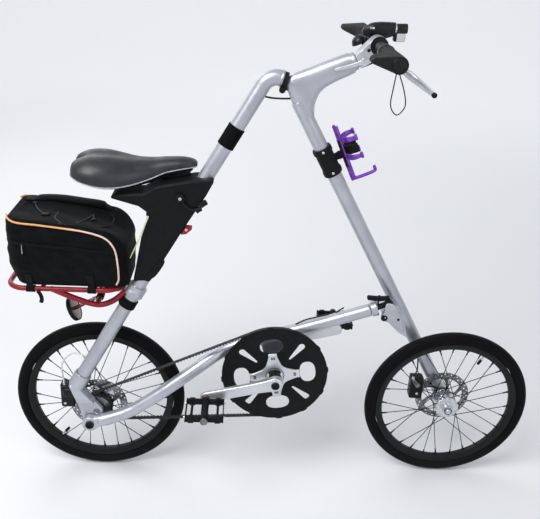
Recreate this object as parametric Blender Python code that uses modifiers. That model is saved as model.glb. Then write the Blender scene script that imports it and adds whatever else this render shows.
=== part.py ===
"""Folding bike with a triangular frame, 18-inch wheels and a toothed belt drive.

Metres, +Z up, +X forward, +Y to the rider's left. The origin lies on the floor, midway
between the wheels. The rear tube stands on the right of the rear wheel and the front tube
on the left of the front wheel. They meet at the apex, and the bottom tube closes the
triangle from the rear pivot to the ball latch on the front tube.
"""
import math

import bmesh
import bpy
from mathutils import Matrix, Vector

# Wheels
WHEELBASE = 0.881
TYRE_OUTER_R = 0.2095
TYRE_SECTION_R = 0.016
RIM_OUTER_R = TYRE_OUTER_R - 1.75 * TYRE_SECTION_R
RIM_DEPTH = 0.0170
RIM_INNER_R = RIM_OUTER_R - RIM_DEPTH
AXLE_Z = TYRE_OUTER_R
RIM_HALF_WIDTH = 0.0105
RIM_INNER_HALF_WIDTH = 0.0060
AXLE_R = 0.006
HUB_END = 0.034
HUB_FLANGE_Y = 0.019
HUB_FLANGE_R = 0.026
HUB_FLANGE_THICK = 0.003
HUB_BODY_R = 0.0135
HUB_END_R = 0.0125
SPOKE_R = 0.0011
SPOKE_PAIRS = 7
SPOKE_CIRCLE_R = 0.0215
SPOKE_CROSS_DEG = 62.0
ROTOR_R = 0.070
ROTOR_THICK = 0.0018
ROTOR_HOLES = 6
ROTOR_HOLE_R = 0.0165
ROTOR_HOLE_CIRCLE_R = 0.040
AXLE_CAP_R = 0.0100
AXLE_CAP_THICK = 0.0045
WHEEL_STEPS = 44

# Frame tubes
TUBE_R = 0.0170
FOOT_TOP = Vector((-0.4805, -0.0640, AXLE_Z + 0.0815))
REAR_TUBE_DEG = 59.9
REAR_TUBE_TOP_Z = AXLE_Z + 0.7965
CROOK_R = 0.034
CROOK_END_DEG = -20.0
SLEEVE_Z = AXLE_Z + 0.6855
SLEEVE_LENGTH = 0.050
SLEEVE_WALL = 0.0020
FRONT_TUBE_TOP = Vector((0.0100, 0.0000, AXLE_Z + 0.7665))
FRONT_TUBE_OFFSET = 0.0600
FRONT_BOSS_R = 0.0200
FRONT_BOSS_HALF = 0.0130
STEER_TOP = Vector((0.0070, 0.0, AXLE_Z + 0.7995))
STEER_BALL = Vector((0.2600, 0.0, AXLE_Z + 0.2865))
CORE_R = 0.0155
CORE_RISE = 0.0185
CORE_DROP = 0.0440
STEM_END = Vector((0.1260, 0.0, AXLE_Z + 0.8555))
STEM_ROOT_R = 0.0230
STEM_END_R = 0.0195
GUSSET_HALF = 0.0120
GUSSET_ARC_R = 0.0480
BEARING_R = 0.0090
BEARING_HALF = 0.0110
BEARING_ARM_HALF = 0.0050
ARM_HEIGHT = 0.0120
STEER_SLOT_DEG = 32.0

# Fold hinge at the apex
FOLD_PIN_AHEAD = 0.0078
FOLD_PIN_BELOW = 0.0205
FOLD_AXIS_LEAN = 0.0855
FOLD_PIN_R = 0.0030
KNUCKLE_R = 0.0170
KNUCKLE_THICK = 0.0050
EAR_R = 0.0072
EAR_HALF = 0.0060
CHEEK_THICK = 0.0050
PLUG_DEPTH = 0.0030

# Rear foot, pivot and bottom tube
FOOT_INNER_Y = -0.0570
FOOT_PLATE_THICK = 0.0130
FOOT_BOX_THICK = 0.0270
FOOT_COLLAR_R = 0.0210
FOOT_COLLAR_LENGTH = 0.0260
PIVOT = Vector((-0.4550, 0.0, AXLE_Z - 0.0255))
PIVOT_EYE_R = 0.0200
PIVOT_EYE_THICK = 0.0200
PIVOT_BOLT_R = 0.0050
PIVOT_HEAD_R = 0.0105
PIVOT_HEAD_THICK = 0.0050
BOTTOM_TUBE_R = 0.0160
# X, Y and height above the axles
BOTTOM_PATH = (
    (-0.3950, -0.0800, -0.0065),
    (-0.3470, -0.0760, 0.0145),
    (-0.2710, -0.0680, 0.0675),
    (-0.1890, -0.0480, 0.1255),
    (-0.1300, -0.0190, 0.1560),
    (-0.0600, -0.0100, 0.1805),
    (0.0200, -0.0060, 0.2025),
    (0.1070, -0.0060, 0.2315),
    (0.2180, -0.0060, 0.2715),
)
COLLAR_R = 0.0185
COLLAR_LENGTH = 0.0300
BALL_R = 0.0110
BALL_NECK_R = 0.0070
LATCH_EYE_R = 0.0050
LATCH_PIN_R = 0.0020
LATCH_WIDTH = 0.0100
LATCH_LUG_Y = -0.0010
LATCH_LUG_THICK = 0.0050

# Crank and belt
BB = Vector((-0.0085, 0.0, AXLE_Z + 0.1115))
SHELL_R = 0.0210
SHELL_HALF = 0.0320
SPINDLE_R = 0.0085
BELT_Y = -0.0480
BELT_WIDTH = 0.0110
BELT_THICK = 0.0030
BELT_WHEEL_R = 0.1222
SPROCKET_R = 0.0357
SPROCKET_THICK = 0.0130
GUARD_R = 0.1310
GUARD_THICK = 0.0030
RIM_BAND = 0.0100
WHEEL_BORE_R = 0.0150
OPENING_HALF_AROUND = 0.0285
OPENING_HALF_OUT = 0.0200
OPENING_CIRCLE_R = 0.0800
SLOT_INNER_R = 0.0580
SLOT_OUTER_R = 0.1020
SLOT_HALF_INNER = 0.0030
SLOT_HALF_OUTER = 0.0075
OPENING_TILT_DEG = 8.0
SPIDER_THICK = 0.0050
SPIDER_REACH = 0.0520
SPIDER_HUB_R = 0.0240
SPIDER_TIP_HALF = 0.0100
CRANK_LENGTH = 0.1690
CRANK_DEG = 194.1
CRANK_THICK = 0.0120
CRANK_BOSS_R = 0.0170
CRANK_TIP_R = 0.0125
RIGHT_CRANK_OUTER = 0.1050
LEFT_CRANK_OUTER = 0.1050
CRANK_CAP_R = 0.0100
CRANK_CAP_THICK = 0.0040
PEDAL_AXLE_R = 0.0050
PEDAL_AXLE_LENGTH = 0.0860
PEDAL_GAP = 0.0060
PEDAL_WIDTH = 0.0800
PEDAL_LENGTH = 0.0960
PEDAL_THICK = 0.0220
PEDAL_BARREL_R = 0.0110
PEDAL_CAGE_BAR = 0.0070

# Cockpit
BAR = Vector((0.1680, 0.0, AXLE_Z + 0.8885))
BAR_R = 0.0110
BAR_HALF_SPAN = 0.2400
BAR_CLAMP_HALF = 0.0190
BAR_CLAMP_R = 0.0190
BAR_FLANGE_R = 0.0155
BAR_FLANGE_THICK = 0.0050
BAR_PIVOT_DROP = 0.0170
GRIP_LENGTH = 0.1350
GRIP_R = 0.0165
GRIP_TAIL = 0.0470
GRIP_TAIL_R = 0.0065
GRIP_CAP = 0.0040
LANYARD_INSET = 0.0100
GRIP_INNER = BAR_HALF_SPAN + GRIP_CAP - GRIP_LENGTH
BRAKE_MOUNT_Y = GRIP_INNER - 0.0210
BRAKE_MOUNT_WIDTH = 0.0160
BRAKE_MOUNT_R = 0.0150
BRAKE_PIVOT = BAR + Vector((0.0220, 0.0, -0.0220))
BRAKE_LEVER_HALF = 0.0040
BRAKE_TIP_R = 0.0055
LAMP_Y = BAR_CLAMP_HALF + 0.4203 * (BRAKE_MOUNT_Y - BAR_CLAMP_HALF)
LAMP_LENGTH = 0.0960
LAMP_R = 0.0125
LAMP_HEAD_R = 0.0110
BELL_Y = BAR_CLAMP_HALF + 0.6667 * (BRAKE_MOUNT_Y - BAR_CLAMP_HALF)
BELL_R = 0.0165
BELL_HEIGHT = 0.0150

# Accessories
APEX_CABLE_END = (-0.0010, 0.0, AXLE_Z + 0.7705)
CAGE_CLAMP_MID_Z = AXLE_Z + 0.6345
CAGE_CLAMP_LENGTH = 0.0680
CAGE_CLAMP_WALL = 0.0040
CAGE_Y = 0.0450
CAGE_RAIL_TOP = Vector((0.0960, CAGE_Y, AXLE_Z + 0.7025))
CAGE_RAIL_LOW = Vector((0.1500, CAGE_Y, AXLE_Z + 0.5825))
CAGE_WIRE_R = 0.0040
CAGE_BAND_R = 0.0300
CAGE_BAND_DEG = 100.0
CAGE_ARM_REACH = 0.0560
RACK_TUBE_R = 0.0060
RACK_Z = AXLE_Z + 0.3305
RACK_REAR_X = -0.6280
RACK_FRONT_X = -0.3900
RACK_HALF = 0.0640
RACK_CLAMP_Z = RACK_Z - 0.0070
RACK_CLAMP_R = 0.0230
RACK_CLAMP_LENGTH = 0.0260
RACK_CORNER_R = 0.0400
RACK_CROSS_IN = 0.0800
RACK_STRUT_X = -0.5250
RACK_BEND_X = -0.4750
RACK_RISE_X = -0.3950
RACK_DROP_X = -0.4300
RACK_DROP = 0.0470
RACK_DROP_Z = RACK_Z - RACK_DROP
BAG_LENGTH = 0.2640
BAG_WIDTH = 0.1700
BAG_HEIGHT = 0.1560
BAG_REAR_X = -0.6270
REFLECTOR_R = 0.0300
REFLECTOR_THICK = 0.0100
REFLECTOR_CENTRE = Vector((-0.4950, 0.0, AXLE_Z + TYRE_OUTER_R + 0.0270))
REFLECTOR_TILT_DEG = 24.8

# Saddle and its sliding bracket
SADDLE_BASE_THICK = 0.0100
SADDLE_BLOCK_RIGHT_Y = -0.0200
SADDLE_BLOCK_LEFT_Y = 0.0060
SADDLE_BLOCK_HIGH = 0.0080
# X, half width, and heights of the top and underside above the axles
SADDLE_STATIONS = (
    (-0.4780, 0.0260, 0.6185, 0.6085),
    (-0.4680, 0.0560, 0.6345, 0.6025),
    (-0.4400, 0.0730, 0.6455, 0.5905),
    (-0.4050, 0.0760, 0.6475, 0.5785),
    (-0.3700, 0.0640, 0.6405, 0.5745),
    (-0.3350, 0.0460, 0.6335, 0.5785),
    (-0.3000, 0.0330, 0.6325, 0.5885),
    (-0.2700, 0.0270, 0.6355, 0.6025),
    (-0.2350, 0.0230, 0.6365, 0.6105),
    (-0.2120, 0.0190, 0.6325, 0.6155),
    (-0.2020, 0.0100, 0.6245, 0.6185),
)
BRACKET_RIGHT_Y = -0.0580
BRACKET_LEFT_Y = 0.0080
# X and height above the axles
BRACKET_OUTLINE = (
    (-0.3890, 0.5505),
    (-0.3260, 0.5335),
    (-0.3040, 0.5165),
    (-0.3080, 0.5005),
    (-0.3230, 0.4605),
    (-0.3440, 0.3505),
    (-0.3060, 0.3505),
    (-0.2230, 0.4935),
    (-0.1800, 0.5635),
    (-0.1620, 0.5985),
    (-0.2060, 0.5985),
    (-0.2810, 0.5835),
    (-0.3180, 0.5645),
    (-0.3800, 0.5605),
)
RED_CLIP_Y = -0.0465
KNOB_CENTRE = Vector((-0.2360, 0.0, AXLE_Z + 0.5585))
KNOB_R = 0.0110
KNOB_THICK = 0.0080

# Clearances
SEAT_GAP = 0.0003
RUN_GAP = 0.0005
SLIDE_GAP = 0.0006
SLOT_GAP = 0.0012

COLOURS = {
    "silver paint": ((0.78, 0.79, 0.83), 0.35, 0.4),
    "polished alloy": ((0.80, 0.80, 0.81), 0.25, 1.0),
    "black alloy": ((0.02, 0.02, 0.022), 0.45, 0.6),
    "black plastic": ((0.015, 0.015, 0.017), 0.5, 0.0),
    "tyre rubber": ((0.018, 0.018, 0.018), 0.85, 0.0),
    "steel": ((0.55, 0.55, 0.56), 0.35, 1.0),
    "red paint": ((0.45, 0.02, 0.03), 0.35, 0.2),
    "purple anodised": ((0.22, 0.05, 0.45), 0.35, 0.8),
    "grey rubber": ((0.10, 0.10, 0.105), 0.8, 0.0),
    "black fabric": ((0.012, 0.012, 0.014), 0.95, 0.0),
    "black leather": ((0.014, 0.014, 0.014), 0.45, 0.0),
    "white cable": ((0.8, 0.8, 0.8), 0.5, 0.0),
    "reflector grey": ((0.20, 0.17, 0.15), 0.4, 0.0),
}

BOTTOM_POINTS = [Vector((x, y, AXLE_Z + height)) for x, y, height in BOTTOM_PATH]
BRACKET_POINTS = [(x, AXLE_Z + height) for x, height in BRACKET_OUTLINE]
UP = Vector((0.0, 0.0, 1.0))
LEFT = Vector((0.0, 1.0, 0.0))
REAR_HUB = Vector((-WHEELBASE / 2, 0.0, TYRE_OUTER_R))
FRONT_HUB = Vector((WHEELBASE / 2, 0.0, TYRE_OUTER_R))
STEER_DIR = (STEER_BALL - STEER_TOP).normalized()
BELT_OUTER_Y = BELT_Y - BELT_WIDTH / 2
BELT_INNER_Y = BELT_Y + BELT_WIDTH / 2
GUARD_INNER_Y = BELT_OUTER_Y - 2 * RUN_GAP
GUARD_OUTER_Y = GUARD_INNER_Y - GUARD_THICK
SPIDER_INNER_Y = GUARD_OUTER_Y - SEAT_GAP
SPIDER_OUTER_Y = SPIDER_INNER_Y - SPIDER_THICK
FOOT_OUTER_Y = FOOT_INNER_Y - FOOT_PLATE_THICK
EYE_INNER_Y = FOOT_OUTER_Y - RUN_GAP
EYE_OUTER_Y = EYE_INNER_Y - PIVOT_EYE_THICK


def start_scene():
    """Remove what the scene holds and make the two collections."""
    for old in list(bpy.data.objects):
        bpy.data.objects.remove(old, do_unlink=True)
    parts = bpy.data.collections.new("folding_bike")
    cutters = bpy.data.collections.new("cutters")
    bpy.context.scene.collection.children.link(parts)
    bpy.context.scene.collection.children.link(cutters)
    return parts, cutters


PARTS, CUTTERS = start_scene()


def material(name):
    """The named Principled material, made once."""
    if name in bpy.data.materials:
        return bpy.data.materials[name]
    colour, roughness, metallic = COLOURS[name]
    made = bpy.data.materials.new(name)
    made.use_nodes = True
    shader = made.node_tree.nodes["Principled BSDF"]
    shader.inputs["Base Color"].default_value = (*colour, 1.0)
    shader.inputs["Roughness"].default_value = roughness
    shader.inputs["Metallic"].default_value = metallic
    return made


def turn_to(direction):
    """The rotation that turns local +Z to a direction."""
    return Vector(direction).to_track_quat("Z", "Y").to_matrix().to_4x4()


def add_mesh(name, mesh, matrix):
    made = bpy.data.objects.new(name, mesh)
    PARTS.objects.link(made)
    made.matrix_world = matrix
    return made


def from_bmesh(name, shape, matrix):
    mesh = bpy.data.meshes.new(name)
    shape.normal_update()
    shape.to_mesh(mesh)
    shape.free()
    return add_mesh(name, mesh, matrix)


def cone(name, start, end, start_r, end_r, sides=28):
    """A closed cone or cylinder from start to end."""
    start, end = Vector(start), Vector(end)
    shape = bmesh.new()
    bmesh.ops.create_cone(
        shape, cap_ends=True, segments=sides, radius1=start_r, radius2=end_r, depth=(end - start).length
    )
    return from_bmesh(name, shape, Matrix.Translation((start + end) / 2) @ turn_to(end - start))


def rod(name, start, end, radius, sides=28):
    return cone(name, start, end, radius, radius, sides)


def pin_y(name, centre, y_from, y_to, radius, sides=28):
    """A cylinder across the bike, from one Y to another."""
    return rod(name, (centre.x, y_from, centre.z), (centre.x, y_to, centre.z), radius, sides)


def box(name, low, high):
    low, high = Vector(low), Vector(high)
    shape = bmesh.new()
    bmesh.ops.create_cube(shape, size=1.0)
    bmesh.ops.scale(shape, vec=high - low, verts=shape.verts)
    return from_bmesh(name, shape, Matrix.Translation((low + high) / 2))


def ball(name, centre, radius, rings=10):
    shape = bmesh.new()
    bmesh.ops.create_uvsphere(shape, u_segments=2 * rings, v_segments=rings, radius=radius)
    return from_bmesh(name, shape, Matrix.Translation(centre))


def as_mesh(curve_object):
    """Turn a curve object into a mesh object with its caps welded."""
    bpy.context.view_layer.update()
    depsgraph = bpy.context.evaluated_depsgraph_get()
    mesh = bpy.data.meshes.new_from_object(curve_object.evaluated_get(depsgraph))
    shape = bmesh.new()
    shape.from_mesh(mesh)
    bmesh.ops.remove_doubles(shape, verts=shape.verts, dist=0.000002)
    shape.to_mesh(mesh)
    shape.free()
    name = curve_object.name
    matrix = curve_object.matrix_world.copy()
    bpy.data.objects.remove(curve_object, do_unlink=True)
    return add_mesh(name, mesh, matrix)


def tube(name, points, radius, resolution=4, cyclic=False):
    """A round bar along points, as a mesh with closed ends."""
    data = bpy.data.curves.new(name, "CURVE")
    data.dimensions = "3D"
    data.bevel_depth = radius
    data.bevel_resolution = resolution
    data.use_fill_caps = True
    spline = data.splines.new("POLY")
    spline.points.add(len(points) - 1)
    for target, point in zip(spline.points, points):
        target.co = (*point, 1.0)
    spline.use_cyclic_u = cyclic
    made = bpy.data.objects.new(name, data)
    PARTS.objects.link(made)
    return as_mesh(made)


def slab(name, outlines, y_low, y_high):
    """Flat outlines in the XZ plane, given thickness across Y. Later outlines are holes."""
    data = bpy.data.curves.new(name, "CURVE")
    data.dimensions = "2D"
    data.fill_mode = "BOTH"
    data.extrude = (y_high - y_low) / 2
    for outline in outlines:
        spline = data.splines.new("POLY")
        spline.points.add(len(outline) - 1)
        for target, (x, z) in zip(spline.points, outline):
            target.co = (x, z, 0.0, 1.0)
        spline.use_cyclic_u = True
    made = bpy.data.objects.new(name, data)
    PARTS.objects.link(made)
    made.matrix_world = Matrix.Translation((0.0, (y_low + y_high) / 2, 0.0)) @ Matrix.Rotation(math.pi / 2, 4, "X")
    return as_mesh(made)


def turned(name, centre, axis, profile, steps, closed=True):
    """A profile of (radius, height) points turned about an axis. Heights run down its outer side."""
    shape = bmesh.new()
    verts = [shape.verts.new((radius, 0.0, height)) for radius, height in profile]
    for first, second in zip(verts, verts[1:]):
        shape.edges.new((first, second))
    if closed:
        shape.edges.new((verts[-1], verts[0]))
    made = from_bmesh(name, shape, Matrix.Translation(centre) @ turn_to(axis))
    screw = made.modifiers.new("turn", "SCREW")
    screw.axis = "Z"
    screw.angle = 2 * math.pi
    screw.steps = steps
    screw.render_steps = steps
    screw.use_merge_vertices = True
    screw.merge_threshold = 0.000002
    screw.use_smooth_shade = True
    return made


def loft(name, sections):
    """A closed skin over rings of points that all have the same count."""
    shape = bmesh.new()
    rings = [[shape.verts.new(point) for point in section] for section in sections]
    count = len(rings[0])
    for here, there in zip(rings, rings[1:]):
        for i in range(count):
            j = (i + 1) % count
            shape.faces.new((here[i], here[j], there[j], there[i]))
    shape.faces.new(list(reversed(rings[0])))
    shape.faces.new(rings[-1])
    bmesh.ops.recalc_face_normals(shape, faces=shape.faces)
    return from_bmesh(name, shape, Matrix.Identity(4))


def combine(target, tools, operation):
    """Join or cut a target with helper shapes, which become cutters."""
    for tool in tools:
        PARTS.objects.unlink(tool)
        CUTTERS.objects.link(tool)
        tool.hide_render = True
        tool.display_type = "WIRE"
        tool.name = "cutter_" + tool.name
        modifier = target.modifiers.new(tool.name, "BOOLEAN")
        modifier.operation = operation
        modifier.object = tool
        modifier.solver = "EXACT"
    return target


def join(target, *tools):
    return combine(target, tools, "UNION")


def cut(target, *tools):
    return combine(target, tools, "DIFFERENCE")


def soften(target, width, segments=2):
    """Round a solid's sharp edges."""
    bevel = target.modifiers.new("soften", "BEVEL")
    bevel.width = width
    bevel.segments = segments
    bevel.limit_method = "ANGLE"
    bevel.angle_limit = math.radians(40.0)
    return target


def finish(target, colour):
    """Give a piece its material and smooth round faces."""
    target.data.materials.clear()
    target.data.materials.append(material(colour))
    target.data.shade_smooth()
    target.data.set_sharp_from_angle(angle=math.radians(35.0))
    return target


def arc(centre, radius, start_deg, end_deg, steps):
    """Points on a circle in the XZ plane."""
    points = []
    for i in range(steps + 1):
        angle = math.radians(start_deg + (end_deg - start_deg) * i / steps)
        points.append((centre[0] + radius * math.cos(angle), centre[1] + radius * math.sin(angle)))
    return points


def circle(centre, radius, steps=24):
    return arc(centre, radius, 0.0, 360.0 * (steps - 1) / steps, steps - 1)


def polar(centre, radius, angle_deg):
    """A point at a distance and an angle from a centre in the XZ plane."""
    angle = math.radians(angle_deg)
    return (centre[0] + radius * math.cos(angle), centre[1] + radius * math.sin(angle))


def hull_of_circles(first, first_r, second, second_r, steps=10):
    """The outline of a bar with round ends of two radii."""
    dx, dz = second[0] - first[0], second[1] - first[1]
    heading = math.degrees(math.atan2(dz, dx))
    lean = math.degrees(math.asin((first_r - second_r) / math.hypot(dx, dz)))
    near = arc(first, first_r, heading + 90.0 - lean, heading + 270.0 + lean, steps)
    far = arc(second, second_r, heading - 90.0 + lean, heading + 90.0 - lean, steps)
    return near + far


def smooth_path(points, samples):
    """A Catmull-Rom curve through the points."""
    points = [Vector(point) for point in points]
    padded = [2 * points[0] - points[1]] + points + [2 * points[-1] - points[-2]]
    made = []
    for a, b, c, d in zip(padded, padded[1:], padded[2:], padded[3:]):
        for i in range(samples):
            t = i / samples
            made.append(
                0.5
                * (2 * b + (c - a) * t + (2 * a - 5 * b + 4 * c - d) * t**2 + (3 * b - a - 3 * c + d) * t**3)
            )
    made.append(points[-1])
    return made


def empty(name, location):
    made = bpy.data.objects.new(name, None)
    PARTS.objects.link(made)
    made.location = location
    return made


def carry(carrier, pieces):
    """Parent pieces to a carrier without moving them."""
    bpy.context.view_layer.update()
    for piece in pieces:
        piece.parent = carrier
        piece.matrix_parent_inverse = carrier.matrix_world.inverted()


def rear_axis(z):
    """The rear tube's centre at a height on its straight stretch."""
    rise = z - FOOT_TOP.z
    share = rise / (REAR_TUBE_TOP_Z - FOOT_TOP.z)
    x = FOOT_TOP.x + rise / math.tan(math.radians(REAR_TUBE_DEG))
    return Vector((x, FOOT_TOP.y * (1.0 - share), z))


REAR_DIR = (rear_axis(REAR_TUBE_TOP_Z) - rear_axis(FOOT_TOP.z)).normalized()


def crook_points():
    """The bend at the top of the rear tube, from its straight stretch to the apex joint."""
    start = rear_axis(REAR_TUBE_TOP_Z)
    begin = math.radians(REAR_TUBE_DEG)
    centre = start + CROOK_R * Vector((math.sin(begin), 0.0, -math.cos(begin)))
    points = []
    steps = 8
    for i in range(steps + 1):
        heading = math.radians(REAR_TUBE_DEG + (CROOK_END_DEG - REAR_TUBE_DEG) * i / steps)
        points.append(centre + CROOK_R * Vector((-math.sin(heading), 0.0, math.cos(heading))))
    points.insert(-1, points[-1] - 0.0012 * CROOK_DIR)
    return points


CROOK_DIR = Vector((math.cos(math.radians(CROOK_END_DEG)), 0.0, math.sin(math.radians(CROOK_END_DEG))))
CROOK = crook_points()


def crook_point(ahead, above):
    """X and Z of a point ahead of the crook's end face and above its centre."""
    point = CROOK[-1] + CROOK_DIR * ahead + Vector((-CROOK_DIR.z, 0.0, CROOK_DIR.x)) * above
    return (point.x, point.z)


PIN_X, PIN_Z = crook_point(FOLD_PIN_AHEAD, -FOLD_PIN_BELOW)
FOLD_PIN = Vector((PIN_X, 0.0, PIN_Z))
FOLD_LEAN = (
    Matrix.Translation(FOLD_PIN) @ Matrix.Rotation(-math.atan(FOLD_AXIS_LEAN), 4, "Z") @ Matrix.Translation(-FOLD_PIN)
)


def lean(piece):
    """Turn a hinge shape from the Y axis to the fold axis, about the fold pin."""
    piece.matrix_world = FOLD_LEAN @ piece.matrix_world
    return piece


def front_axis(z):
    """The front tube's centre at a height."""
    low = FRONT_HUB + Vector((0.0, FRONT_TUBE_OFFSET, 0.0))
    share = (z - low.z) / (FRONT_TUBE_TOP.z - low.z)
    return low.lerp(FRONT_TUBE_TOP, share)


FRONT_DIR = (front_axis(FRONT_HUB.z) - FRONT_TUBE_TOP).normalized()


def section_ring(x, half_width, z_top, z_bottom, count=20):
    """An oval ring across the bike, flatter below than above."""
    middle = (z_top + z_bottom) / 2
    points = []
    for i in range(count):
        angle = 2 * math.pi * i / count
        side, lift = math.cos(angle), math.sin(angle)
        points.append(
            (
                x,
                half_width * math.copysign(abs(side) ** 0.8, side),
                middle + (z_top - middle) * math.copysign(abs(lift) ** 0.8, lift),
            )
        )
    return points


REAR_ACROSS = Vector((REAR_DIR.z, 0.0, -REAR_DIR.x)).normalized()


def make_rear_frame():
    """The rear tube, its foot, the apex hinge and the rear axle."""
    tube_piece = tube("rear_tube", [rear_axis(FOOT_TOP.z)] + CROOK, TUBE_R, resolution=5)
    finish(tube_piece, "silver paint")

    sleeve_mid = rear_axis(SLEEVE_Z)
    inner = TUBE_R + SEAT_GAP + 0.0001
    outer = inner + SLEEVE_WALL
    half = SLEEVE_LENGTH / 2
    sleeve = turned(
        "tube_sleeve", sleeve_mid, REAR_DIR, [(outer, half), (outer, -half), (inner, -half), (inner, half)], 28
    )
    finish(sleeve, "grey rubber")

    foot = make_foot()
    hinge = make_apex_hinge()
    axle = make_axle("rear_axle", REAR_HUB, FOOT_OUTER_Y + SEAT_GAP, 1.0)
    return [tube_piece, sleeve, foot, hinge, axle]


def make_foot():
    """The foot casting that joins the rear tube, the rear axle and the bottom pivot."""
    collar_end = rear_axis(FOOT_TOP.z) + REAR_DIR * FOOT_COLLAR_LENGTH
    floor = rear_axis(FOOT_TOP.z) - REAR_DIR * 0.010
    top_rear = floor - REAR_ACROSS * (FOOT_COLLAR_R - 0.003)
    top_front = floor + REAR_ACROSS * (FOOT_COLLAR_R - 0.003)
    axle_edge = 0.0150
    plate_outline = [
        (top_rear.x, top_rear.z),
        (PIVOT.x - PIVOT_EYE_R - 0.006, PIVOT.z + 0.030),
        *arc((PIVOT.x, PIVOT.z), PIVOT_EYE_R - 0.001, 190.0, 300.0, 6),
        *arc((REAR_HUB.x, REAR_HUB.z), axle_edge, -60.0, 45.0, 6),
        (top_front.x, top_front.z),
    ]
    foot = slab("rear_foot", [plate_outline], FOOT_OUTER_Y, FOOT_INNER_Y)
    box_floor = REAR_HUB.z + 0.030
    box_outline = [
        (top_rear.x, top_rear.z),
        (PIVOT.x - PIVOT_EYE_R - 0.008, box_floor),
        (REAR_HUB.x - 0.002, box_floor),
        (top_front.x, top_front.z),
    ]
    thick = slab("foot_box", [box_outline], FOOT_INNER_Y - FOOT_BOX_THICK, FOOT_INNER_Y + 0.0002)
    collar = rod("foot_collar", floor, collar_end, FOOT_COLLAR_R)
    join(foot, thick, collar)
    seat = rod("foot_seat", rear_axis(FOOT_TOP.z) - REAR_DIR * SEAT_GAP, collar_end + REAR_DIR * 0.01, TUBE_R + SEAT_GAP)
    axle_hole = pin_y("foot_axle_hole", REAR_HUB, FOOT_OUTER_Y - 0.01, FOOT_INNER_Y + 0.01, AXLE_R + SEAT_GAP)
    bolt_hole = pin_y("foot_bolt_hole", PIVOT, FOOT_OUTER_Y - 0.01, FOOT_INNER_Y + 0.01, PIVOT_BOLT_R + SEAT_GAP)
    cut(foot, seat, axle_hole, bolt_hole)
    return finish(foot, "silver paint")


def make_axle(name, hub, anchor_y, side):
    """A fixed axle from its anchor to a cap on the wheel's open side. side is the cap's Y sign."""
    end = side * (HUB_END + SEAT_GAP)
    far = side * (HUB_END + SEAT_GAP + AXLE_CAP_THICK)
    axle = pin_y(name, hub, anchor_y, far, AXLE_R, 20)
    cap = pin_y(name + "_cap", hub, end, far, AXLE_CAP_R, 20)
    join(axle, cap)
    return finish(axle, "steel")


def make_apex_hinge():
    """The plug in the crook's end with two cheeks that hold the fold pin."""
    near = CROOK[-1] + CROOK_DIR * SEAT_GAP
    plug = rod("apex_hinge", near, near + CROOK_DIR * PLUG_DEPTH, TUBE_R)
    swing = pin_y("hinge_ear_room", FOLD_PIN, -EAR_HALF - RUN_GAP, EAR_HALF + RUN_GAP, EAR_R + RUN_GAP)
    cut(plug, lean(swing))
    leg = [
        crook_point(SEAT_GAP, -FOLD_PIN_BELOW),
        crook_point(SEAT_GAP, -0.0090),
        crook_point(SEAT_GAP + PLUG_DEPTH, -0.0090),
        crook_point(FOLD_PIN_AHEAD * 0.5, -FOLD_PIN_BELOW),
    ]
    for side in (-1.0, 1.0):
        inner = side * (EAR_HALF + RUN_GAP)
        outer = side * (EAR_HALF + RUN_GAP + CHEEK_THICK)
        join(plug, lean(slab("cheek_leg", [leg], min(inner, outer), max(inner, outer))))
    far = near + CROOK_DIR * PLUG_DEPTH
    cut(plug, rod("hinge_far_face", far, far + CROOK_DIR * 0.02, 2 * TUBE_R))
    for side in (-1.0, 1.0):
        inner = side * (EAR_HALF + RUN_GAP)
        outer = side * (EAR_HALF + RUN_GAP + CHEEK_THICK)
        join(plug, lean(pin_y("cheek_eye", FOLD_PIN, inner, outer, EAR_R, 24)))
    cut(plug, rod("hinge_near_face", near - CROOK_DIR * 0.02, near, 2 * TUBE_R))
    cut(plug, lean(pin_y("apex_hinge_hole", FOLD_PIN, -0.03, 0.03, FOLD_PIN_R + SEAT_GAP, 16)))
    return finish(plug, "black alloy")


def steer_point(back, down):
    """X and Z of a point behind the steering axis and down along it from its top centre."""
    point = STEER_TOP + STEER_DIR * down + Vector((STEER_DIR.z, 0.0, -STEER_DIR.x)) * back
    return (point.x, point.z)


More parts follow.
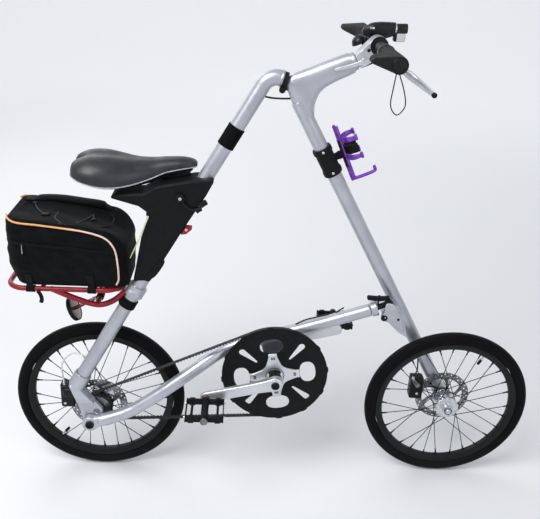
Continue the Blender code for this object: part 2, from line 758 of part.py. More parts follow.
def make_knuckle():
    """The black apex knuckle: fold ear, disc, arm, steering bearing and fold pin in one piece."""
    back = SEAT_GAP + PLUG_DEPTH + RUN_GAP
    face = CROOK[-1] + CROOK_DIR * back
    knuckle = rod("apex_knuckle", face, face + CROOK_DIR * KNUCKLE_THICK, KNUCKLE_R)
    for side in (-1.0, 1.0):
        inner = side * EAR_HALF
        outer = side * (EAR_HALF + CHEEK_THICK + 2 * RUN_GAP)
        cut(knuckle, lean(pin_y("knuckle_cheek_room", FOLD_PIN, inner, outer, EAR_R + RUN_GAP)))
    ear_leg = [
        crook_point(back, -FOLD_PIN_BELOW),
        crook_point(back, -0.0080),
        crook_point(back + KNUCKLE_THICK, -0.0080),
        crook_point(FOLD_PIN_AHEAD + EAR_R * 0.7, -FOLD_PIN_BELOW + EAR_R * 0.6),
        crook_point(FOLD_PIN_AHEAD, -FOLD_PIN_BELOW),
    ]
    ear = lean(slab("knuckle_ear", [ear_leg], -EAR_HALF, EAR_HALF))
    eye = lean(pin_y("knuckle_eye", FOLD_PIN, -EAR_HALF, EAR_HALF, EAR_R, 24))
    arm_half = ARM_HEIGHT / 2
    arm_outline = [
        steer_point(0.0, -arm_half),
        steer_point(CORE_R + 0.0024, -arm_half),
        steer_point(CORE_R + 0.0040, -2.0 * arm_half),
        steer_point(CORE_R + 0.0095, -arm_half * 1.6),
        steer_point(CORE_R + 0.0125, -arm_half * 0.9),
        steer_point(CORE_R + 0.0090, arm_half * 0.6),
        steer_point(0.0, arm_half),
    ]
    arm = slab("knuckle_arm", [arm_outline], -BEARING_ARM_HALF, BEARING_ARM_HALF)
    bearing = rod(
        "knuckle_bearing", STEER_TOP - STEER_DIR * BEARING_HALF, STEER_TOP + STEER_DIR * BEARING_HALF, BEARING_R
    )
    pin = lean(pin_y("knuckle_pin", FOLD_PIN, -EAR_HALF - CHEEK_THICK, EAR_HALF + CHEEK_THICK, FOLD_PIN_R, 16))
    join(knuckle, ear)
    cut(knuckle, rod("knuckle_back_face", face - CROOK_DIR * 0.02, face, 2 * TUBE_R))
    join(knuckle, eye, arm, bearing, pin)
    return finish(knuckle, "black alloy")


def make_red_clip():
    """The small red strap hook on the saddle bracket's front edge."""
    low = Vector(BRACKET_POINTS[6])
    high = Vector(BRACKET_POINTS[7])
    along = (high - low).normalized()
    ahead = Vector((along.y, -along.x))
    top = high - along * 0.0020 + ahead * SEAT_GAP
    bottom = top - along * 0.0240
    outline = [top, bottom, bottom + ahead * 0.0100 + along * 0.0080, top + ahead * 0.0150, top + ahead * 0.0120 + along * 0.0060]
    clip = slab("red_clip", [[(point.x, point.y) for point in outline]], RED_CLIP_Y - 0.0100, RED_CLIP_Y + 0.0010)
    return finish(clip, "red paint")


def make_front_frame():
    """The welded front tube, head lug, stem and hub boss."""
    low = front_axis(FRONT_HUB.z)
    frame = tube("front_frame", [FRONT_TUBE_TOP, low], TUBE_R, resolution=5)
    core = rod("head_core", STEER_TOP - STEER_DIR * CORE_RISE, STEER_TOP + STEER_DIR * CORE_DROP, CORE_R)
    stem_root = STEER_TOP + Vector((0.006, 0.0, 0.001))
    stem = cone("stem", stem_root, STEM_END, STEM_ROOT_R - 0.006, STEM_END_R)
    down = STEER_TOP + STEER_DIR * CORE_DROP
    gusset = slab(
        "gusset",
        [
            [
                (STEER_TOP.x, STEER_TOP.z),
                (down.x - 0.002, down.z),
                (FRONT_TUBE_TOP.x + 0.020, FRONT_TUBE_TOP.z - 0.030),
                *arc((STEM_END.x - 0.0300, STEM_END.z - 0.1090), GUSSET_ARC_R, 178.0, 118.0, 6),
                (STEM_END.x - 0.030, STEM_END.z - 0.022),
                (STEM_END.x - 0.040, STEM_END.z - 0.005),
            ]
        ],
        -GUSSET_HALF,
        GUSSET_HALF,
    )
    neck = rod("neck", STEER_TOP + STEER_DIR * 0.016, front_axis(FRONT_TUBE_TOP.z - 0.030), TUBE_R)
    boss = pin_y("front_boss", FRONT_HUB, low.y - FRONT_BOSS_HALF, low.y + FRONT_BOSS_HALF, FRONT_BOSS_R)
    join(frame, core, stem, gusset, neck, boss)
    bore = rod(
        "head_bore",
        STEER_TOP - STEER_DIR * (BEARING_HALF + RUN_GAP),
        STEER_TOP + STEER_DIR * (BEARING_HALF + RUN_GAP),
        BEARING_R + RUN_GAP,
    )
    slot = make_steer_slot()
    axle_hole = pin_y("front_axle_hole", FRONT_HUB, 0.0, 0.1, AXLE_R + SEAT_GAP, 20)
    cut(frame, bore, slot, axle_hole)
    return finish(frame, "silver paint")


def make_steer_slot():
    """The wedge behind the head that lets the knuckle's arm swing as the bike steers."""
    reach = 0.040
    spread = BEARING_ARM_HALF + RUN_GAP + reach * math.tan(math.radians(STEER_SLOT_DEG))
    half = ARM_HEIGHT / 2 + SLOT_GAP
    slot = slab(
        "steer_slot",
        [[(0.0, -(BEARING_ARM_HALF + RUN_GAP)), (reach, -spread), (reach, spread), (0.0, BEARING_ARM_HALF + RUN_GAP)]],
        -half,
        half,
    )
    backward = Vector((-STEER_DIR.z, 0.0, STEER_DIR.x)).normalized() * -1.0
    if backward.x > 0.0:
        backward = -backward
    side = LEFT
    along = STEER_DIR
    frame = Matrix((backward, side, along)).transposed().to_4x4()
    slot.matrix_world = Matrix.Translation(STEER_TOP) @ frame
    return slot


def make_front_fittings():
    """The axle, latch bracket, bar clamp, lever, bottle cage clamp and cage."""
    low = front_axis(FRONT_HUB.z)
    axle = make_axle("front_axle", FRONT_HUB, low.y + FRONT_BOSS_HALF + 0.003, -1.0)
    return [
        axle,
        make_latch_bracket(),
        make_bar_clamp(),
        make_cage_clamp(),
        make_bottle_cage(),
        make_front_caliper(),
    ]


def make_latch_bracket():
    """The silver lug on the front tube with an open seat below and ahead of the ball."""
    tube_point = front_axis(STEER_BALL.z - 0.050)
    seat = Vector((STEER_BALL.x + 0.006, 0.0, STEER_BALL.z - 0.020))
    bracket = slab(
        "latch_bracket",
        [
            [
                (STEER_BALL.x - 0.016, STEER_BALL.z - 0.018),
                (STEER_BALL.x - 0.012, STEER_BALL.z - 0.032),
                (STEER_BALL.x + 0.030, STEER_BALL.z - 0.075),
                (STEER_BALL.x + 0.055, STEER_BALL.z - 0.090),
                (STEER_BALL.x + 0.040, STEER_BALL.z - 0.030),
                (STEER_BALL.x + 0.022, STEER_BALL.z - 0.004),
            ]
        ],
        -0.0090,
        tube_point.y - 0.004,
    )
    seat_ball = ball("latch_seat", STEER_BALL, BALL_R + RUN_GAP, 12)
    tube_relief = rod("latch_tube_relief", front_axis(STEER_BALL.z + 0.12), front_axis(STEER_BALL.z - 0.18), TUBE_R + SEAT_GAP)
    cut(bracket, seat_ball, tube_relief)
    bpy.context.view_layer.update()
    return finish(bracket, "polished alloy")


def make_bar_clamp():
    """The silver clamp on the stem's end that carries both bar halves."""
    outline = hull_of_circles(
        (BAR.x, BAR.z), BAR_CLAMP_R, (STEM_END.x + 0.008, STEM_END.z + 0.003), 0.0150, 10
    )
    clamp = slab("bar_clamp", [outline], -BAR_CLAMP_HALF, BAR_CLAMP_HALF)
    stem_dir = (STEM_END - STEER_TOP).normalized()
    stem_relief = rod("clamp_stem_relief", STEM_END - stem_dir * 0.06, STEM_END + stem_dir * SEAT_GAP, STEM_END_R + 0.002)
    cut(clamp, stem_relief)
    return finish(clamp, "polished alloy")


def make_bar_lever():
    """The quick release under the stem: a cam drum and a flat lever."""
    centre = BAR_LEVER_PIVOT
    lever = pin_y("bar_lever", centre, -BAR_CLAMP_HALF - SEAT_GAP - 0.0070, -BAR_CLAMP_HALF - SEAT_GAP, 0.0080, 20)
    blade = slab(
        "bar_lever_blade",
        [hull_of_circles((centre.x, centre.z), 0.0060, (centre.x - 0.060, centre.z - 0.020), 0.0035)],
        -BAR_CLAMP_HALF - SEAT_GAP - 0.0060,
        -BAR_CLAMP_HALF - SEAT_GAP - 0.0010,
    )
    join(lever, blade)
    return finish(lever, "polished alloy")


BAR_LEVER_PIVOT = Vector((STEM_END.x + 0.014, 0.0, STEM_END.z + 0.002))


def make_cage_clamp():
    """The black block clamp on the front tube that carries the bottle cage."""
    middle = front_axis(CAGE_CLAMP_MID_Z)
    half = CAGE_CLAMP_LENGTH / 2
    inner = TUBE_R + SEAT_GAP + 0.0001
    outer = inner + CAGE_CLAMP_WALL
    clamp = turned("cage_clamp", middle, FRONT_DIR, [(outer, half), (outer, -half), (inner, -half), (inner, half)], 28)
    ahead = CAGE_RAIL_TOP.lerp(CAGE_RAIL_LOW, 0.50)
    block = rod("cage_block", middle + (ahead - middle) * 0.20, middle + (ahead - middle) * 0.80, 0.0100, 20)
    join(clamp, block)
    bore = rod("cage_block_bore", middle - FRONT_DIR * 0.06, middle + FRONT_DIR * 0.06, inner)
    cut(clamp, bore)
    return finish(clamp, "black plastic")


def make_bottle_cage():
    """The purple cage: a back rail, a foot hook and two curved arms."""
    rail_dir = (CAGE_RAIL_LOW - CAGE_RAIL_TOP).normalized()
    forward = rail_dir.cross(LEFT).normalized()
    if forward.x < 0.0:
        forward = -forward
    hook_end = CAGE_RAIL_LOW + forward * CAGE_ARM_REACH
    cage = tube(
        "bottle_cage", [CAGE_RAIL_TOP, CAGE_RAIL_LOW, hook_end, hook_end - rail_dir * 0.010], CAGE_WIRE_R, resolution=3
    )
    for share in (0.12, 0.48):
        level = CAGE_RAIL_TOP.lerp(CAGE_RAIL_LOW, share)
        centre = level + forward * CAGE_BAND_R
        points = []
        steps = 14
        for i in range(steps + 1):
            angle = math.radians(-CAGE_BAND_DEG + 2 * CAGE_BAND_DEG * i / steps)
            points.append(centre - forward * CAGE_BAND_R * math.cos(angle) + LEFT * CAGE_BAND_R * math.sin(angle))
        join(cage, tube("cage_band", points, CAGE_WIRE_R, resolution=2))
    return finish(cage, "purple anodised")


def caliper(name, hub, rotor_y, away, mount_low, mount_high):
    """A brake caliper that straddles a rotor's edge behind its hub. away is the side it mounts on."""
    x_front = hub.x - ROTOR_R + 0.014
    x_rear = hub.x - ROTOR_R - 0.020
    y_near = rotor_y + away * 0.016
    y_far = rotor_y - away * 0.014
    body = box(
        name,
        (x_rear, min(y_near, y_far), hub.z - 0.004),
        (x_front, max(y_near, y_far), hub.z + 0.058),
    )
    mount = box(name + "_mount", mount_low, mount_high)
    join(body, mount)
    slot = pin_y(name + "_slot", hub, rotor_y - 0.0023, rotor_y + 0.0023, ROTOR_R + 0.002, 40)
    cut(body, slot)
    return finish(soften(body, 0.0015, 1), "black alloy")


def rotor_plane(side):
    """The Y of a rotor's middle, on one side of its hub."""
    return side * (HUB_END + SEAT_GAP + ROTOR_THICK / 2)


def make_front_caliper():
    """The front caliper, bolted to the rear of the front tube's foot."""
    tube_low = front_axis(FRONT_HUB.z + 0.048)
    plane = rotor_plane(1.0)
    piece = caliper(
        "front_caliper",
        FRONT_HUB,
        plane,
        1.0,
        (FRONT_HUB.x - ROTOR_R - 0.012, plane + 0.0050, FRONT_HUB.z + 0.022),
        (tube_low.x, plane + 0.0120, FRONT_HUB.z + 0.040),
    )
    relief = rod("caliper_tube_relief", front_axis(FRONT_HUB.z), front_axis(FRONT_HUB.z + 0.2), TUBE_R + SEAT_GAP)
    return cut(piece, relief)


def make_rear_caliper():
    """The rear caliper, bolted to the inner face of the foot."""
    plane = rotor_plane(-1.0)
    return caliper(
        "rear_caliper",
        REAR_HUB,
        plane,
        -1.0,
        (REAR_HUB.x - ROTOR_R - 0.012, FOOT_INNER_Y + SEAT_GAP, REAR_HUB.z + 0.030),
        (REAR_HUB.x - 0.040, plane - 0.010, REAR_HUB.z + 0.050),
    )


def make_rear_cable():
    """The brake cable's short arc from the rear tube to the caliper."""
    start = rear_axis(FOOT_TOP.z + 0.0590) - REAR_ACROSS * (TUBE_R + 2 * SEAT_GAP)
    points = smooth_path(
        [
            start,
            start - REAR_ACROSS * 0.012,
            start + Vector((-0.034, 0.004, 0.004)),
            start + Vector((-0.060, 0.010, -0.030)),
            Vector((REAR_HUB.x - ROTOR_R - 0.010, rotor_plane(-1.0) - 0.010, REAR_HUB.z + 0.0605)),
        ],
        5,
    )
    return finish(tube("rear_brake_cable", points, 0.0020, resolution=2), "white cable")


def make_apex_cable():
    """The brake cable that crosses from the rear tube to the front tube under the apex."""
    start = rear_axis(REAR_TUBE_TOP_Z - 0.0140) + REAR_ACROSS * (TUBE_R + 2 * SEAT_GAP)
    end = Vector(APEX_CABLE_END)
    points = smooth_path([start, start + REAR_ACROSS * 0.006, (start + end) / 2 - UP * 0.002, end], 4)
    return finish(tube("apex_cable", points, 0.0020, resolution=2), "black plastic")


def wheel(name, hub, rotor_side):
    """A tyre, rim, spoked hub and brake rotor."""
    section_centre = TYRE_OUTER_R - TYRE_SECTION_R
    seat_r = RIM_OUTER_R + SEAT_GAP + 0.0004
    open_deg = math.degrees(math.acos((section_centre - seat_r) / TYRE_SECTION_R))
    sides = 10
    profile = []
    for i in range(sides + 1):
        angle = math.radians((180.0 - open_deg) * (1.0 - 2.0 * i / sides))
        profile.append((section_centre + TYRE_SECTION_R * math.cos(angle), TYRE_SECTION_R * math.sin(angle)))
    tyre = turned(name + "_tyre", hub, LEFT, profile, WHEEL_STEPS)
    finish(tyre, "tyre rubber")

    rim_profile = [
        (RIM_OUTER_R, RIM_HALF_WIDTH),
        (RIM_OUTER_R, -RIM_HALF_WIDTH),
        (RIM_OUTER_R - 0.006, -RIM_HALF_WIDTH),
        (RIM_INNER_R, -RIM_INNER_HALF_WIDTH),
        (RIM_INNER_R, RIM_INNER_HALF_WIDTH),
        (RIM_OUTER_R - 0.006, RIM_HALF_WIDTH),
    ]
    rim = turned(name + "_rim", hub, LEFT, rim_profile, WHEEL_STEPS)
    finish(rim, "black alloy")

    hub_piece = make_hub(name, hub)
    rotor_y = rotor_plane(rotor_side)
    rotor_low = rotor_y - ROTOR_THICK / 2
    rotor_high = rotor_y + ROTOR_THICK / 2
    outlines = [circle((hub.x, hub.z), ROTOR_R, 40), circle((hub.x, hub.z), AXLE_R + 0.002, 16)]
    for i in range(ROTOR_HOLES):
        angle = 2 * math.pi * (i + 0.5) / ROTOR_HOLES
        centre = (hub.x + ROTOR_HOLE_CIRCLE_R * math.cos(angle), hub.z + ROTOR_HOLE_CIRCLE_R * math.sin(angle))
        outlines.append(circle(centre, ROTOR_HOLE_R, 12))
    rotor = slab(name + "_rotor", outlines, rotor_low, rotor_high)
    finish(rotor, "steel")
    return [tyre, rim, hub_piece, rotor]


def make_hub(name, hub):
    """A hub shell with its spokes, seven crossed pairs on each flange."""
    bore = AXLE_R + RUN_GAP
    out = HUB_FLANGE_Y + HUB_FLANGE_THICK / 2
    inn = HUB_FLANGE_Y - HUB_FLANGE_THICK / 2
    half = [
        (HUB_END_R, HUB_END),
        (HUB_BODY_R, out),
        (HUB_FLANGE_R, out),
        (HUB_FLANGE_R, inn),
        (HUB_BODY_R, inn - 0.002),
    ]
    profile = half + [(radius, -height) for radius, height in reversed(half)] + [(bore, -HUB_END), (bore, HUB_END)]
    piece = turned(name + "_hub", hub, LEFT, profile, 24)
    shape = bmesh.new()
    for side in (-1.0, 1.0):
        for i in range(SPOKE_PAIRS):
            for lead in (-1.0, 1.0):
                add_spoke(shape, side, lead, i)
    spokes = from_bmesh(name + "_spokes", shape, Matrix.Translation(hub))
    join(piece, spokes)
    return finish(piece, "polished alloy")


def add_spoke(shape, side, lead, i):
    """One spoke from the flange to just short of the rim, slanting one way round."""
    step = 360.0 / SPOKE_PAIRS
    base = step * (i + (0.25 if side > 0 else 0.0) + (0.5 if lead > 0 else 0.0))
    inner_angle = math.radians(base)
    outer_angle = math.radians(base + lead * SPOKE_CROSS_DEG)
    inner_y = side * (HUB_FLANGE_Y + lead * 0.0010)
    outer_y = side * (0.0030 + lead * 0.0016)
    outer_r = RIM_INNER_R * math.cos(math.pi / WHEEL_STEPS) - SEAT_GAP - 0.0003
    start = Vector((SPOKE_CIRCLE_R * math.cos(inner_angle), inner_y, SPOKE_CIRCLE_R * math.sin(inner_angle)))
    end = Vector((outer_r * math.cos(outer_angle), outer_y, outer_r * math.sin(outer_angle)))
    matrix = Matrix.Translation((start + end) / 2) @ turn_to(end - start)
    bmesh.ops.create_cone(
        shape,
        cap_ends=True,
        segments=4,
        radius1=SPOKE_R,
        radius2=SPOKE_R,
        depth=(end - start).length,
        matrix=matrix,
    )


def make_sprocket():
    """The rear belt sprocket with its freewheel body."""
    bore = AXLE_R + RUN_GAP
    profile = [
        (0.0120, BELT_Y + SPROCKET_THICK / 2 + 0.0040),
        (0.0120, BELT_Y + SPROCKET_THICK / 2),
        (SPROCKET_R, BELT_Y + SPROCKET_THICK / 2),
        (SPROCKET_R, BELT_Y - SPROCKET_THICK / 2),
        (bore, BELT_Y - SPROCKET_THICK / 2),
        (bore, BELT_Y + SPROCKET_THICK / 2 + 0.0040),
    ]
    return finish(turned("rear_sprocket", Vector((REAR_HUB.x, 0.0, REAR_HUB.z)), LEFT, profile, 36), "black alloy")


def belt_outline(extra):
    """The belt's path round both wheels, at a distance outside their rims."""
    dx, dz = BB.x - REAR_HUB.x, BB.z - REAR_HUB.z
    heading = math.degrees(math.atan2(dz, dx))
    lean = math.degrees(math.asin((BELT_WHEEL_R - SPROCKET_R) / math.hypot(dx, dz)))
    small = arc((REAR_HUB.x, REAR_HUB.z), SPROCKET_R + extra, heading + 90.0 + lean, heading + 270.0 - lean, 12)
    large = arc((BB.x, BB.z), BELT_WHEEL_R + extra, heading - 90.0 - lean, heading + 90.0 + lean, 30)
    return small + large


def make_belt():
    gap = SEAT_GAP + 0.0003
    belt = slab(
        "drive_belt", [belt_outline(gap + BELT_THICK), belt_outline(gap)], BELT_Y - BELT_WIDTH / 2, BELT_Y + BELT_WIDTH / 2
    )
    return finish(belt, "tyre rubber")


def make_bottom_tube():
    """The bottom tube with its rear eye, bracket shell and gusset."""
    path = smooth_path([(PIVOT.x, (EYE_INNER_Y + EYE_OUTER_Y) / 2, PIVOT.z)] + BOTTOM_POINTS, 2)
    piece = tube("bottom_tube", path, BOTTOM_TUBE_R, resolution=4)
    eye = pin_y("pivot_eye", PIVOT, EYE_OUTER_Y, EYE_INNER_Y, PIVOT_EYE_R)
    inner_face = box(
        "eye_face_relief",
        (PIVOT.x - 0.05, EYE_INNER_Y, PIVOT.z - 0.06),
        (PIVOT.x + 0.045, EYE_INNER_Y + 0.05, PIVOT.z + 0.06),
    )
    outer_face = box(
        "eye_outer_relief",
        (PIVOT.x - 0.05, EYE_OUTER_Y - 0.05, PIVOT.z - 0.06),
        (PIVOT.x + 0.022, EYE_OUTER_Y, PIVOT.z + 0.06),
    )
    shell = pin_y("bracket_shell", BB, -SHELL_HALF, SHELL_HALF, SHELL_R)
    web = slab(
        "bracket_web",
        [
            [
                (BB.x - 0.019, BB.z + 0.002),
                (BB.x + 0.019, BB.z + 0.002),
                (BB.x + 0.050, BB.z + 0.098),
                (BB.x - 0.040, BB.z + 0.074),
            ]
        ],
        -0.0180,
        0.0040,
    )
    join(piece, eye, shell, web)
    spindle_hole = pin_y("shell_bore", BB, -0.1, 0.1, SPINDLE_R + RUN_GAP)
    bolt_hole = pin_y("eye_bore", PIVOT, -0.2, 0.0, PIVOT_BOLT_R + RUN_GAP, 20)
    cut(piece, inner_face, outer_face, spindle_hole, bolt_hole)
    return finish(piece, "silver paint")


def make_pivot_bolt():
    bolt = pin_y("pivot_bolt", PIVOT, FOOT_INNER_Y - 0.001, EYE_OUTER_Y - SEAT_GAP - PIVOT_HEAD_THICK, PIVOT_BOLT_R, 20)
    head = pin_y(
        "pivot_head", PIVOT, EYE_OUTER_Y - SEAT_GAP, EYE_OUTER_Y - SEAT_GAP - PIVOT_HEAD_THICK, PIVOT_HEAD_R, 20
    )
    join(bolt, head)
    return finish(bolt, "black alloy")


def make_latch_ball():
    """The collar and ball at the bottom tube's front end."""
    end = BOTTOM_POINTS[-1]
    before = BOTTOM_POINTS[-2]
    along = (end - before).normalized()
    start = end + along * SEAT_GAP
    piece = rod("latch_ball", start, start + along * COLLAR_LENGTH * 0.5, COLLAR_R)
    neck = rod("ball_neck", start + along * COLLAR_LENGTH * 0.3, STEER_BALL, BALL_NECK_R, 20)
    knob = ball("ball", STEER_BALL, BALL_R, 12)
    middle = start + along * COLLAR_LENGTH * 0.25
    lug = slab(
        "latch_lug",
        [hull_of_circles((middle.x, middle.z), 0.0070, (LATCH_PIVOT.x, LATCH_PIVOT.z), LATCH_EYE_R)],
        LATCH_LUG_Y,
        LATCH_LUG_Y + LATCH_LUG_THICK,
    )
    pin_end = LATCH_LUG_Y - 2 * RUN_GAP - LATCH_WIDTH - LATCH_PIN_R
    pin = pin_y("latch_pin", LATCH_PIVOT, pin_end, LATCH_LUG_Y + 0.001, LATCH_PIN_R, 16)
    join(piece, neck, knob, lug, pin)
    return finish(piece, "black alloy")


def make_latch_lever():
    """The small sprung thumb lever above the collar, on the lug's pin."""
    centre = (LATCH_PIVOT.x, LATCH_PIVOT.z)
    high = LATCH_LUG_Y - RUN_GAP
    low = high - LATCH_WIDTH
    lever = slab("latch_lever", [hull_of_circles(centre, LATCH_EYE_R, (centre[0] - 0.026, centre[1] + 0.002), 0.0050)], low, high)
    hook = slab("latch_hook", [hull_of_circles(centre, LATCH_EYE_R, (centre[0] + 0.020, centre[1] + 0.003), 0.0040)], low, high)
    join(lever, hook)
    cut(lever, pin_y("latch_bore", LATCH_PIVOT, low - 0.01, high + 0.01, LATCH_PIN_R + RUN_GAP, 16))
    return finish(lever, "black plastic")


LATCH_PIVOT = Vector((STEER_BALL.x - 0.024, 0.0, STEER_BALL.z + 0.0150))


def opening_angles():
    """The four oval openings' angles, in line with the spider's arms."""
    return [OPENING_TILT_DEG + 90.0 * i for i in range(4)]


def oval_opening(centre, angle_deg, steps):
    """An oval outline at an angle on the wheel, longer round the wheel than across it."""
    middle = polar(centre, OPENING_CIRCLE_R, angle_deg)
    turn = math.radians(angle_deg)
    points = []
    for i in range(steps):
        angle = 2 * math.pi * i / steps
        out = OPENING_HALF_OUT * math.cos(angle)
        around = OPENING_HALF_AROUND * math.sin(angle)
        points.append(
            (
                middle[0] + out * math.cos(turn) - around * math.sin(turn),
                middle[1] + out * math.sin(turn) + around * math.cos(turn),
            )
        )
    return points


def make_belt_wheel():
    """The black belt wheel with its wider guard disc, four oval openings and four slots."""
    rim_profile = [
        (BELT_WHEEL_R, BELT_INNER_Y),
        (BELT_WHEEL_R, GUARD_INNER_Y - GUARD_THICK / 3),
        (BELT_WHEEL_R - RIM_BAND, GUARD_INNER_Y - GUARD_THICK / 3),
        (BELT_WHEEL_R - RIM_BAND, BELT_INNER_Y),
    ]
    rim = turned("belt_wheel_rim", Vector((BB.x, 0.0, BB.z)), LEFT, rim_profile, 48)
    centre = (BB.x, BB.z)
    outlines = [circle(centre, GUARD_R, 48), circle(centre, WHEEL_BORE_R, 20)]
    for angle_deg in opening_angles():
        outlines.append(oval_opening(centre, angle_deg, 20))
        inner = polar(centre, SLOT_INNER_R, angle_deg + 45.0)
        outer = polar(centre, SLOT_OUTER_R, angle_deg + 45.0)
        outlines.append(hull_of_circles(inner, SLOT_HALF_INNER, outer, SLOT_HALF_OUTER, 4))
    piece = slab("belt_wheel", outlines, GUARD_OUTER_Y, GUARD_INNER_Y)
    join(piece, rim)
    return finish(piece, "black alloy")


def make_spider():
    """The silver four-arm spider in front of the belt wheel."""
    centre = (BB.x, BB.z)
    outline = []
    for angle_deg in opening_angles():
        tip = polar(centre, SPIDER_REACH, angle_deg)
        outline += arc(tip, SPIDER_TIP_HALF, angle_deg - 90.0, angle_deg + 90.0, 6)
        outline += arc(centre, SPIDER_HUB_R, angle_deg + 38.0, angle_deg + 52.0, 2)
    spider = slab("spider", [outline, circle(centre, SPINDLE_R + SEAT_GAP, 24)], SPIDER_OUTER_Y, SPIDER_INNER_Y)
    return finish(spider, "polished alloy")


def crank(name, side, outer):
    """A crank arm with its boss. side is the Y sign, outer the distance of its outer face."""
    angle = math.radians(CRANK_DEG if side < 0 else CRANK_DEG - 180.0)
    tip = Vector((BB.x + CRANK_LENGTH * math.cos(angle), 0.0, BB.z + CRANK_LENGTH * math.sin(angle)))
    y_outer = side * outer
    y_inner = side * (outer - CRANK_THICK)
    arm = slab(
        name,
        [hull_of_circles((BB.x, BB.z), CRANK_BOSS_R, (tip.x, tip.z), CRANK_TIP_R)],
        min(y_outer, y_inner),
        max(y_outer, y_inner),
    )
    soften(arm, 0.0015, 1)
    cut(arm, pin_y(name + "_bore", BB, y_outer - side * 0.08, y_outer + side * 0.02, SPINDLE_R + SEAT_GAP))
    cut(arm, pin_y(name + "_axle_bore", tip, y_outer - side * 0.03, y_outer + side * 0.02, PEDAL_AXLE_R + SEAT_GAP, 20))
    return finish(arm, "polished alloy"), tip


def make_spindle():
    """The crank spindle with a cap over each arm and a spacer to each boss."""
    right = -RIGHT_CRANK_OUTER - SEAT_GAP - CRANK_CAP_THICK
    left = LEFT_CRANK_OUTER + SEAT_GAP + CRANK_CAP_THICK
    spindle = pin_y("crank_spindle", BB, right, left, SPINDLE_R)
    caps = [
        pin_y("spindle_cap_right", BB, right, right + CRANK_CAP_THICK, CRANK_CAP_R),
        pin_y("spindle_cap_left", BB, left - CRANK_CAP_THICK, left, CRANK_CAP_R),
    ]
    spacer = pin_y(
        "spindle_spacer", BB, -RIGHT_CRANK_OUTER + CRANK_THICK + SEAT_GAP, SPIDER_OUTER_Y - SEAT_GAP, CRANK_BOSS_R * 0.9
    )
    join(spindle, *caps, spacer)
    return finish(spindle, "black alloy")


def pedal(name, side, outer, tip):
    """A pedal axle and a cage pedal body that turns on it."""
    y_root = side * (outer - CRANK_THICK + 0.001)
    y_end = side * (outer + PEDAL_GAP + PEDAL_AXLE_LENGTH)
    axle = pin_y(name + "_axle", tip, y_root, y_end, PEDAL_AXLE_R, 16)
    flange = pin_y(name + "_axle_flange", tip, side * (outer + SEAT_GAP), side * (outer + PEDAL_GAP - RUN_GAP), 0.0090, 16)
    cap = pin_y(
        name + "_axle_cap",
        tip,
        side * (outer + PEDAL_GAP + PEDAL_WIDTH + RUN_GAP),
        side * (outer + PEDAL_GAP + PEDAL_WIDTH + RUN_GAP + 0.0050),
        0.0090,
        16,
    )
    join(axle, flange, cap)
    finish(axle, "steel")

    y_inner = side * (outer + PEDAL_GAP)
    y_outer = side * (outer + PEDAL_GAP + PEDAL_WIDTH)
    low = (tip.x - PEDAL_LENGTH / 2, min(y_inner, y_outer), tip.z - PEDAL_THICK / 2)
    high = (tip.x + PEDAL_LENGTH / 2, max(y_inner, y_outer), tip.z + PEDAL_THICK / 2)
    body = box(name, low, high)
    for sign in (-1.0, 1.0):
        x_a = tip.x + sign * (PEDAL_BARREL_R + 0.001)
        x_b = tip.x + sign * (PEDAL_LENGTH / 2 - PEDAL_CAGE_BAR)
        window = box(
            name + "_window",
            (min(x_a, x_b), low[1] + PEDAL_CAGE_BAR * 1.6, low[2] - 0.01),
            (max(x_a, x_b), high[1] - PEDAL_CAGE_BAR * 1.6, high[2] + 0.01),
        )
        cut(body, window)
    cut(body, pin_y(name + "_bore", tip, y_inner - side * 0.02, y_outer + side * 0.02, PEDAL_AXLE_R + RUN_GAP, 20))
    finish(body, "black plastic")
    return axle, body


def bar_half(name, side):
    """One bar half with its grip and brake mount. side is its Y sign."""
    inner = side * (BAR_CLAMP_HALF + RUN_GAP)
    outer = side * BAR_HALF_SPAN
    bar = pin_y(name + "_bar", BAR, inner, outer, BAR_R, 24)
    join(bar, pin_y(name + "_bar_flange", BAR, inner, inner + side * BAR_FLANGE_THICK, BAR_FLANGE_R, 24))
    finish(bar, "black alloy")

    grip_outer = side * (BAR_HALF_SPAN + GRIP_CAP)
    grip_inner = side * (BAR_HALF_SPAN + GRIP_CAP - GRIP_LENGTH)
    outline = hull_of_circles((BAR.x, BAR.z), GRIP_R, (BAR.x - GRIP_TAIL, BAR.z + 0.006), GRIP_TAIL_R, 10)
    grip = slab(name + "_grip", [outline], min(grip_inner, grip_outer), max(grip_inner, grip_outer))
    bore = pin_y(name + "_grip_bore", BAR, grip_inner - side * 0.02, outer + side * SEAT_GAP, BAR_R + SEAT_GAP, 24)
    cut(grip, bore)
    finish(grip, "grey rubber")

    mount_centre = side * BRAKE_MOUNT_Y
    half = BRAKE_MOUNT_WIDTH / 2
    mount = pin_y(name + "_brake_mount", BAR, mount_centre - half, mount_centre + half, BRAKE_MOUNT_R, 24)
    arm = slab(
        name + "_mount_arm",
        [hull_of_circles((BAR.x, BAR.z), 0.0090, (BRAKE_PIVOT.x, BRAKE_PIVOT.z), 0.0070)],
        mount_centre - half,
        mount_centre + half,
    )
    join(mount, arm)
    mount_bore = pin_y(name + "_mount_bore", BAR, mount_centre - 0.03, mount_centre + 0.03, BAR_R + SEAT_GAP, 24)
    fork = make_lever_slot(name, side)
    cut(mount, mount_bore, fork)
    finish(mount, "black alloy")
    return [bar, grip, mount], brake_lever(name, side)


LEVER_FORWARD = Vector((0.845, 0.0, -0.535)).normalized()
LEVER_UP = Vector((0.535, 0.0, 0.845)).normalized()


def lever_pivot(side):
    return Vector((BRAKE_PIVOT.x, side * BRAKE_MOUNT_Y, BRAKE_PIVOT.z))


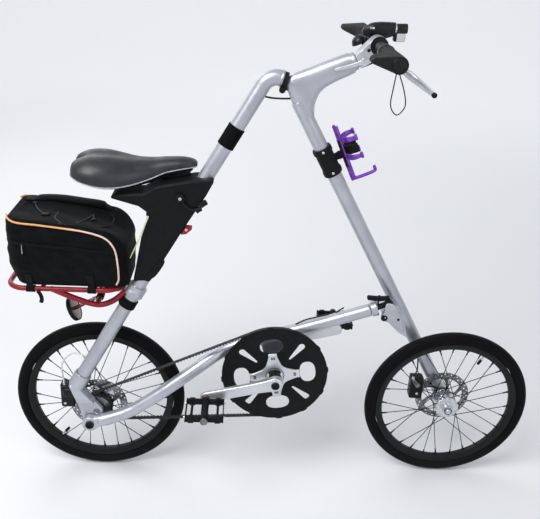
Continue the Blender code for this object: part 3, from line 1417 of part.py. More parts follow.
def make_lever_slot(name, side):
    """The slot in the mount that the lever's root turns in."""
    half = BRAKE_LEVER_HALF + RUN_GAP
    centre = lever_pivot(side)
    slot = box(name + "_lever_slot", (-0.0125, -0.020, -half), (0.030, 0.020, half))
    frame = Matrix((LEVER_FORWARD, LEFT, LEVER_UP)).transposed().to_4x4()
    slot.matrix_world = Matrix.Translation(centre) @ frame @ Matrix.Translation((0.00875, 0.0, 0.0))
    return slot


def brake_lever(name, side):
    """A flat lever blade that reaches forward and out, with a ball tip."""
    centre = lever_pivot(side)
    root = centre + LEVER_FORWARD * 0.001
    bend = centre + LEVER_FORWARD * 0.022 + LEFT * side * 0.012
    elbow = centre + LEVER_FORWARD * 0.048 + LEFT * side * 0.045
    tip = centre + LEVER_FORWARD * 0.072 + LEFT * side * 0.105
    lever = tube(name + "_brake_lever", smooth_path([root, bend, elbow, tip], 3), BRAKE_LEVER_HALF, resolution=2)
    join(lever, ball(name + "_lever_tip", tip, BRAKE_TIP_R, 6))
    return finish(lever, "polished alloy")


def make_lamp():
    """The black front lamp on a ring round the left bar half, beside the clamp."""
    rear = Vector((BAR.x - 0.028, LAMP_Y, BAR.z + BAR_R + LAMP_R + 0.0030))
    front = rear + Vector((LAMP_LENGTH, 0.0, 0.004))
    along = (front - rear).normalized()
    lamp = rod("front_lamp", rear, front - along * 0.026, LAMP_R, 24)
    head = rod("lamp_head", front - along * 0.028, front, LAMP_HEAD_R, 24)
    ring = pin_y("lamp_ring", Vector((BAR.x, 0.0, BAR.z)), LAMP_Y - 0.007, LAMP_Y + 0.007, BAR_R + 0.0060, 24)
    join(lamp, head, ring)
    cut(lamp, pin_y("lamp_bore", BAR, LAMP_Y - 0.03, LAMP_Y + 0.03, BAR_R + SEAT_GAP, 24))
    return finish(lamp, "black plastic")


def make_bell():
    """The domed bell behind the left bar half."""
    centre = Vector((BAR.x - 0.030, BELL_Y, BAR.z - 0.004))
    facing = Vector((-0.45, 0.0, 0.89)).normalized()
    profile = [(0.0, BELL_HEIGHT)]
    for i in range(1, 6):
        angle = math.radians(90.0 * i / 5)
        profile.append((BELL_R * math.sin(angle), BELL_HEIGHT * math.cos(angle)))
    profile += [(BELL_R, -0.0030), (0.0, -0.0030)]
    bell = turned("bell", centre, facing, profile, 24, closed=False)
    ring = pin_y("bell_ring", BAR, BELL_Y - 0.004, BELL_Y + 0.004, BAR_R + 0.0040, 24)
    join(bell, ring)
    cut(bell, pin_y("bell_bore", BAR, BELL_Y - 0.03, BELL_Y + 0.03, BAR_R + SEAT_GAP, 24))
    return finish(bell, "black plastic")


def make_lanyard():
    """The thin wrist loop that hangs from the right grip's end."""
    y = -(BAR_HALF_SPAN + GRIP_CAP - LANYARD_INSET)
    top = BAR.z - GRIP_R - SEAT_GAP
    points = smooth_path(
        [
            (BAR.x - 0.003, y, top),
            (BAR.x - 0.006, y, BAR.z - 0.042),
            (BAR.x - 0.007, y, BAR.z - 0.066),
            (BAR.x + 0.006, y, BAR.z - 0.090),
            (BAR.x + 0.020, y, BAR.z - 0.070),
            (BAR.x + 0.013, y, BAR.z - 0.044),
            (BAR.x + 0.003, y, top),
        ],
        5,
    )
    return finish(tube("lanyard", points, 0.0011, resolution=2), "black fabric")


def make_rack():
    """The red tubular rack on its black clamp, with the bag and the reflector."""
    clamp_mid = rear_axis(RACK_CLAMP_Z)
    inner = TUBE_R + SEAT_GAP + 0.0001
    half = RACK_CLAMP_LENGTH / 2
    clamp = turned(
        "rack_clamp",
        clamp_mid,
        REAR_DIR,
        [(RACK_CLAMP_R, half), (RACK_CLAMP_R, -half), (inner, -half), (inner, half)],
        28,
    )
    finish(clamp, "black plastic")

    corner = RACK_CORNER_R
    loop = []
    rear_arc = arc((RACK_REAR_X + corner, RACK_HALF - corner), corner, 90.0, 180.0, 5)
    for x, y in rear_arc:
        loop.append((x, y, RACK_Z))
    for x, y in reversed(rear_arc):
        loop.append((x, -y, RACK_Z))
    front_x = RACK_FRONT_X + corner / 2
    front_arc = arc((front_x - corner, -(RACK_HALF - corner)), corner, -90.0, 0.0, 5)
    for x, y in front_arc:
        loop.append((x, y, RACK_Z))
    for x, y in reversed(front_arc):
        loop.append((x, -y, RACK_Z))
    rack = tube("rack_frame", loop, RACK_TUBE_R, resolution=2, cyclic=True)
    for x in (RACK_REAR_X + RACK_CROSS_IN, RACK_FRONT_X - RACK_CROSS_IN / 2):
        join(rack, rod("rack_cross", (x, -RACK_HALF, RACK_Z), (x, RACK_HALF, RACK_Z), RACK_TUBE_R * 0.8, 16))
    arm_end = clamp_mid - Vector((0.004, 0.0, 0.0))
    join(rack, rod("rack_arm", (front_x - RACK_TUBE_R * 0.7, arm_end.y, RACK_Z), (arm_end.x, arm_end.y, RACK_Z), RACK_TUBE_R, 16))
    for side in (-1.0, 1.0):
        strut = smooth_path(
            [
                (RACK_STRUT_X, side * RACK_HALF, RACK_Z),
                (RACK_BEND_X, side * RACK_HALF * 0.9, RACK_Z - RACK_DROP * 0.553),
                (RACK_DROP_X, side * RACK_HALF * 0.7, RACK_DROP_Z),
                (RACK_RISE_X, side * RACK_HALF * 0.5 - RACK_HALF * 0.2, RACK_DROP_Z + RACK_DROP * 0.213),
                (arm_end.x, arm_end.y + side * 0.006, RACK_Z - 0.006),
            ],
            3,
        )
        join(rack, tube("rack_strut", strut, RACK_TUBE_R, resolution=2))
    join(
        rack,
        rod("rack_low_cross", (RACK_DROP_X, -RACK_HALF * 0.7, RACK_DROP_Z), (RACK_DROP_X, RACK_HALF * 0.7, RACK_DROP_Z), RACK_TUBE_R, 16),
    )
    cut(rack, rod("rack_seat", clamp_mid - REAR_DIR * 0.06, clamp_mid + REAR_DIR * 0.06, RACK_CLAMP_R + SEAT_GAP))
    finish(rack, "red paint")

    bag_low = RACK_Z + RACK_TUBE_R + SEAT_GAP
    bag = box(
        "bag_body",
        (BAG_REAR_X, -BAG_WIDTH / 2, bag_low),
        (BAG_REAR_X + BAG_LENGTH, BAG_WIDTH / 2, bag_low + BAG_HEIGHT),
    )
    soften(bag, 0.022, 3)
    finish(bag, "black fabric")

    tilt = math.radians(REFLECTOR_TILT_DEG)
    facing = Vector((-math.cos(tilt), 0.0, -math.sin(tilt)))
    reflector = rod(
        "rear_reflector",
        REFLECTOR_CENTRE - facing * REFLECTOR_THICK / 2,
        REFLECTOR_CENTRE + facing * REFLECTOR_THICK / 2,
        REFLECTOR_R,
    )
    stalk = rod("reflector_stalk", REFLECTOR_CENTRE, (RACK_DROP_X, 0.0, RACK_DROP_Z), 0.0050, 16)
    join(reflector, stalk)
    cut(reflector, rod("stalk_relief", (RACK_DROP_X, -0.05, RACK_DROP_Z), (RACK_DROP_X, 0.05, RACK_DROP_Z), 0.0063, 16))
    finish(reflector, "reflector grey")
    return [clamp, rack, bag, reflector]


def make_saddle():
    """The saddle pad, its base and the moulded bracket that slides on the rear tube."""
    pad = loft("saddle_pad", [section_ring(x, wide, AXLE_Z + top, AXLE_Z + under) for x, wide, top, under in SADDLE_STATIONS])
    finish(pad, "black leather")

    base_sections = []
    for x, half_width, _, under in SADDLE_STATIONS[1:-1]:
        top = AXLE_Z + under - SEAT_GAP
        base_sections.append(section_ring(x, half_width * 0.93, top, top + SEAT_GAP - SADDLE_BASE_THICK))
    base = loft("saddle_base", base_sections)
    seat_low = Vector(BRACKET_POINTS[11])
    seat_high = Vector(BRACKET_POINTS[10])
    edge = (seat_high - seat_low).normalized()
    lift = Vector((-edge.y, edge.x)) * SEAT_GAP
    near = seat_low.lerp(seat_high, 0.05) + lift
    far = seat_low.lerp(seat_high, 0.85) + lift
    block = [near, far, far + Vector((0.0, SADDLE_BLOCK_HIGH)), near + Vector((0.0, SADDLE_BLOCK_HIGH * 0.75))]
    join(base, slab("saddle_block", [[(point.x, point.y) for point in block]], SADDLE_BLOCK_RIGHT_Y, SADDLE_BLOCK_LEFT_Y))
    finish(base, "grey rubber")

    bracket = slab("saddle_bracket", [BRACKET_POINTS], BRACKET_RIGHT_Y, BRACKET_LEFT_Y)
    soften(bracket, 0.0040, 1)
    knob_face = BRACKET_RIGHT_Y - SEAT_GAP
    knob = pin_y("bracket_knob", KNOB_CENTRE, knob_face - KNOB_THICK, knob_face, KNOB_R, 24)
    finish(soften(knob, 0.0015, 1), "black plastic")
    bore = rod("bracket_bore", rear_axis(SADDLE_SLIDE_Z - 0.27), rear_axis(SADDLE_SLIDE_Z + 0.18), TUBE_R + SLIDE_GAP)
    cut(bracket, bore)
    finish(bracket, "black plastic")
    return [bracket, knob, base, pad, make_red_clip()]


def build():
    rear_pieces = make_rear_frame() + [make_rear_caliper(), make_rear_cable(), make_apex_cable()]
    carry(empty("rear_frame_origin", FOOT_TOP), rear_pieces + make_rack())
    carry(empty("saddle_slide_axis", rear_axis(SADDLE_SLIDE_Z)), make_saddle())

    carry(empty("rear_wheel_axis", REAR_HUB), wheel("rear", REAR_HUB, -1.0))
    carry(empty("sprocket_axis", REAR_HUB), [make_sprocket()])

    bottom = [make_bottom_tube(), make_pivot_bolt(), make_latch_ball(), make_belt()]
    carry(empty("bottom_tube_axis", PIVOT), bottom)
    carry(empty("latch_lever_axis", LATCH_PIVOT), [make_latch_lever()])

    right_arm, right_tip = crank("right_crank", -1.0, RIGHT_CRANK_OUTER)
    left_arm, left_tip = crank("left_crank", 1.0, LEFT_CRANK_OUTER)
    right_axle, right_pedal = pedal("right_pedal", -1.0, RIGHT_CRANK_OUTER, right_tip)
    left_axle, left_pedal = pedal("left_pedal", 1.0, LEFT_CRANK_OUTER, left_tip)
    crankset = [make_spindle(), make_belt_wheel(), make_spider(), right_arm, left_arm, right_axle, left_axle]
    carry(empty("crank_axis", BB), crankset)
    carry(empty("right_pedal_axis", right_tip), [right_pedal])
    carry(empty("left_pedal_axis", left_tip), [left_pedal])

    carry(empty("fold_axis", FOLD_PIN), [make_knuckle()])
    carry(empty("steer_axis", STEER_TOP), [make_front_frame()] + make_front_fittings())
    carry(empty("front_wheel_axis", FRONT_HUB), wheel("front", FRONT_HUB, 1.0))
    carry(empty("bar_lever_axis", BAR_LEVER_PIVOT), [make_bar_lever()])
    for name, side in (("right", -1.0), ("left", 1.0)):
        pieces, lever = bar_half(name, side)
        if side < 0:
            pieces.append(make_lanyard())
        else:
            pieces += [make_lamp(), make_bell()]
        hinge = Vector((BAR.x, side * (BAR_CLAMP_HALF + RUN_GAP / 2), BAR.z - BAR_PIVOT_DROP))
        carry(empty(name + "_bar_axis", hinge), pieces)
        carry(empty(name + "_lever_axis", lever_pivot(side)), [lever])


SADDLE_SLIDE_Z = AXLE_Z + 0.5105

build()
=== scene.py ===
"""Folding bike, dressed for the photograph's view.

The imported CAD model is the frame. Every piece here is worked out as a surface over a grid of two
parameters, as a section carried along a path, or as a relaxed copy of a CAD solid, and it rides on
the body that carries it. All sizes are metres, in the CAD frame: X forward, Y to the rider's left.
"""
import math

import bmesh
import bpy
import numpy as np
from mathutils import Matrix, Vector


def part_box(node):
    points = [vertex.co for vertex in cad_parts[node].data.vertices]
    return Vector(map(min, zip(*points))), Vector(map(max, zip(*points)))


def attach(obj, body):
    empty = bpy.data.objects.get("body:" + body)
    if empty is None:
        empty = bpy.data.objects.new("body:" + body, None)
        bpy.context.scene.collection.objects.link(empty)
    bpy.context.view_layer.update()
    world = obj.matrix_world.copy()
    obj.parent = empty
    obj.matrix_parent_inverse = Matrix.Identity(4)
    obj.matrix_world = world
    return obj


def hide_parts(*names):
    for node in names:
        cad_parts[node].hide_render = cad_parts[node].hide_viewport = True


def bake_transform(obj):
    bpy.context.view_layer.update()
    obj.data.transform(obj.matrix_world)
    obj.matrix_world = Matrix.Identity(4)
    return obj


bl_info = {
    "name": "Folding Bike Dressing",
    "version": (1, 0, 0),
    "blender": (4, 5, 0),
    "location": "3D View > Sidebar > Folding Bike",
    "description": "Dresses a packed folding bike with detailed surfaces and materials",
    "category": "Object",
}

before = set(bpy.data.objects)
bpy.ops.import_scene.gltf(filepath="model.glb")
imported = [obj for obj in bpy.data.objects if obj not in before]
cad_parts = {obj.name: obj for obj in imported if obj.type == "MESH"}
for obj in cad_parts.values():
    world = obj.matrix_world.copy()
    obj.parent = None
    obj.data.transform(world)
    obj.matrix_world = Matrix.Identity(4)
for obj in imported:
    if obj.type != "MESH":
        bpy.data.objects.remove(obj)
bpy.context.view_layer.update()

# Places on the bike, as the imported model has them
REAR_HUB = np.array([-0.4405, 0.0, 0.2095])
FRONT_HUB = np.array([0.4405, 0.0, 0.2095])
FOOT_TOP = np.array([-0.4805, -0.0640, 0.2910])
REAR_TUBE_TOP_Z = 1.0060
REAR_TUBE_DEG = 59.9
CROOK_R = 0.034
CROOK_END_DEG = -20.0
FRONT_TUBE_TOP = np.array([0.0100, 0.0, 0.9760])
FRONT_TUBE_LOW = np.array([0.4405, 0.0600, 0.2095])
STEER_TOP = np.array([0.0070, 0.0, 1.0090])
STEM_END = np.array([0.1260, 0.0, 1.0650])
PIVOT = np.array([-0.4550, 0.0, 0.1840])
BB = np.array([-0.0085, 0.0, 0.3210])
BAR = np.array([0.1680, 0.0, 1.0980])
BRAKE_PIVOT = np.array([0.1900, 0.0, 1.0760])
CRANK_DEG = 194.1
RACK_Z = 0.5400
WHEELS = (("rear", REAR_HUB, -1.0), ("front", FRONT_HUB, 1.0))

# The photograph's view
VIEW_FROM = np.array([-0.1058, -1.5510, 1.3134])
VIEW_YAW = 0.0475
VIEW_PITCH = 0.4296
VIEW_ROLL = 0.0531
VIEW_FOCAL_PX = 730.0
PHOTO_WIDTH = 540

X = np.array([1.0, 0.0, 0.0])
Y = np.array([0.0, 1.0, 0.0])
Z = np.array([0.0, 0.0, 1.0])


def unit(vector):
    """A vector cut to length one."""
    vector = np.asarray(vector, float)
    return vector / np.linalg.norm(vector)


REAR_DIR = unit([1.0 / math.tan(math.radians(REAR_TUBE_DEG)), 0.0640 / 0.715, 1.0])
REAR_ACROSS = unit([REAR_DIR[2], 0.0, -REAR_DIR[0]])
FRONT_DIR = unit(FRONT_TUBE_LOW - FRONT_TUBE_TOP)


def rear_axis(z):
    """The rear tube's centre at a height: straight in X and Y from its foot."""
    z = np.asarray(z, float)
    rise = z - FOOT_TOP[2]
    share = rise / (REAR_TUBE_TOP_Z - FOOT_TOP[2])
    return np.stack(
        [FOOT_TOP[0] + rise / math.tan(math.radians(REAR_TUBE_DEG)), FOOT_TOP[1] * (1.0 - share), z], -1
    )


def front_axis(z):
    """The front tube's centre at a height: a straight line from the head to the hub."""
    share = (np.asarray(z, float) - FRONT_TUBE_LOW[2]) / (FRONT_TUBE_TOP[2] - FRONT_TUBE_LOW[2])
    return FRONT_TUBE_LOW + (FRONT_TUBE_TOP - FRONT_TUBE_LOW) * np.asarray(share)[..., None]


# ---------------------------------------------------------------- surfaces


def grid_skin(points, wrap_u=False):
    """Quads between the neighbours of a grid of rings. Open ends get a cap: a fan from the ring to its middle."""
    points = np.asarray(points, float)
    n, m = points.shape[:2]
    verts = points.reshape(-1, 3)
    u = np.arange(n if wrap_u else n - 1)[:, None]
    v = np.arange(m)[None, :]
    u_next, v_next = (u + 1) % n, (v + 1) % m
    quads = np.stack([u * m + v, u_next * m + v, u_next * m + v_next, u * m + v_next], -1).reshape(-1, 4)
    faces = [quads]
    if not wrap_u:
        ring = np.arange(m)
        end = ring + (n - 1) * m
        middle = len(verts)
        verts = np.concatenate([verts, points[:1].mean(1), points[-1:].mean(1)])
        faces.append(np.stack([ring, np.roll(ring, -1), np.full(m, middle)], -1))
        faces.append(np.stack([np.roll(end, -1), end, np.full(m, middle + 1)], -1))
    return outward((verts, faces))


def outward(skin):
    """Turns every face round where the skin's signed volume is below zero."""
    verts, faces = skin
    volume = 0.0
    for block in faces:
        for i in range(1, block.shape[1] - 1):
            a, b, c = verts[block[:, 0]], verts[block[:, i]], verts[block[:, i + 1]]
            volume += (a * np.cross(b, c)).sum()
    return (verts, [block[:, ::-1] for block in faces]) if volume < 0 else (verts, faces)


def oval(half_side, half_lift, count=16, power=2.0):
    """A closed superellipse: |side/a|^p + |lift/b|^p = 1, with points evenly spaced in angle."""
    angle = np.linspace(0, 2 * math.pi, count, endpoint=False)
    side, lift = np.cos(angle), np.sin(angle)
    ease = 2.0 / power
    return np.stack(
        [half_side * np.sign(side) * np.abs(side) ** ease, half_lift * np.sign(lift) * np.abs(lift) ** ease], -1
    )


def sweep(path, section, up=(0, 0, 1), closed=False):
    """A closed section of (side, lift) points carried square to a path. Side = tangent x up, lift = side x tangent."""
    path = np.asarray(path, float)
    section = np.asarray(section, float)
    if section.ndim == 2:
        section = np.broadcast_to(section, (len(path),) + section.shape)
    if closed:
        tangent = np.roll(path, -1, 0) - np.roll(path, 1, 0)
    else:
        tangent = np.gradient(path, axis=0)
    tangent /= np.linalg.norm(tangent, axis=1)[:, None]
    side = np.cross(tangent, np.asarray(up, float))
    side /= np.linalg.norm(side, axis=1)[:, None]
    lift = np.cross(side, tangent)
    grid = path[:, None] + section[..., :1] * side[:, None] + section[..., 1:] * lift[:, None]
    return grid_skin(grid, wrap_u=closed)


def tube(path, radius, sides=14, up=(0, 0, 1), closed=False, dome=False):
    """A round section along a path, its radius a number or one for each point. A dome rounds the open ends."""
    path = np.asarray(path, float)
    radius = np.broadcast_to(np.asarray(radius, float), len(path)).copy()
    if dome:
        turn = np.radians([0.0, 25.0, 50.0, 72.0, 88.0])
        start, end = unit(path[0] - path[1]), unit(path[-1] - path[-2])
        head = path[0] + start * (radius[0] * np.sin(turn[::-1]))[:, None]
        tail = path[-1] + end * (radius[-1] * np.sin(turn))[:, None]
        radius = np.concatenate([radius[0] * np.cos(turn[::-1]), radius[1:-1], radius[-1] * np.cos(turn)])
        path = np.concatenate([head, path[1:-1], tail])
    ring = oval(1.0, 1.0, sides)
    return sweep(path, radius[:, None, None] * ring, up, closed)


def line(start, end, count=2):
    """Evenly spaced points from one end to the other."""
    return np.linspace(np.asarray(start, float), np.asarray(end, float), count)


def curve(points, samples=8, closed=False):
    """A Catmull-Rom curve through the points."""
    points = np.asarray(points, float)
    if closed:
        padded = np.concatenate([points[-1:], points, points[:2]])
    else:
        padded = np.concatenate([2 * points[:1] - points[1:2], points, 2 * points[-1:] - points[-2:-1]])
    a, b, c, d = (padded[i : len(padded) - 3 + i, None] for i in range(4))
    t = np.linspace(0, 1, samples, endpoint=False)[None, :, None]
    made = 0.5 * (2 * b + (c - a) * t + (2 * a - 5 * b + 4 * c - d) * t**2 + (3 * b - a - 3 * c + d) * t**3)
    made = made.reshape(-1, points.shape[1])
    return made if closed else np.concatenate([made, points[-1:]])


def lathe(centre, axis, profile, steps=48, ring=False):
    """A profile of (radius, height) turned about an axis. A ring profile closes on itself, others end on the axis."""
    axis = unit(axis)
    seed = X if abs(axis[0]) < 0.9 else Z
    first = unit(np.cross(axis, seed))
    second = np.cross(axis, first)
    profile = np.asarray(profile, float)
    angle = np.linspace(0, 2 * math.pi, steps, endpoint=False)
    round_part = np.cos(angle)[:, None] * first + np.sin(angle)[:, None] * second
    grid = np.asarray(centre, float) + profile[:, 0, None, None] * round_part[None] + profile[:, 1, None, None] * axis
    return grid_skin(grid, wrap_u=ring)


def disc(centre, axis, radius, low, high, edge=0.0008, steps=32):
    """A short turned cylinder between two heights on an axis, with rounded rims."""
    ease = edge * 0.3
    profile = [
        (radius - edge, low), (radius - ease, low + ease), (radius, low + edge), (radius, high - edge),
        (radius - ease, high - ease), (radius - edge, high),
    ]
    return lathe(centre, axis, profile, steps)


def bolt(centre, axis, radius=0.004, height=0.003, steps=20):
    """A round bolt head with a socket: its profile steps in and down at the middle."""
    shape = [(1, 0), (1, 0.75), (0.88, 1), (0.52, 1), (0.5, 0.97), (0.5, 0.35), (0.46, 0.3)]
    return lathe(centre, axis, np.array(shape) * (radius, height), steps)


def rounded_box(centre, half, radius, axes=(X, Y, Z)):
    """A box with round edges: each direction n of a sphere goes to sign(n) * (half - radius) + radius * n."""
    half = np.asarray(half, float)
    radius = min(radius, half.min() * 0.999)
    quarter = np.linspace(0.02, math.pi / 2 - 0.02, 4)
    around = np.concatenate([quarter + k * math.pi / 2 for k in range(4)])
    height = np.concatenate([quarter, quarter + math.pi / 2])
    normal = np.stack(np.broadcast_arrays(
        np.sin(height)[:, None] * np.cos(around), np.sin(height)[:, None] * np.sin(around), np.cos(height)[:, None]
    ), -1)
    local = np.sign(normal) * (half - radius) + radius * normal
    return grid_skin(np.asarray(centre, float) + local @ np.array([unit(a) for a in axes]))


def rods(starts, ends, radius, sides=6):
    """Many thin round bars at once, each from one point to another, with closed ends."""
    starts, ends = np.asarray(starts, float), np.asarray(ends, float)
    along = ends - starts
    along /= np.linalg.norm(along, axis=1)[:, None]
    seed = np.where(np.abs(along[:, 1:2]) < 0.9, Y, X)
    first = np.cross(along, seed)
    first /= np.linalg.norm(first, axis=1)[:, None]
    second = np.cross(along, first)
    angle = np.linspace(0, 2 * math.pi, sides, endpoint=False)
    ring = radius * (np.cos(angle)[None, :, None] * first[:, None] + np.sin(angle)[None, :, None] * second[:, None])
    verts = np.stack([starts[:, None] + ring, ends[:, None] + ring], 1).reshape(-1, 3)
    base = np.arange(len(starts))[:, None] * 2 * sides
    v = np.arange(sides)[None]
    w = (v + 1) % sides
    quads = np.stack([base + v, base + w, base + sides + w, base + sides + v], -1).reshape(-1, 4)
    low = (base + v[:, ::-1]).reshape(-1, sides)
    high = base + sides + v
    return outward((verts, [quads, low, high]))


def plate(outlines, y_low, y_high, edge=0.0004, place=None):
    """A flat plate in XZ with thickness across Y, holes where outlines lie inside others, and chamfered edges."""
    data = bpy.data.curves.new("plate", "CURVE")
    data.dimensions = "2D"
    data.fill_mode = "BOTH"
    data.extrude = (y_high - y_low) / 2 - edge
    data.bevel_depth = edge
    data.bevel_resolution = 1 if edge > 0.0012 else 0
    data.offset = -edge
    for outline in outlines:
        outline = np.asarray(outline, float)
        spline = data.splines.new("POLY")
        spline.points.add(len(outline) - 1)
        flat = np.concatenate([outline, np.zeros((len(outline), 1)), np.ones((len(outline), 1))], 1)
        spline.points.foreach_set("co", flat.ravel())
        spline.use_cyclic_u = True
    made = bpy.data.objects.new("plate", data)
    bpy.context.scene.collection.objects.link(made)
    bpy.context.view_layer.update()
    mesh = bpy.data.meshes.new_from_object(made.evaluated_get(bpy.context.evaluated_depsgraph_get()))
    bpy.data.objects.remove(made)
    bpy.data.curves.remove(data)
    verts, faces = arrays_of(mesh, merge=0.000004)
    turned = np.stack([verts[:, 0], -verts[:, 2] + (y_low + y_high) / 2, verts[:, 1]], -1)
    skin = outward((turned, faces))
    return skin if place is None else moved(skin, place)


def arrays_of(mesh, merge=0.0):
    """A mesh as points and blocks of faces, one block for each face size, with doubles merged first."""
    shape = bmesh.new()
    shape.from_mesh(mesh)
    if merge:
        bmesh.ops.remove_doubles(shape, verts=shape.verts, dist=merge)
        bmesh.ops.recalc_face_normals(shape, faces=shape.faces)
    shape.to_mesh(mesh)
    shape.free()
    verts = np.empty(len(mesh.vertices) * 3)
    mesh.vertices.foreach_get("co", verts)
    totals = np.empty(len(mesh.polygons), np.int32)
    starts = np.empty(len(mesh.polygons), np.int32)
    loops = np.empty(len(mesh.loops), np.int32)
    mesh.polygons.foreach_get("loop_total", totals)
    mesh.polygons.foreach_get("loop_start", starts)
    mesh.loops.foreach_get("vertex_index", loops)
    blocks = [loops[starts[totals == size][:, None] + np.arange(size)[None]] for size in np.unique(totals)]
    bpy.data.meshes.remove(mesh)
    return verts.reshape(-1, 3), blocks


def moved(skin, matrix):
    """A skin's points carried by a 4 x 4 matrix."""
    verts, faces = skin
    matrix = np.array(matrix, float)
    return outward((verts @ matrix[:3, :3].T + matrix[:3, 3], faces))


def arc(centre, radius, start_deg, end_deg, steps):
    """Points on a circle in the XZ plane."""
    angle = np.radians(np.linspace(start_deg, end_deg, steps + 1))
    return np.stack([centre[0] + radius * np.cos(angle), centre[1] + radius * np.sin(angle)], -1)


def circle(centre, radius, steps=24):
    """Evenly spaced points on a circle in XZ."""
    return arc(centre, radius, 0.0, 360.0 * (steps - 1) / steps, steps - 1)


def polar(centre, radius, angle_deg):
    """The point at a distance and an angle from a centre in XZ."""
    angle = np.radians(angle_deg)
    return np.stack([centre[0] + radius * np.cos(angle), centre[1] + radius * np.sin(angle)], -1)


def raised(flat, y):
    """Points in XZ, set at a Y."""
    flat = np.asarray(flat, float)
    return np.stack([flat[..., 0], np.full(flat.shape[:-1], y), flat[..., 1]], -1)


def hull(first, first_r, second, second_r, steps=12):
    """The outline of a bar with round ends of two radii."""
    dx, dz = second[0] - first[0], second[1] - first[1]
    heading = math.degrees(math.atan2(dz, dx))
    lean = math.degrees(math.asin((first_r - second_r) / math.hypot(dx, dz)))
    return np.concatenate(
        [
            arc(first, first_r, heading + 90.0 - lean, heading + 270.0 + lean, steps),
            arc(second, second_r, heading - 90.0 + lean, heading + 90.0 - lean, steps),
        ]
    )


def relaxed_copy(name, voxel, passes):
    """A CAD solid as a casting: its loose triangles are merged, voxels give an even mesh, and smoothing rounds it."""
    shape = bmesh.new()
    shape.from_mesh(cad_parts[name].data)
    bmesh.ops.remove_doubles(shape, verts=shape.verts, dist=0.000003)
    mesh = bpy.data.meshes.new("casting")
    shape.to_mesh(mesh)
    shape.free()
    made = bpy.data.objects.new("casting", mesh)
    bpy.context.scene.collection.objects.link(made)
    remesh = made.modifiers.new("even", "REMESH")
    remesh.mode = "VOXEL"
    remesh.voxel_size = voxel
    relax = made.modifiers.new("relax", "SMOOTH")
    relax.factor = 0.5
    relax.iterations = passes
    bpy.context.view_layer.update()
    result = bpy.data.meshes.new_from_object(made.evaluated_get(bpy.context.evaluated_depsgraph_get()))
    bpy.data.objects.remove(made)
    bpy.data.meshes.remove(mesh)
    return arrays_of(result)


def build_piece(name, skins, finishes, body, replaces=(), crease=35.0):
    """One mesh object from closed skins. A skin is (points, faces), or (points, faces, finish number)."""
    faces, numbers, offset = [], [], 0
    for points, blocks, *number in skins:
        for block in blocks:
            faces.append(block + offset)
            numbers.append(np.full(len(block), number[0] if number else 0))
        offset += len(points)
    verts = np.concatenate([skin[0] for skin in skins])
    totals = np.concatenate([np.full(len(block), block.shape[1]) for block in faces])
    loops = np.concatenate([block.ravel() for block in faces])
    mesh = bpy.data.meshes.new(name)
    mesh.vertices.add(len(verts))
    mesh.vertices.foreach_set("co", verts.ravel())
    mesh.loops.add(len(loops))
    mesh.loops.foreach_set("vertex_index", loops.astype(np.int32))
    mesh.polygons.add(len(totals))
    mesh.polygons.foreach_set("loop_start", np.concatenate([[0], np.cumsum(totals)[:-1]]).astype(np.int32))
    mesh.polygons.foreach_set("material_index", np.concatenate(numbers).astype(np.int32))
    mesh.update(calc_edges=True)
    mesh.validate()
    mesh.shade_smooth()
    mesh.set_sharp_from_angle(angle=math.radians(crease))
    for finish in [finishes] if isinstance(finishes, str) else finishes:
        mesh.materials.append(material(finish))
    made = bpy.data.objects.new(name, mesh)
    bpy.context.scene.collection.objects.link(made)
    if body:
        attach(made, body)
    if replaces:
        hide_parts(*replaces)
    return made


def mark(skin, number):
    """The same skin with another finish."""
    return (skin[0], skin[1], number)


def rounded_plan(low_x, high_x, half, corner, count):
    """A rectangle in XY with round corners: four quarter circles, joined by straight sides."""
    low, high, in_y = low_x + corner, high_x - corner, half - corner
    spots = ((high, in_y), (low, in_y), (low, -in_y), (high, -in_y))
    return np.concatenate([arc(spot, corner, 90.0 * k, 90.0 * (k + 1), count) for k, spot in enumerate(spots)])


# ---------------------------------------------------------------- finishes


def linear(hex_colour):
    """An sRGB hex value as linear RGBA, by the standard curve."""
    values = [int(hex_colour[i : i + 2], 16) / 255.0 for i in (1, 3, 5)]
    return (*[v / 12.92 if v <= 0.04045 else ((v + 0.055) / 1.055) ** 2.4 for v in values], 1.0)


def node(tree, kind, settings=None, links=None):
    """One shader node with its sockets and properties set and its inputs linked."""
    made = tree.nodes.new(kind)
    for key, value in (settings or {}).items():
        if isinstance(key, str) and key[0].islower():
            setattr(made, key, value)
        else:
            made.inputs[key].default_value = value
    for key, source in (links or {}).items():
        tree.links.new(source, made.inputs[key])
    return made


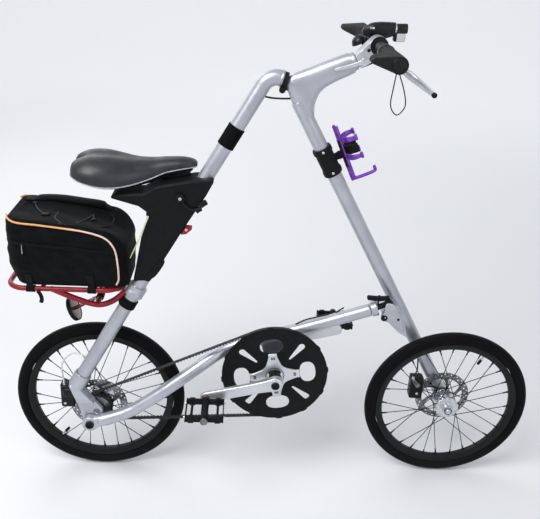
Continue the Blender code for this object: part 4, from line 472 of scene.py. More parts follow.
class Finish:
    """One material in the making. Patterns are sized in millimetres over object coordinates."""

    def __init__(self, name, colours):
        self.made = bpy.data.materials.new(name)
        self.made.use_nodes = True
        self.tree = self.made.node_tree
        self.shader = self.tree.nodes["Principled BSDF"]
        self.place = self.node("TexCoord").outputs["Object"]
        self.colours = colours

    def node(self, kind, settings=None, links=None):
        return node(self.tree, "ShaderNode" + kind, settings, links)

    def colour(self, name):
        return linear(getattr(self.colours, name))

    def start(self, colour, roughness, metallic=0.0, **sockets):
        """Uniform values on the shader's own sockets."""
        made = self.made
        made.diffuse_color, made.metallic, made.roughness = self.colour(colour), metallic, roughness
        sockets.update(base_color=self.colour(colour), roughness=roughness, metallic=metallic)
        for key, value in sockets.items():
            self.shader.inputs[key.replace("_", " ").title().replace("Ior", "IOR")].default_value = value

    def cloud(self, size_mm, detail=3.0, roughness=0.55, place=None):
        """Soft noise whose blotches are about size_mm across."""
        settings = {"Scale": 1000.0 / size_mm, "Detail": detail, "Roughness": roughness}
        return self.node("TexNoise", settings, {"Vector": place or self.place}).outputs["Fac"]

    def cells(self, size_mm, settings=None):
        """Distance within cells that are size_mm apart."""
        settings = {**(settings or {}), "Scale": 1000.0 / size_mm}
        return self.node("TexVoronoi", settings, {"Vector": self.place}).outputs["Distance"]

    def bands(self, size_mm, direction, distortion=0.0, place=None):
        """Parallel sine waves along a direction, size_mm apart."""
        scale = 1000.0 / size_mm * 0.05 * 2 * math.pi
        settings = {"wave_type": "BANDS", "bands_direction": direction, "Scale": scale, "Distortion": distortion}
        return self.node("TexWave", settings, {"Vector": place or self.place}).outputs["Fac"]

    def turned(self, angle, centre=(0, 0, 0)):
        """Object coordinates moved to a centre and turned about Y."""
        shift = self.node("VectorMath", {"operation": "SUBTRACT", 1: tuple(centre)}, {0: self.place})
        return self.node("Mapping", {"Rotation": (0.0, angle, 0.0)}, {"Vector": shift.outputs[0]}).outputs["Vector"]

    def math(self, operation, first, second):
        settings, links = {"operation": operation}, {0: first}
        (settings if isinstance(second, float) else links)[1] = second
        return self.node("Math", settings, links).outputs[0]

    def add(self, first, share, second, second_share):
        """Two factors added, each times its share."""
        return self.math("ADD", self.math("MULTIPLY", first, share), self.math("MULTIPLY", second, second_share))

    def along(self, axis, start, end, top):
        """A factor that rises from 0 to a top as a coordinate goes from start to end."""
        at = self.node("SeparateXYZ", links={0: self.place}).outputs[axis]
        settings = {"From Min": start, "From Max": end, "To Min": 0.0, "To Max": top}
        return self.node("MapRange", settings, {"Value": at}).outputs["Result"]

    def tint(self, factor, dark, light, low=0.3, high=0.7):
        """Base colour from dark to light as a factor goes from low to high."""
        ramp = self.node("ValToRGB", links={"Fac": factor})
        for stop, position, colour in zip(ramp.color_ramp.elements, (low, high), (dark, light)):
            stop.position, stop.color = position, self.colour(colour)
        self.tree.links.new(ramp.outputs["Color"], self.shader.inputs["Base Color"])

    def wear(self, factor, low, high):
        """Roughness from low to high with a factor."""
        settings = {"To Min": low, "To Max": high, "From Min": 0.3, "From Max": 0.7}
        spread = self.node("MapRange", settings, {"Value": factor})
        self.tree.links.new(spread.outputs["Result"], self.shader.inputs["Roughness"])

    def relief(self, factor, depth_mm, strength=1.0):
        """Surface height from a factor, in millimetres, after any relief that is already there."""
        links = {"Height": factor}
        normal = self.shader.inputs["Normal"]
        if normal.links:
            links["Normal"] = normal.links[0].from_socket
        made = self.node("Bump", {"Distance": depth_mm / 1000.0, "Strength": strength}, links)
        self.tree.links.new(made.outputs["Normal"], normal)

    def woven(self, thread_mm, depth_mm):
        """Crossed threads as height: waves along X, Y and Z add up, so every face shows a weave."""
        total = self.bands(thread_mm, "X")
        for direction in ("Y", "Z"):
            total = self.math("ADD", total, self.bands(thread_mm, direction))
        share = self.math("MULTIPLY", total, 1.0 / 3.0)
        self.relief(share, depth_mm)
        return share

    def metallic_paint(self):
        """Aluminium tube under silver paint: a lit and a shaded tone of the paint mixed in random blotches, fine
        flakes painted lighter as glints, and a clear coat gives the long highlights.
        """
        self.start("frame_paint", 0.32, 0.65, coat_weight=0.3, coat_roughness=0.16)
        # flakes are drawn 1.1 mm across, coarser than real ones, so that they show; their lighter colour is painted
        # glints
        painted_flake_glint = self.math("MULTIPLY", self.cells(1.1), 0.55)
        self.tint(self.add(self.cloud(60.0, 2.0), 0.7, painted_flake_glint, 0.4), "frame_paint_shade", "frame_paint", 0.2, 0.75)
        self.wear(self.cloud(14.0), 0.28, 0.42)
        self.relief(self.cloud(2.2, 2.0), 0.012)

    def forged_alloy(self):
        """Forged and ball-burnished aluminium: bright, nearly white, with faint draw lines."""
        self.start("alloy", 0.3, 0.7)
        self.tint(self.cloud(45.0), "alloy_shade", "alloy")
        lines = self.bands(1.6, "Z", 3.0, self.turned(math.radians(14.0)))
        self.wear(self.add(lines, 0.2, self.cloud(40.0), 0.8), 0.29, 0.34)
        self.relief(lines, 0.002)

    def turned_alloy(self):
        """Lathe-turned aluminium of hubs and clamps: rings of tool marks, clean and bright."""
        self.start("alloy", 0.24, 1.0)
        rings = self.bands(1.1, "Y")
        self.tint(self.cloud(10.0), "alloy_shade", "alloy")
        self.wear(rings, 0.18, 0.34)
        self.relief(rings, 0.012)

    def black_anodised(self):
        """Black anodised aluminium: a dark, slightly grey sheen with fine bead-blast grain."""
        self.start("black_alloy", 0.42, specular_ior_level=0.2)
        self.tint(self.cloud(25.0), "black_alloy_shade", "black_alloy")
        self.wear(self.cloud(6.0), 0.34, 0.5)
        self.relief(self.cloud(0.9, 1.0), 0.012)

    def black_nylon_moulding(self):
        """Glass-filled nylon, moulded black: matt with a fine spark-eroded grain and a few pale scuffs."""
        self.start("black_plastic", 0.55, specular_ior_level=0.14)
        self.tint(self.cloud(5.0, 6.0, 0.7), "black_plastic", "black_plastic_scuff", 0.52, 0.8)
        self.wear(self.cloud(30.0), 0.46, 0.64)
        self.relief(self.cloud(1.3, 1.0), 0.03)

    def slick_tyre_rubber(self):
        """Slick butyl tyre: soft black with blotches of grey dust, and greyer below 160 mm from the floor."""
        self.start("rubber", 0.66, specular_ior_level=0.07)
        dust = self.cloud(24.0, 5.0, 0.65)
        # besides the dust blotches, the colour turns greyer below 160 mm from the floor
        self.tint(self.math("ADD", dust, self.along("Z", 0.16, 0.0, 0.35)), "rubber", "rubber_dust", 0.55, 1.2)
        self.wear(dust, 0.56, 0.78)
        self.relief(self.cloud(1.6, 2.0), 0.025)

    def tread_rubber(self):
        """The worn band of the tread: greyer and smoother than the sidewall, with short cuts across."""
        self.start("tread", 0.56, specular_ior_level=0.10)
        self.tint(self.cloud(8.0, 5.0), "rubber", "tread", 0.3, 0.75)
        self.wear(self.cloud(12.0), 0.46, 0.66)
        self.relief(self.bands(5.5, "DIAGONAL"), 0.05, 0.5)

    def belt_rubber(self):
        """Moulded polyurethane belt: even satin black."""
        self.start("rubber", 0.5, specular_ior_level=0.12)
        self.tint(self.cloud(4.0), "rubber", "black_plastic_scuff", 0.5, 0.95)
        self.wear(self.cloud(7.0), 0.42, 0.6)
        self.relief(self.bands(1.2, "Y"), 0.02)

    def brushed_steel(self):
        """Stainless brake rotor, ground flat: bright grey with fine grinding marks drawn out along Y."""
        self.start("steel", 0.28, 1.0)
        drawn = self.node("Mapping", {"Scale": (1.0, 0.1, 3.0)}, {"Vector": self.place}).outputs["Vector"]
        marks = self.cloud(1.5, 3.0, place=drawn)
        self.tint(self.cloud(12.0), "steel_shade", "steel")
        self.wear(marks, 0.2, 0.4)
        self.relief(marks, 0.008)

    def spoke_steel(self):
        """Blackened stainless spoke wire: thin, dark, with a soft line of light."""
        self.start("spoke", 0.36, 0.7)
        self.tint(self.cloud(20.0), "rubber", "spoke")
        self.wear(self.cloud(6.0), 0.3, 0.46)

    def nickel_brass(self):
        """Nickel-plated brass nipples, bolts and screws: bright and smooth, duller in places."""
        self.start("nickel", 0.22, 1.0)
        self.tint(self.cloud(3.0), "steel_shade", "nickel", 0.2, 0.6)
        self.wear(self.cloud(2.0), 0.14, 0.34)

    def saddle_vinyl(self):
        """Embossed vinyl over foam: small round pebbles, a satin skin and slow changes in gloss."""
        self.start("saddle", 0.34, specular_ior_level=0.55)
        self.tint(self.cloud(30.0), "rubber", "saddle")
        self.wear(self.cloud(16.0, 4.0), 0.3, 0.5)
        # pebbles are drawn 2.6 mm across, twice the real ones, so that they show
        self.relief(self.cells(2.6, {"feature": "SMOOTH_F1", "Smoothness": 0.6}), 0.1, 0.7)
        self.relief(self.cloud(22.0, 2.0), 0.35, 0.6)

    def trim_vinyl(self):
        """The pale grey welt round the saddle's edge."""
        self.start("trim", 0.45)
        self.tint(self.cloud(9.0), "trim_shade", "trim")
        self.relief(self.cloud(1.5), 0.05)

    def pack_nylon(self):
        """Woven 600-denier nylon with a matt back coating: threads drawn 1.6 mm apart so that they show, their crowns
        painted lighter as sheen.
        """
        self.start("bag", 0.78, specular_ior_level=0.05, sheen_weight=0.03, sheen_roughness=0.5)
        # the weave paints sheen on the thread crowns; the broad cloud is random wear
        worn = self.add(self.woven(1.6, 0.12), 0.4, self.cloud(35.0, 4.0), 0.6)
        self.tint(worn, "bag", "bag_worn_and_sheen", 0.35, 0.85)
        self.relief(self.cloud(28.0, 3.0), 1.2, 0.5)

    def webbing(self):
        """Flat nylon webbing and zip tape: a tight rib every 1.5 mm, painted lighter on its crowns as sheen and darker
        in its hollows as shade.
        """
        self.start("bag", 0.7, specular_ior_level=0.08, sheen_weight=0.04)
        self.tint(self.woven(1.5, 0.15), "bag", "bag_worn_and_sheen", 0.3, 1.0)

    def piping_cord(self):
        """The bag's piping: orange at the rear and pale cream pink at the front, a fine twill over a cord."""
        self.start("piping_pale", 0.6, sheen_weight=0.2)
        wander = self.math("MULTIPLY", self.cloud(40.0, 2.0), 0.5)
        share = self.math("ADD", self.along("X", -0.63, -0.36, 1.0), wander)
        self.tint(share, "piping", "piping_pale", 0.75, 1.15)
        self.relief(self.bands(1.4, "DIAGONAL"), 0.1, 0.7)

    def powder_coat(self):
        """Red powder coat on steel tube: a deep gloss with a faint orange peel."""
        self.start("rack", 0.36, specular_ior_level=0.3, coat_weight=0.12, coat_roughness=0.15)
        self.tint(self.cloud(30.0), "rack_shade", "rack")
        self.wear(self.cloud(8.0), 0.26, 0.42)
        self.relief(self.cloud(2.4, 1.0), 0.03)

    def purple_anodising(self):
        """Purple anodised aluminium wire: metal glints through the dye."""
        self.start("cage", 0.3, 0.6)
        self.tint(self.cloud(12.0), "cage_shade", "cage")
        self.wear(self.cloud(5.0), 0.22, 0.4)
        self.relief(self.cloud(1.2), 0.01)

    def grip_rubber(self):
        """Soft moulded grip rubber, warm dark grey: two crossed sets of waves make rows of small diamonds."""
        self.start("grip", 0.62, specular_ior_level=0.16)
        rows = self.math("MULTIPLY", self.bands(4.2, "Y"), self.bands(4.2, "X", place=self.turned(0.8, BAR)))
        self.tint(self.cloud(14.0, 4.0), "grip_shade", "grip")
        self.wear(self.cloud(9.0), 0.56, 0.76)
        self.relief(rows, 0.25, 0.7)

    def sleeve_rubber(self):
        """Foam rubber on the rear tube: dead matt with fine pores, painted darker inside as shade."""
        self.start("rubber", 0.85, specular_ior_level=0.06)
        pores = self.cells(1.8)
        # painted shade: the colour is darker in the pits of the pores
        self.tint(pores, "rubber", "black_plastic_scuff", 0.4, 1.2)
        self.relief(pores, 0.12, 0.6)

    def prism_plastic(self):
        """Acrylic reflector: even prisms 3 mm apart under a glossy face, painted brown grey as the shade of a face
        that no lamp lights, and darker still in the grooves at the prism edges as painted shade.
        """
        self.start("reflector", 0.2, 0.1, coat_weight=0.6, coat_roughness=0.05)
        prism = self.cells(3.0, {"feature": "DISTANCE_TO_EDGE", "Randomness": 0.0})
        # painted shade: darker in the grooves along the prism edges
        self.tint(prism, "reflector_shade", "reflector", 0.0, 0.35)
        self.relief(prism, 0.5, 0.8)

    def clear_lens(self):
        """Clear polycarbonate lamp lens: a pale smooth window with moulded ribs."""
        self.start("lens", 0.06, ior=1.58, transmission_weight=0.55)
        self.relief(self.bands(3.0, "Y"), 0.4, 0.6)
        self.wear(self.cloud(10.0), 0.03, 0.12)

    def glossy_abs(self):
        """Injection-moulded ABS of lamp, bell and caps: black with a soft gloss."""
        self.start("black_plastic", 0.26, specular_ior_level=0.3)
        self.tint(self.cloud(20.0), "black_plastic", "black_alloy")
        self.wear(self.cloud(9.0), 0.2, 0.38)
        self.relief(self.cloud(3.0, 1.0), 0.015)

    def white_housing(self):
        """White PVC brake housing over wound steel: soft gloss, faint rings."""
        self.start("white_cable", 0.4)
        self.tint(self.cloud(12.0), "trim", "white_cable")
        self.relief(self.bands(2.0, "X"), 0.03, 0.5)

    def yellow_strip(self):
        """The pale yellow cord beside the saddle bracket, with a faint rib."""
        self.start("strip", 0.35, sheen_weight=0.2)
        self.tint(self.cloud(7.0), "strip_shade", "strip")
        self.relief(self.bands(2.0, "Z"), 0.08, 0.6)

    def braided_cord(self):
        """The wrist loop's braided polyester: strands cross every 2 mm, painted lighter on their crowns as sheen and
        darker between them as shade.
        """
        self.start("bag", 0.7, specular_ior_level=0.08, sheen_weight=0.04)
        self.tint(self.woven(2.0, 0.2), "bag", "bag_worn_and_sheen", 0.3, 1.0)

    def elastic_cord(self):
        """The grey elastic cord on the bag's lid: a fine woven sleeve, dull and lighter than the nylon, painted darker
        between its threads as shade and lighter on their crowns as sheen.
        """
        self.start("elastic", 0.7, specular_ior_level=0.1)
        self.tint(self.woven(1.6, 0.2), "elastic_shade", "elastic", 0.3, 1.0)

    def painted_floor(self):
        """Plain painted floor: even and pale in colour; an emission that rises towards the back is painted light, and
        the floor keeps the bike's shadow.
        """
        self.start("floor", 0.6, emission_color=self.colour("floor"))
        # painted light: an emission that makes the floor and backdrop glow more the farther back they are
        self.tree.links.new(self.along("Y", 0.6, 4.2, 0.32), self.shader.inputs["Emission Strength"])
        self.tint(self.cloud(400.0, 2.0), "floor", "floor")
        self.wear(self.cloud(150.0), 0.55, 0.65)


def material(name):
    """The named finish, made once from the colours that the panel holds."""
    if name not in bpy.data.materials:
        finish = Finish(name, bpy.context.scene.bike_colours)
        getattr(finish, name)()
    return bpy.data.materials[name]


# ---------------------------------------------------------------- what the panel holds


def colour_value(name, default, description):
    return bpy.props.StringProperty(
        name=name, default=default, description=description + ", as an sRGB hex value", maxlen=7
    )


def number_value(name, description, default, low, high, unit="LENGTH", precision=4):
    return bpy.props.FloatProperty(
        name=name, description=description, default=default, min=low, max=high, unit=unit, precision=precision
    )


class BikeColours(bpy.types.PropertyGroup):
    """Every colour of the finishes, as sRGB hex values."""

    # frame_paint and frame_paint_shade are a lit and a shaded tone of one paint: painted light and painted shade, with
    # painted glints on the flakes
    frame_paint: colour_value("Frame paint", "#BFC1C9", "Silver metallic paint where light falls on it")
    frame_paint_shade: colour_value("Frame paint, shaded", "#A6A8B1", "Silver metallic paint between its flakes")
    alloy: colour_value("Alloy", "#D2D4D8", "Polished aluminium")
    alloy_shade: colour_value("Alloy, dull", "#C8CACF", "Polished aluminium where it is dull")
    black_alloy: colour_value("Black alloy", "#131417", "Black anodised aluminium")
    black_alloy_shade: colour_value(
        "Black alloy, deep", "#0A0B0D", "Black anodised aluminium in its darkest blotches"
    )
    black_plastic: colour_value("Black plastic", "#0E0F11", "Moulded black nylon and ABS")
    black_plastic_scuff: colour_value("Black plastic, scuffed", "#1E1F22", "Scuffs on moulded black plastic")
    rubber: colour_value("Rubber", "#0B0B0D", "Tyre and belt rubber")
    rubber_dust: colour_value("Rubber dust", "#1C1C1D", "Dust on the tyres")
    tread: colour_value("Tread", "#131416", "The worn band of the tread")
    spoke: colour_value("Spokes", "#121316", "Blackened spoke wire")
    steel: colour_value("Steel", "#8A8B8E", "Ground stainless steel")
    steel_shade: colour_value("Steel, dull", "#66676A", "Ground stainless steel where it is dull")
    nickel: colour_value("Nickel", "#DCDCDA", "Nickel plating on nipples and screws")
    saddle: colour_value("Saddle", "#24262D", "Saddle vinyl")
    trim: colour_value("Trim", "#B8BBC2", "The welt round the saddle")
    trim_shade: colour_value("Trim, shaded", "#8D9098", "The welt round the saddle where it is dull")
    bag: colour_value("Bag", "#090A0C", "Woven black nylon")
    # the lighter nylon colour is random wear and also painted sheen on the crowns of woven threads
    bag_worn_and_sheen: colour_value("Bag, worn", "#17191C", "Woven black nylon where it catches light")
    piping: colour_value("Piping", "#E3A566", "The bag's piping at the rear")
    piping_pale: colour_value("Piping, pale", "#EBCDBB", "The bag's piping at the front")
    rack: colour_value("Rack", "#961220", "Red powder coat")
    rack_shade: colour_value("Rack, deep", "#740C17", "Red powder coat in its darker parts")
    cage: colour_value("Cage", "#8A4FC4", "Purple anodising")
    cage_shade: colour_value("Cage, deep", "#6A35A0", "Purple anodising in its darker parts")
    grip: colour_value("Grips", "#2F2C2C", "Grip rubber")
    grip_shade: colour_value("Grips, deep", "#201E1E", "Grip rubber in its darker parts")
    # both reflector colours are painted shade: the unlit brown grey face, and the darker grooves between the prisms
    reflector: colour_value("Reflector", "#70513F", "The rear reflector's prisms")
    reflector_shade: colour_value("Reflector, deep", "#463227", "The edges between the prisms")
    lens: colour_value("Lens", "#D9DBDA", "The lamp's lens")
    white_cable: colour_value("White housing", "#E8E8E6", "Brake housing")
    elastic: colour_value("Elastic", "#5A5C64", "The cords on the bag's lid")
    # the darker elastic colour fills the hollows of the weave and the lighter one its crowns: painted shade and
    # painted sheen
    elastic_shade: colour_value("Elastic, dull", "#3C3E45", "The cords on the bag's lid where they are dull")
    strip: colour_value("Strip", "#E6E7A0", "The yellow cord beside the saddle bracket")
    strip_shade: colour_value("Strip, dull", "#C4C678", "The yellow cord beside the saddle bracket where it is dull")
    floor: colour_value("Floor", "#F0F1F3", "The floor and backdrop")


class BikeSizes(bpy.types.PropertyGroup):
    """The few sizes of the dressing that can be changed."""

    spoke_radius: number_value("Spoke radius", "Half the thickness of a spoke", 0.0010, 0.0005, 0.0015, precision=5)
    belt_pitch: number_value("Belt pitch", "Distance from one belt tooth to the next", 0.0080, 0.005, 0.014)
    rotor_vents: bpy.props.IntProperty(
        name="Rotor vents", description="Small holes in each row round a rotor", default=24, min=8, max=36
    )
    piping_radius: number_value("Piping radius", "Half the thickness of the bag's piping", 0.0021, 0.001, 0.004)
    bag_wrinkle: number_value("Bag wrinkle", "Height of the creases in the bag's cloth", 0.0030, 0.0, 0.005)
    saddle_channel: number_value("Saddle channel", "Depth of the hollow between the rear lobes", 0.0090, 0.0, 0.015)
    key_light: number_value("Key light", "Power of the large soft lamp overhead", 78.0, 0.0, 400.0, "POWER", 2)
    fill_light: number_value("Fill light", "Power of the soft lamps at the sides", 16.0, 0.0, 400.0, "POWER", 2)
    world_light: number_value("Room light", "Strength of the even light from all round", 0.45, 0.0, 2.0, "NONE", 2)


# ---------------------------------------------------------------- stage and cord


def aim(place, target):
    """A matrix that stands at a place and looks at a target."""
    look = Vector(target) - Vector(place)
    return Matrix.Translation(place) @ look.to_track_quat("-Z", "Y").to_matrix().to_4x4()


class BIKE_OT_stage(bpy.types.Operator):
    """Camera at the photograph's view, a pale floor that curves up into a backdrop, and soft lamps"""

    bl_idname = "bike.stage"
    bl_label = "Stage"

    def execute(self, context):
        sizes = context.scene.bike_sizes
        camera = bpy.data.objects.new("photo_view", bpy.data.cameras.new("photo_view"))
        context.scene.collection.objects.link(camera)
        camera.data.sensor_fit = "HORIZONTAL"
        camera.data.sensor_width = 36.0
        camera.data.lens = VIEW_FOCAL_PX / PHOTO_WIDTH * 36.0
        camera.data.clip_start, camera.data.clip_end = 0.05, 60.0
        level = np.array([math.cos(VIEW_YAW), -math.sin(VIEW_YAW), 0.0])
        ahead = np.array([math.sin(VIEW_YAW), math.cos(VIEW_YAW), 0.0])
        forward = ahead * math.cos(VIEW_PITCH) - Z * math.sin(VIEW_PITCH)
        rise = np.cross(level, forward)
        right = level * math.cos(VIEW_ROLL) + rise * math.sin(VIEW_ROLL)
        up = -level * math.sin(VIEW_ROLL) + rise * math.cos(VIEW_ROLL)
        turn = Matrix(np.stack([right, up, -forward], 1).tolist()).to_4x4()
        camera.matrix_world = Matrix.Translation(VIEW_FROM) @ turn
        context.scene.camera = camera
        context.scene.view_settings.view_transform = "Standard"

        bend = arc((3.4, 2.2), 2.2, -90.0, 0.0, 16)
        profile = np.concatenate([[(-7.0, 0.0)], bend, [(5.6, 7.0)]])
        width = np.tile([-8.0, 0.0, 8.0], len(profile))
        verts = np.concatenate([width[:, None], np.repeat(profile, 3, axis=0)], 1)
        u, v = np.meshgrid(np.arange(len(profile) - 1), np.arange(2), indexing="ij")
        quads = np.stack([u * 3 + v, u * 3 + v + 1, u * 3 + v + 4, u * 3 + v + 3], -1).reshape(-1, 4)
        build_piece("floor_sweep", [(verts, [quads])], "painted_floor", None)

        for name, place, target, width_m, power in (
            ("key", (-1.5, -1.4, 2.9), (0.0, 0.0, 0.5), 1.9, sizes.key_light),
            ("fill", (1.9, -2.6, 1.7), (0.0, 0.0, 0.5), 2.0, sizes.fill_light),
            ("rear", (-1.6, 2.2, 2.2), (0.0, 0.0, 0.6), 1.8, sizes.fill_light),
        ):
            lamp = bpy.data.lights.new(name + "_lamp", "AREA")
            lamp.size = width_m
            lamp.energy = power
            holder = bpy.data.objects.new(name + "_lamp", lamp)
            context.scene.collection.objects.link(holder)
            holder.matrix_world = aim(place, target)
        self.room(context, sizes.world_light)
        return {"FINISHED"}

    def room(self, context, strength):
        """Even light from all round; camera, glossy and transmitted rays see the pale room itself."""
        world = bpy.data.worlds.new("room")
        world.use_nodes = True
        context.scene.world = world
        tree = world.node_tree
        tree.nodes.clear()
        seen = node(tree, "ShaderNodeLightPath").outputs
        direct = seen["Is Camera Ray"]
        for ray in ("Is Glossy Ray", "Is Transmission Ray"):
            direct = node(tree, "ShaderNodeMath", {"operation": "MAXIMUM"}, {0: direct, 1: seen[ray]}).outputs[0]
        pale = node(tree, "ShaderNodeBackground", {"Color": linear("#E4E6EA"), "Strength": 0.9})
        even = node(tree, "ShaderNodeBackground", {"Color": linear("#F2F4FA"), "Strength": strength})
        mix = node(tree, "ShaderNodeMixShader", None, {0: direct, 1: even.outputs[0], 2: pale.outputs[0]})
        node(tree, "ShaderNodeOutputWorld", None, {"Surface": mix.outputs[0]})


class BIKE_OT_wrist_loop(bpy.types.Operator):
    """The thin braided loop that hangs from the right grip: down behind, round at the bottom, and up in front"""

    bl_idname = "bike.wrist_loop"
    bl_label = "Wrist loop"

    def execute(self, context):
        # how far each point of the centreline lies ahead of the bar and below it, as in the CAD model
        points = [
            (-0.0030, 0.0168), (-0.0055, 0.0420), (-0.0075, 0.0660), (-0.0040, 0.0805), (0.0060, 0.0898),
            (0.0160, 0.0815), (0.0200, 0.0680), (0.0140, 0.0440), (0.0030, 0.0168),
        ]
        route = curve([(BAR[0] + ahead, -0.2340, BAR[2] - below) for ahead, below in points], 5)
        skins = [tube(route, 0.0011, 10, up=Y)]
        loop = build_piece("wrist_loop", skins, "braided_cord", "right_bar", ["lanyard"])
        return {"FINISHED"}


# ---------------------------------------------------------------- wheels


TYRE_STEPS = 176
TREAD_EDGE_DEG = 32.0
RIM_WELL_R = 0.1645
FLANGE_HOLES_R = 0.0256
ROTOR_Y = 0.0352


def tyre_profile():
    """(radius, side) round the tyre: a circle, a tread band .3 mm proud and moulded rings on the sidewalls."""
    size = [np.linspace(-134.9, -100, 10), np.linspace(-96, 96, 40), np.linspace(100, 134.9, 10)]
    angle = np.radians(np.concatenate(size))
    size = np.abs(np.degrees(angle))
    radius = 0.0158 - 0.0003 * np.clip((size - TREAD_EDGE_DEG) / 4.0, 0, 1)
    for at, width, height in ((62.0, 2.2, 0.00035), (104.0, 2.5, 0.00035), (120.0, 2.0, 0.0003)):
        radius = radius + height * np.exp(-(((size - at) / width) ** 2))
    return np.stack([0.1935 + np.minimum(radius, 0.01595) * np.cos(angle), radius * np.sin(angle)], -1), size


def rim_profile():
    """(radius, side) round a deep rim: flat seat, upright walls, then curves in to a narrow well."""
    side = np.array([
        (0.1815, 0.0), (0.1815, 0.0088), (0.1813, 0.0103), (0.1806, 0.0105), (0.1762, 0.0105), (0.1750, 0.0102),
        (0.1720, 0.0092), (0.1690, 0.0080), (0.1662, 0.0068), (0.1650, 0.0060), (RIM_WELL_R, 0.0050),
        (RIM_WELL_R, 0.0022),
    ])
    mirror = side[::-1] * (1.0, -1.0)
    return np.concatenate([side, mirror[:-1]])


def spoke_ends(hub):
    """Both ends of the 28 spokes: seven crossed pairs on each flange, whose rim ends lie 77 degrees on or back."""
    side, lead, i = (a.ravel() for a in np.meshgrid([-1.0, 1.0], [-1.0, 1.0], np.arange(7), indexing="ij"))
    base = 360.0 / 7 * (i + np.where(side > 0, 0.25, 0.0) + np.where(lead > 0, 0.5, 0.0))
    a, b = np.radians(base), np.radians(base + lead * 1.5 * 360.0 / 7)
    reach = RIM_WELL_R * math.cos(math.pi / 44) - 0.0006
    out = side * (0.0190 + lead * 0.0010)
    start = np.stack([FLANGE_HOLES_R * np.cos(a), out, FLANGE_HOLES_R * np.sin(a)], -1)
    end = np.stack([reach * np.cos(b), side * (0.0030 + lead * 0.0016), reach * np.sin(b)], -1)
    return hub + start, hub + end, base, side


class BIKE_OT_wheels(bpy.types.Operator):
    """Tyres, rims with nipples and valves, and hubs with their spokes"""

    bl_idname = "bike.wheels"
    bl_label = "Wheels"

    def execute(self, context):
        for name, hub, _ in WHEELS:
            body = name + "_wheel"
            self.tyre(name, hub, body)
            self.rim(name, hub, body)
            self.hub(name, hub, body, context.scene.bike_sizes.spoke_radius)
        return {"FINISHED"}

    def tyre(self, name, hub, body):
        """One closed ring of rubber; its tread band has a finish of its own."""
        profile, size = tyre_profile()
        skin = lathe(hub, Y, profile, TYRE_STEPS, ring=True)
        finishes = ["slick_tyre_rubber", "tread_rubber"]
        made = build_piece(name + "_tyre_slick", [skin], finishes, body, [name + "_tyre"], 50.0)
        low, high, last = skin[1][0].min(1) // TYRE_STEPS, skin[1][0].max(1) // TYRE_STEPS, len(profile) - 1
        row = np.where((low == 0) & (high == last), last, low)
        band = size < TREAD_EDGE_DEG - 1.0
        made.data.polygons.foreach_set("material_index", band[row].astype(np.int32))

    def rim(self, name, hub, body):
        """The rim with a nipple at every spoke, and the valve."""
        start, end, _, _ = spoke_ends(hub)
        inward = (start - end) / np.linalg.norm(start - end, axis=1)[:, None]
        skins = [
            lathe(hub, Y, rim_profile(), TYRE_STEPS, ring=True),
            rods(end - inward * 0.0010, end + inward * 0.0030, 0.0026, 10),
            rods(end + inward * 0.0028, end + inward * 0.0120, 0.0018, 8),
        ]
        turn = math.radians(61.5 if name == "front" else 230.0)
        out = np.array([math.cos(turn), 0.0, math.sin(turn)])
        base = hub + out * 0.1646
        stem = [(0.0034, -0.001), (0.0034, 0.0022), (0.0026, 0.0032), (0.0026, 0.0120)]
        cap = [(0.0032, 0), (0.0038, 0.001), (0.0038, 0.0125), (0.0030, 0.0150), (0.0018, 0.0158)]
        skins += [mark(lathe(base, -out, stem, 20), 1), lathe(base - out * 0.0118, -out, cap, 20)]
        finishes = ["black_anodised", "nickel_brass"]
        build_piece(name + "_rim_double_wall", skins, finishes, body, [name + "_rim"], 30.0)

    def hub(self, name, hub, body, spoke_radius):
        """The hub shell with its flanges, and the crossed spokes."""
        start, end, base, side = spoke_ends(hub)
        half = [
            (0.0066, -0.0340), (0.0117, -0.0340), (0.0125, -0.0333), (0.0129, -0.0280), (0.0135, -0.0262),
            (0.0135, -0.0205), (0.0135, -0.0170), (0.0122, -0.0120), (0.0112, -0.0060), (0.0110, 0.0),
        ]
        profile = half + [(r, -h) for r, h in reversed(half[:-1])]
        skins = [mark(lathe(hub, Y, profile, 44, ring=True), 1)]
        centre = (hub[0], hub[2])
        for way in (-1.0, 1.0):
            angles = base[side == way]
            turn = np.arange(112) * 360.0 / 112
            scallop = 1.0 - 0.040 * (0.5 + 0.5 * np.cos(np.radians((turn - angles[0]) * 14)))
            holes = [circle(polar(centre, FLANGE_HOLES_R, a), 0.0014, 8) for a in angles]
            outlines = [polar(centre, 0.0302 * scallop, turn), circle(centre, 0.0128, 28)] + holes
            low, high = sorted((way * 0.0204, way * 0.0218))
            collar = [(0.0133, low), (0.0172, low), (0.0166, high), (0.0139, high)]
            seal = [(0.0067, way * 0.0302), (0.0126, way * 0.0302), (0.0127, way * 0.0322), (0.0067, way * 0.0322)]
            skins += [
                mark(plate(outlines, *sorted((way * 0.0176, way * 0.0204)), 0.0005), 1),
                mark(lathe(hub, Y, collar, 44, ring=True), 1),
                mark(lathe(hub, Y, seal, 44, ring=True), 2),
            ]
        skins.append(rods(start, end, spoke_radius, 8))
        across = np.sign(start[:, 1] - hub[1])[:, None] * Y
        skins.append(mark(rods(start - across * 0.0016, start + across * 0.0012, 0.0019, 10), 3))
        finishes = ["spoke_steel", "turned_alloy", "black_anodised", "nickel_brass"]
        build_piece(name + "_hub_spoked", skins, finishes, body, [name + "_hub"], 30.0)


def polar_patch(centre, near, far, start, end, swirl):
    """A closed patch between two radii and two angles in degrees that swirls on its way out, with soft corners."""
    out_r, out_a = np.linspace(near, far, 6)[1:-1], np.linspace(0.0, swirl, 6)[1:-1]
    inset = (far - near) * 0.02
    return np.concatenate([
        polar(centre, out_r, start + out_a),
        polar(centre, far - inset, np.linspace(start + 2.0, end - 2.0, 6) + swirl),
        polar(centre, out_r[::-1], end + out_a[::-1]),
        polar(centre, near + inset, np.linspace(end - 3.0, start + 3.0, 6)),
    ])


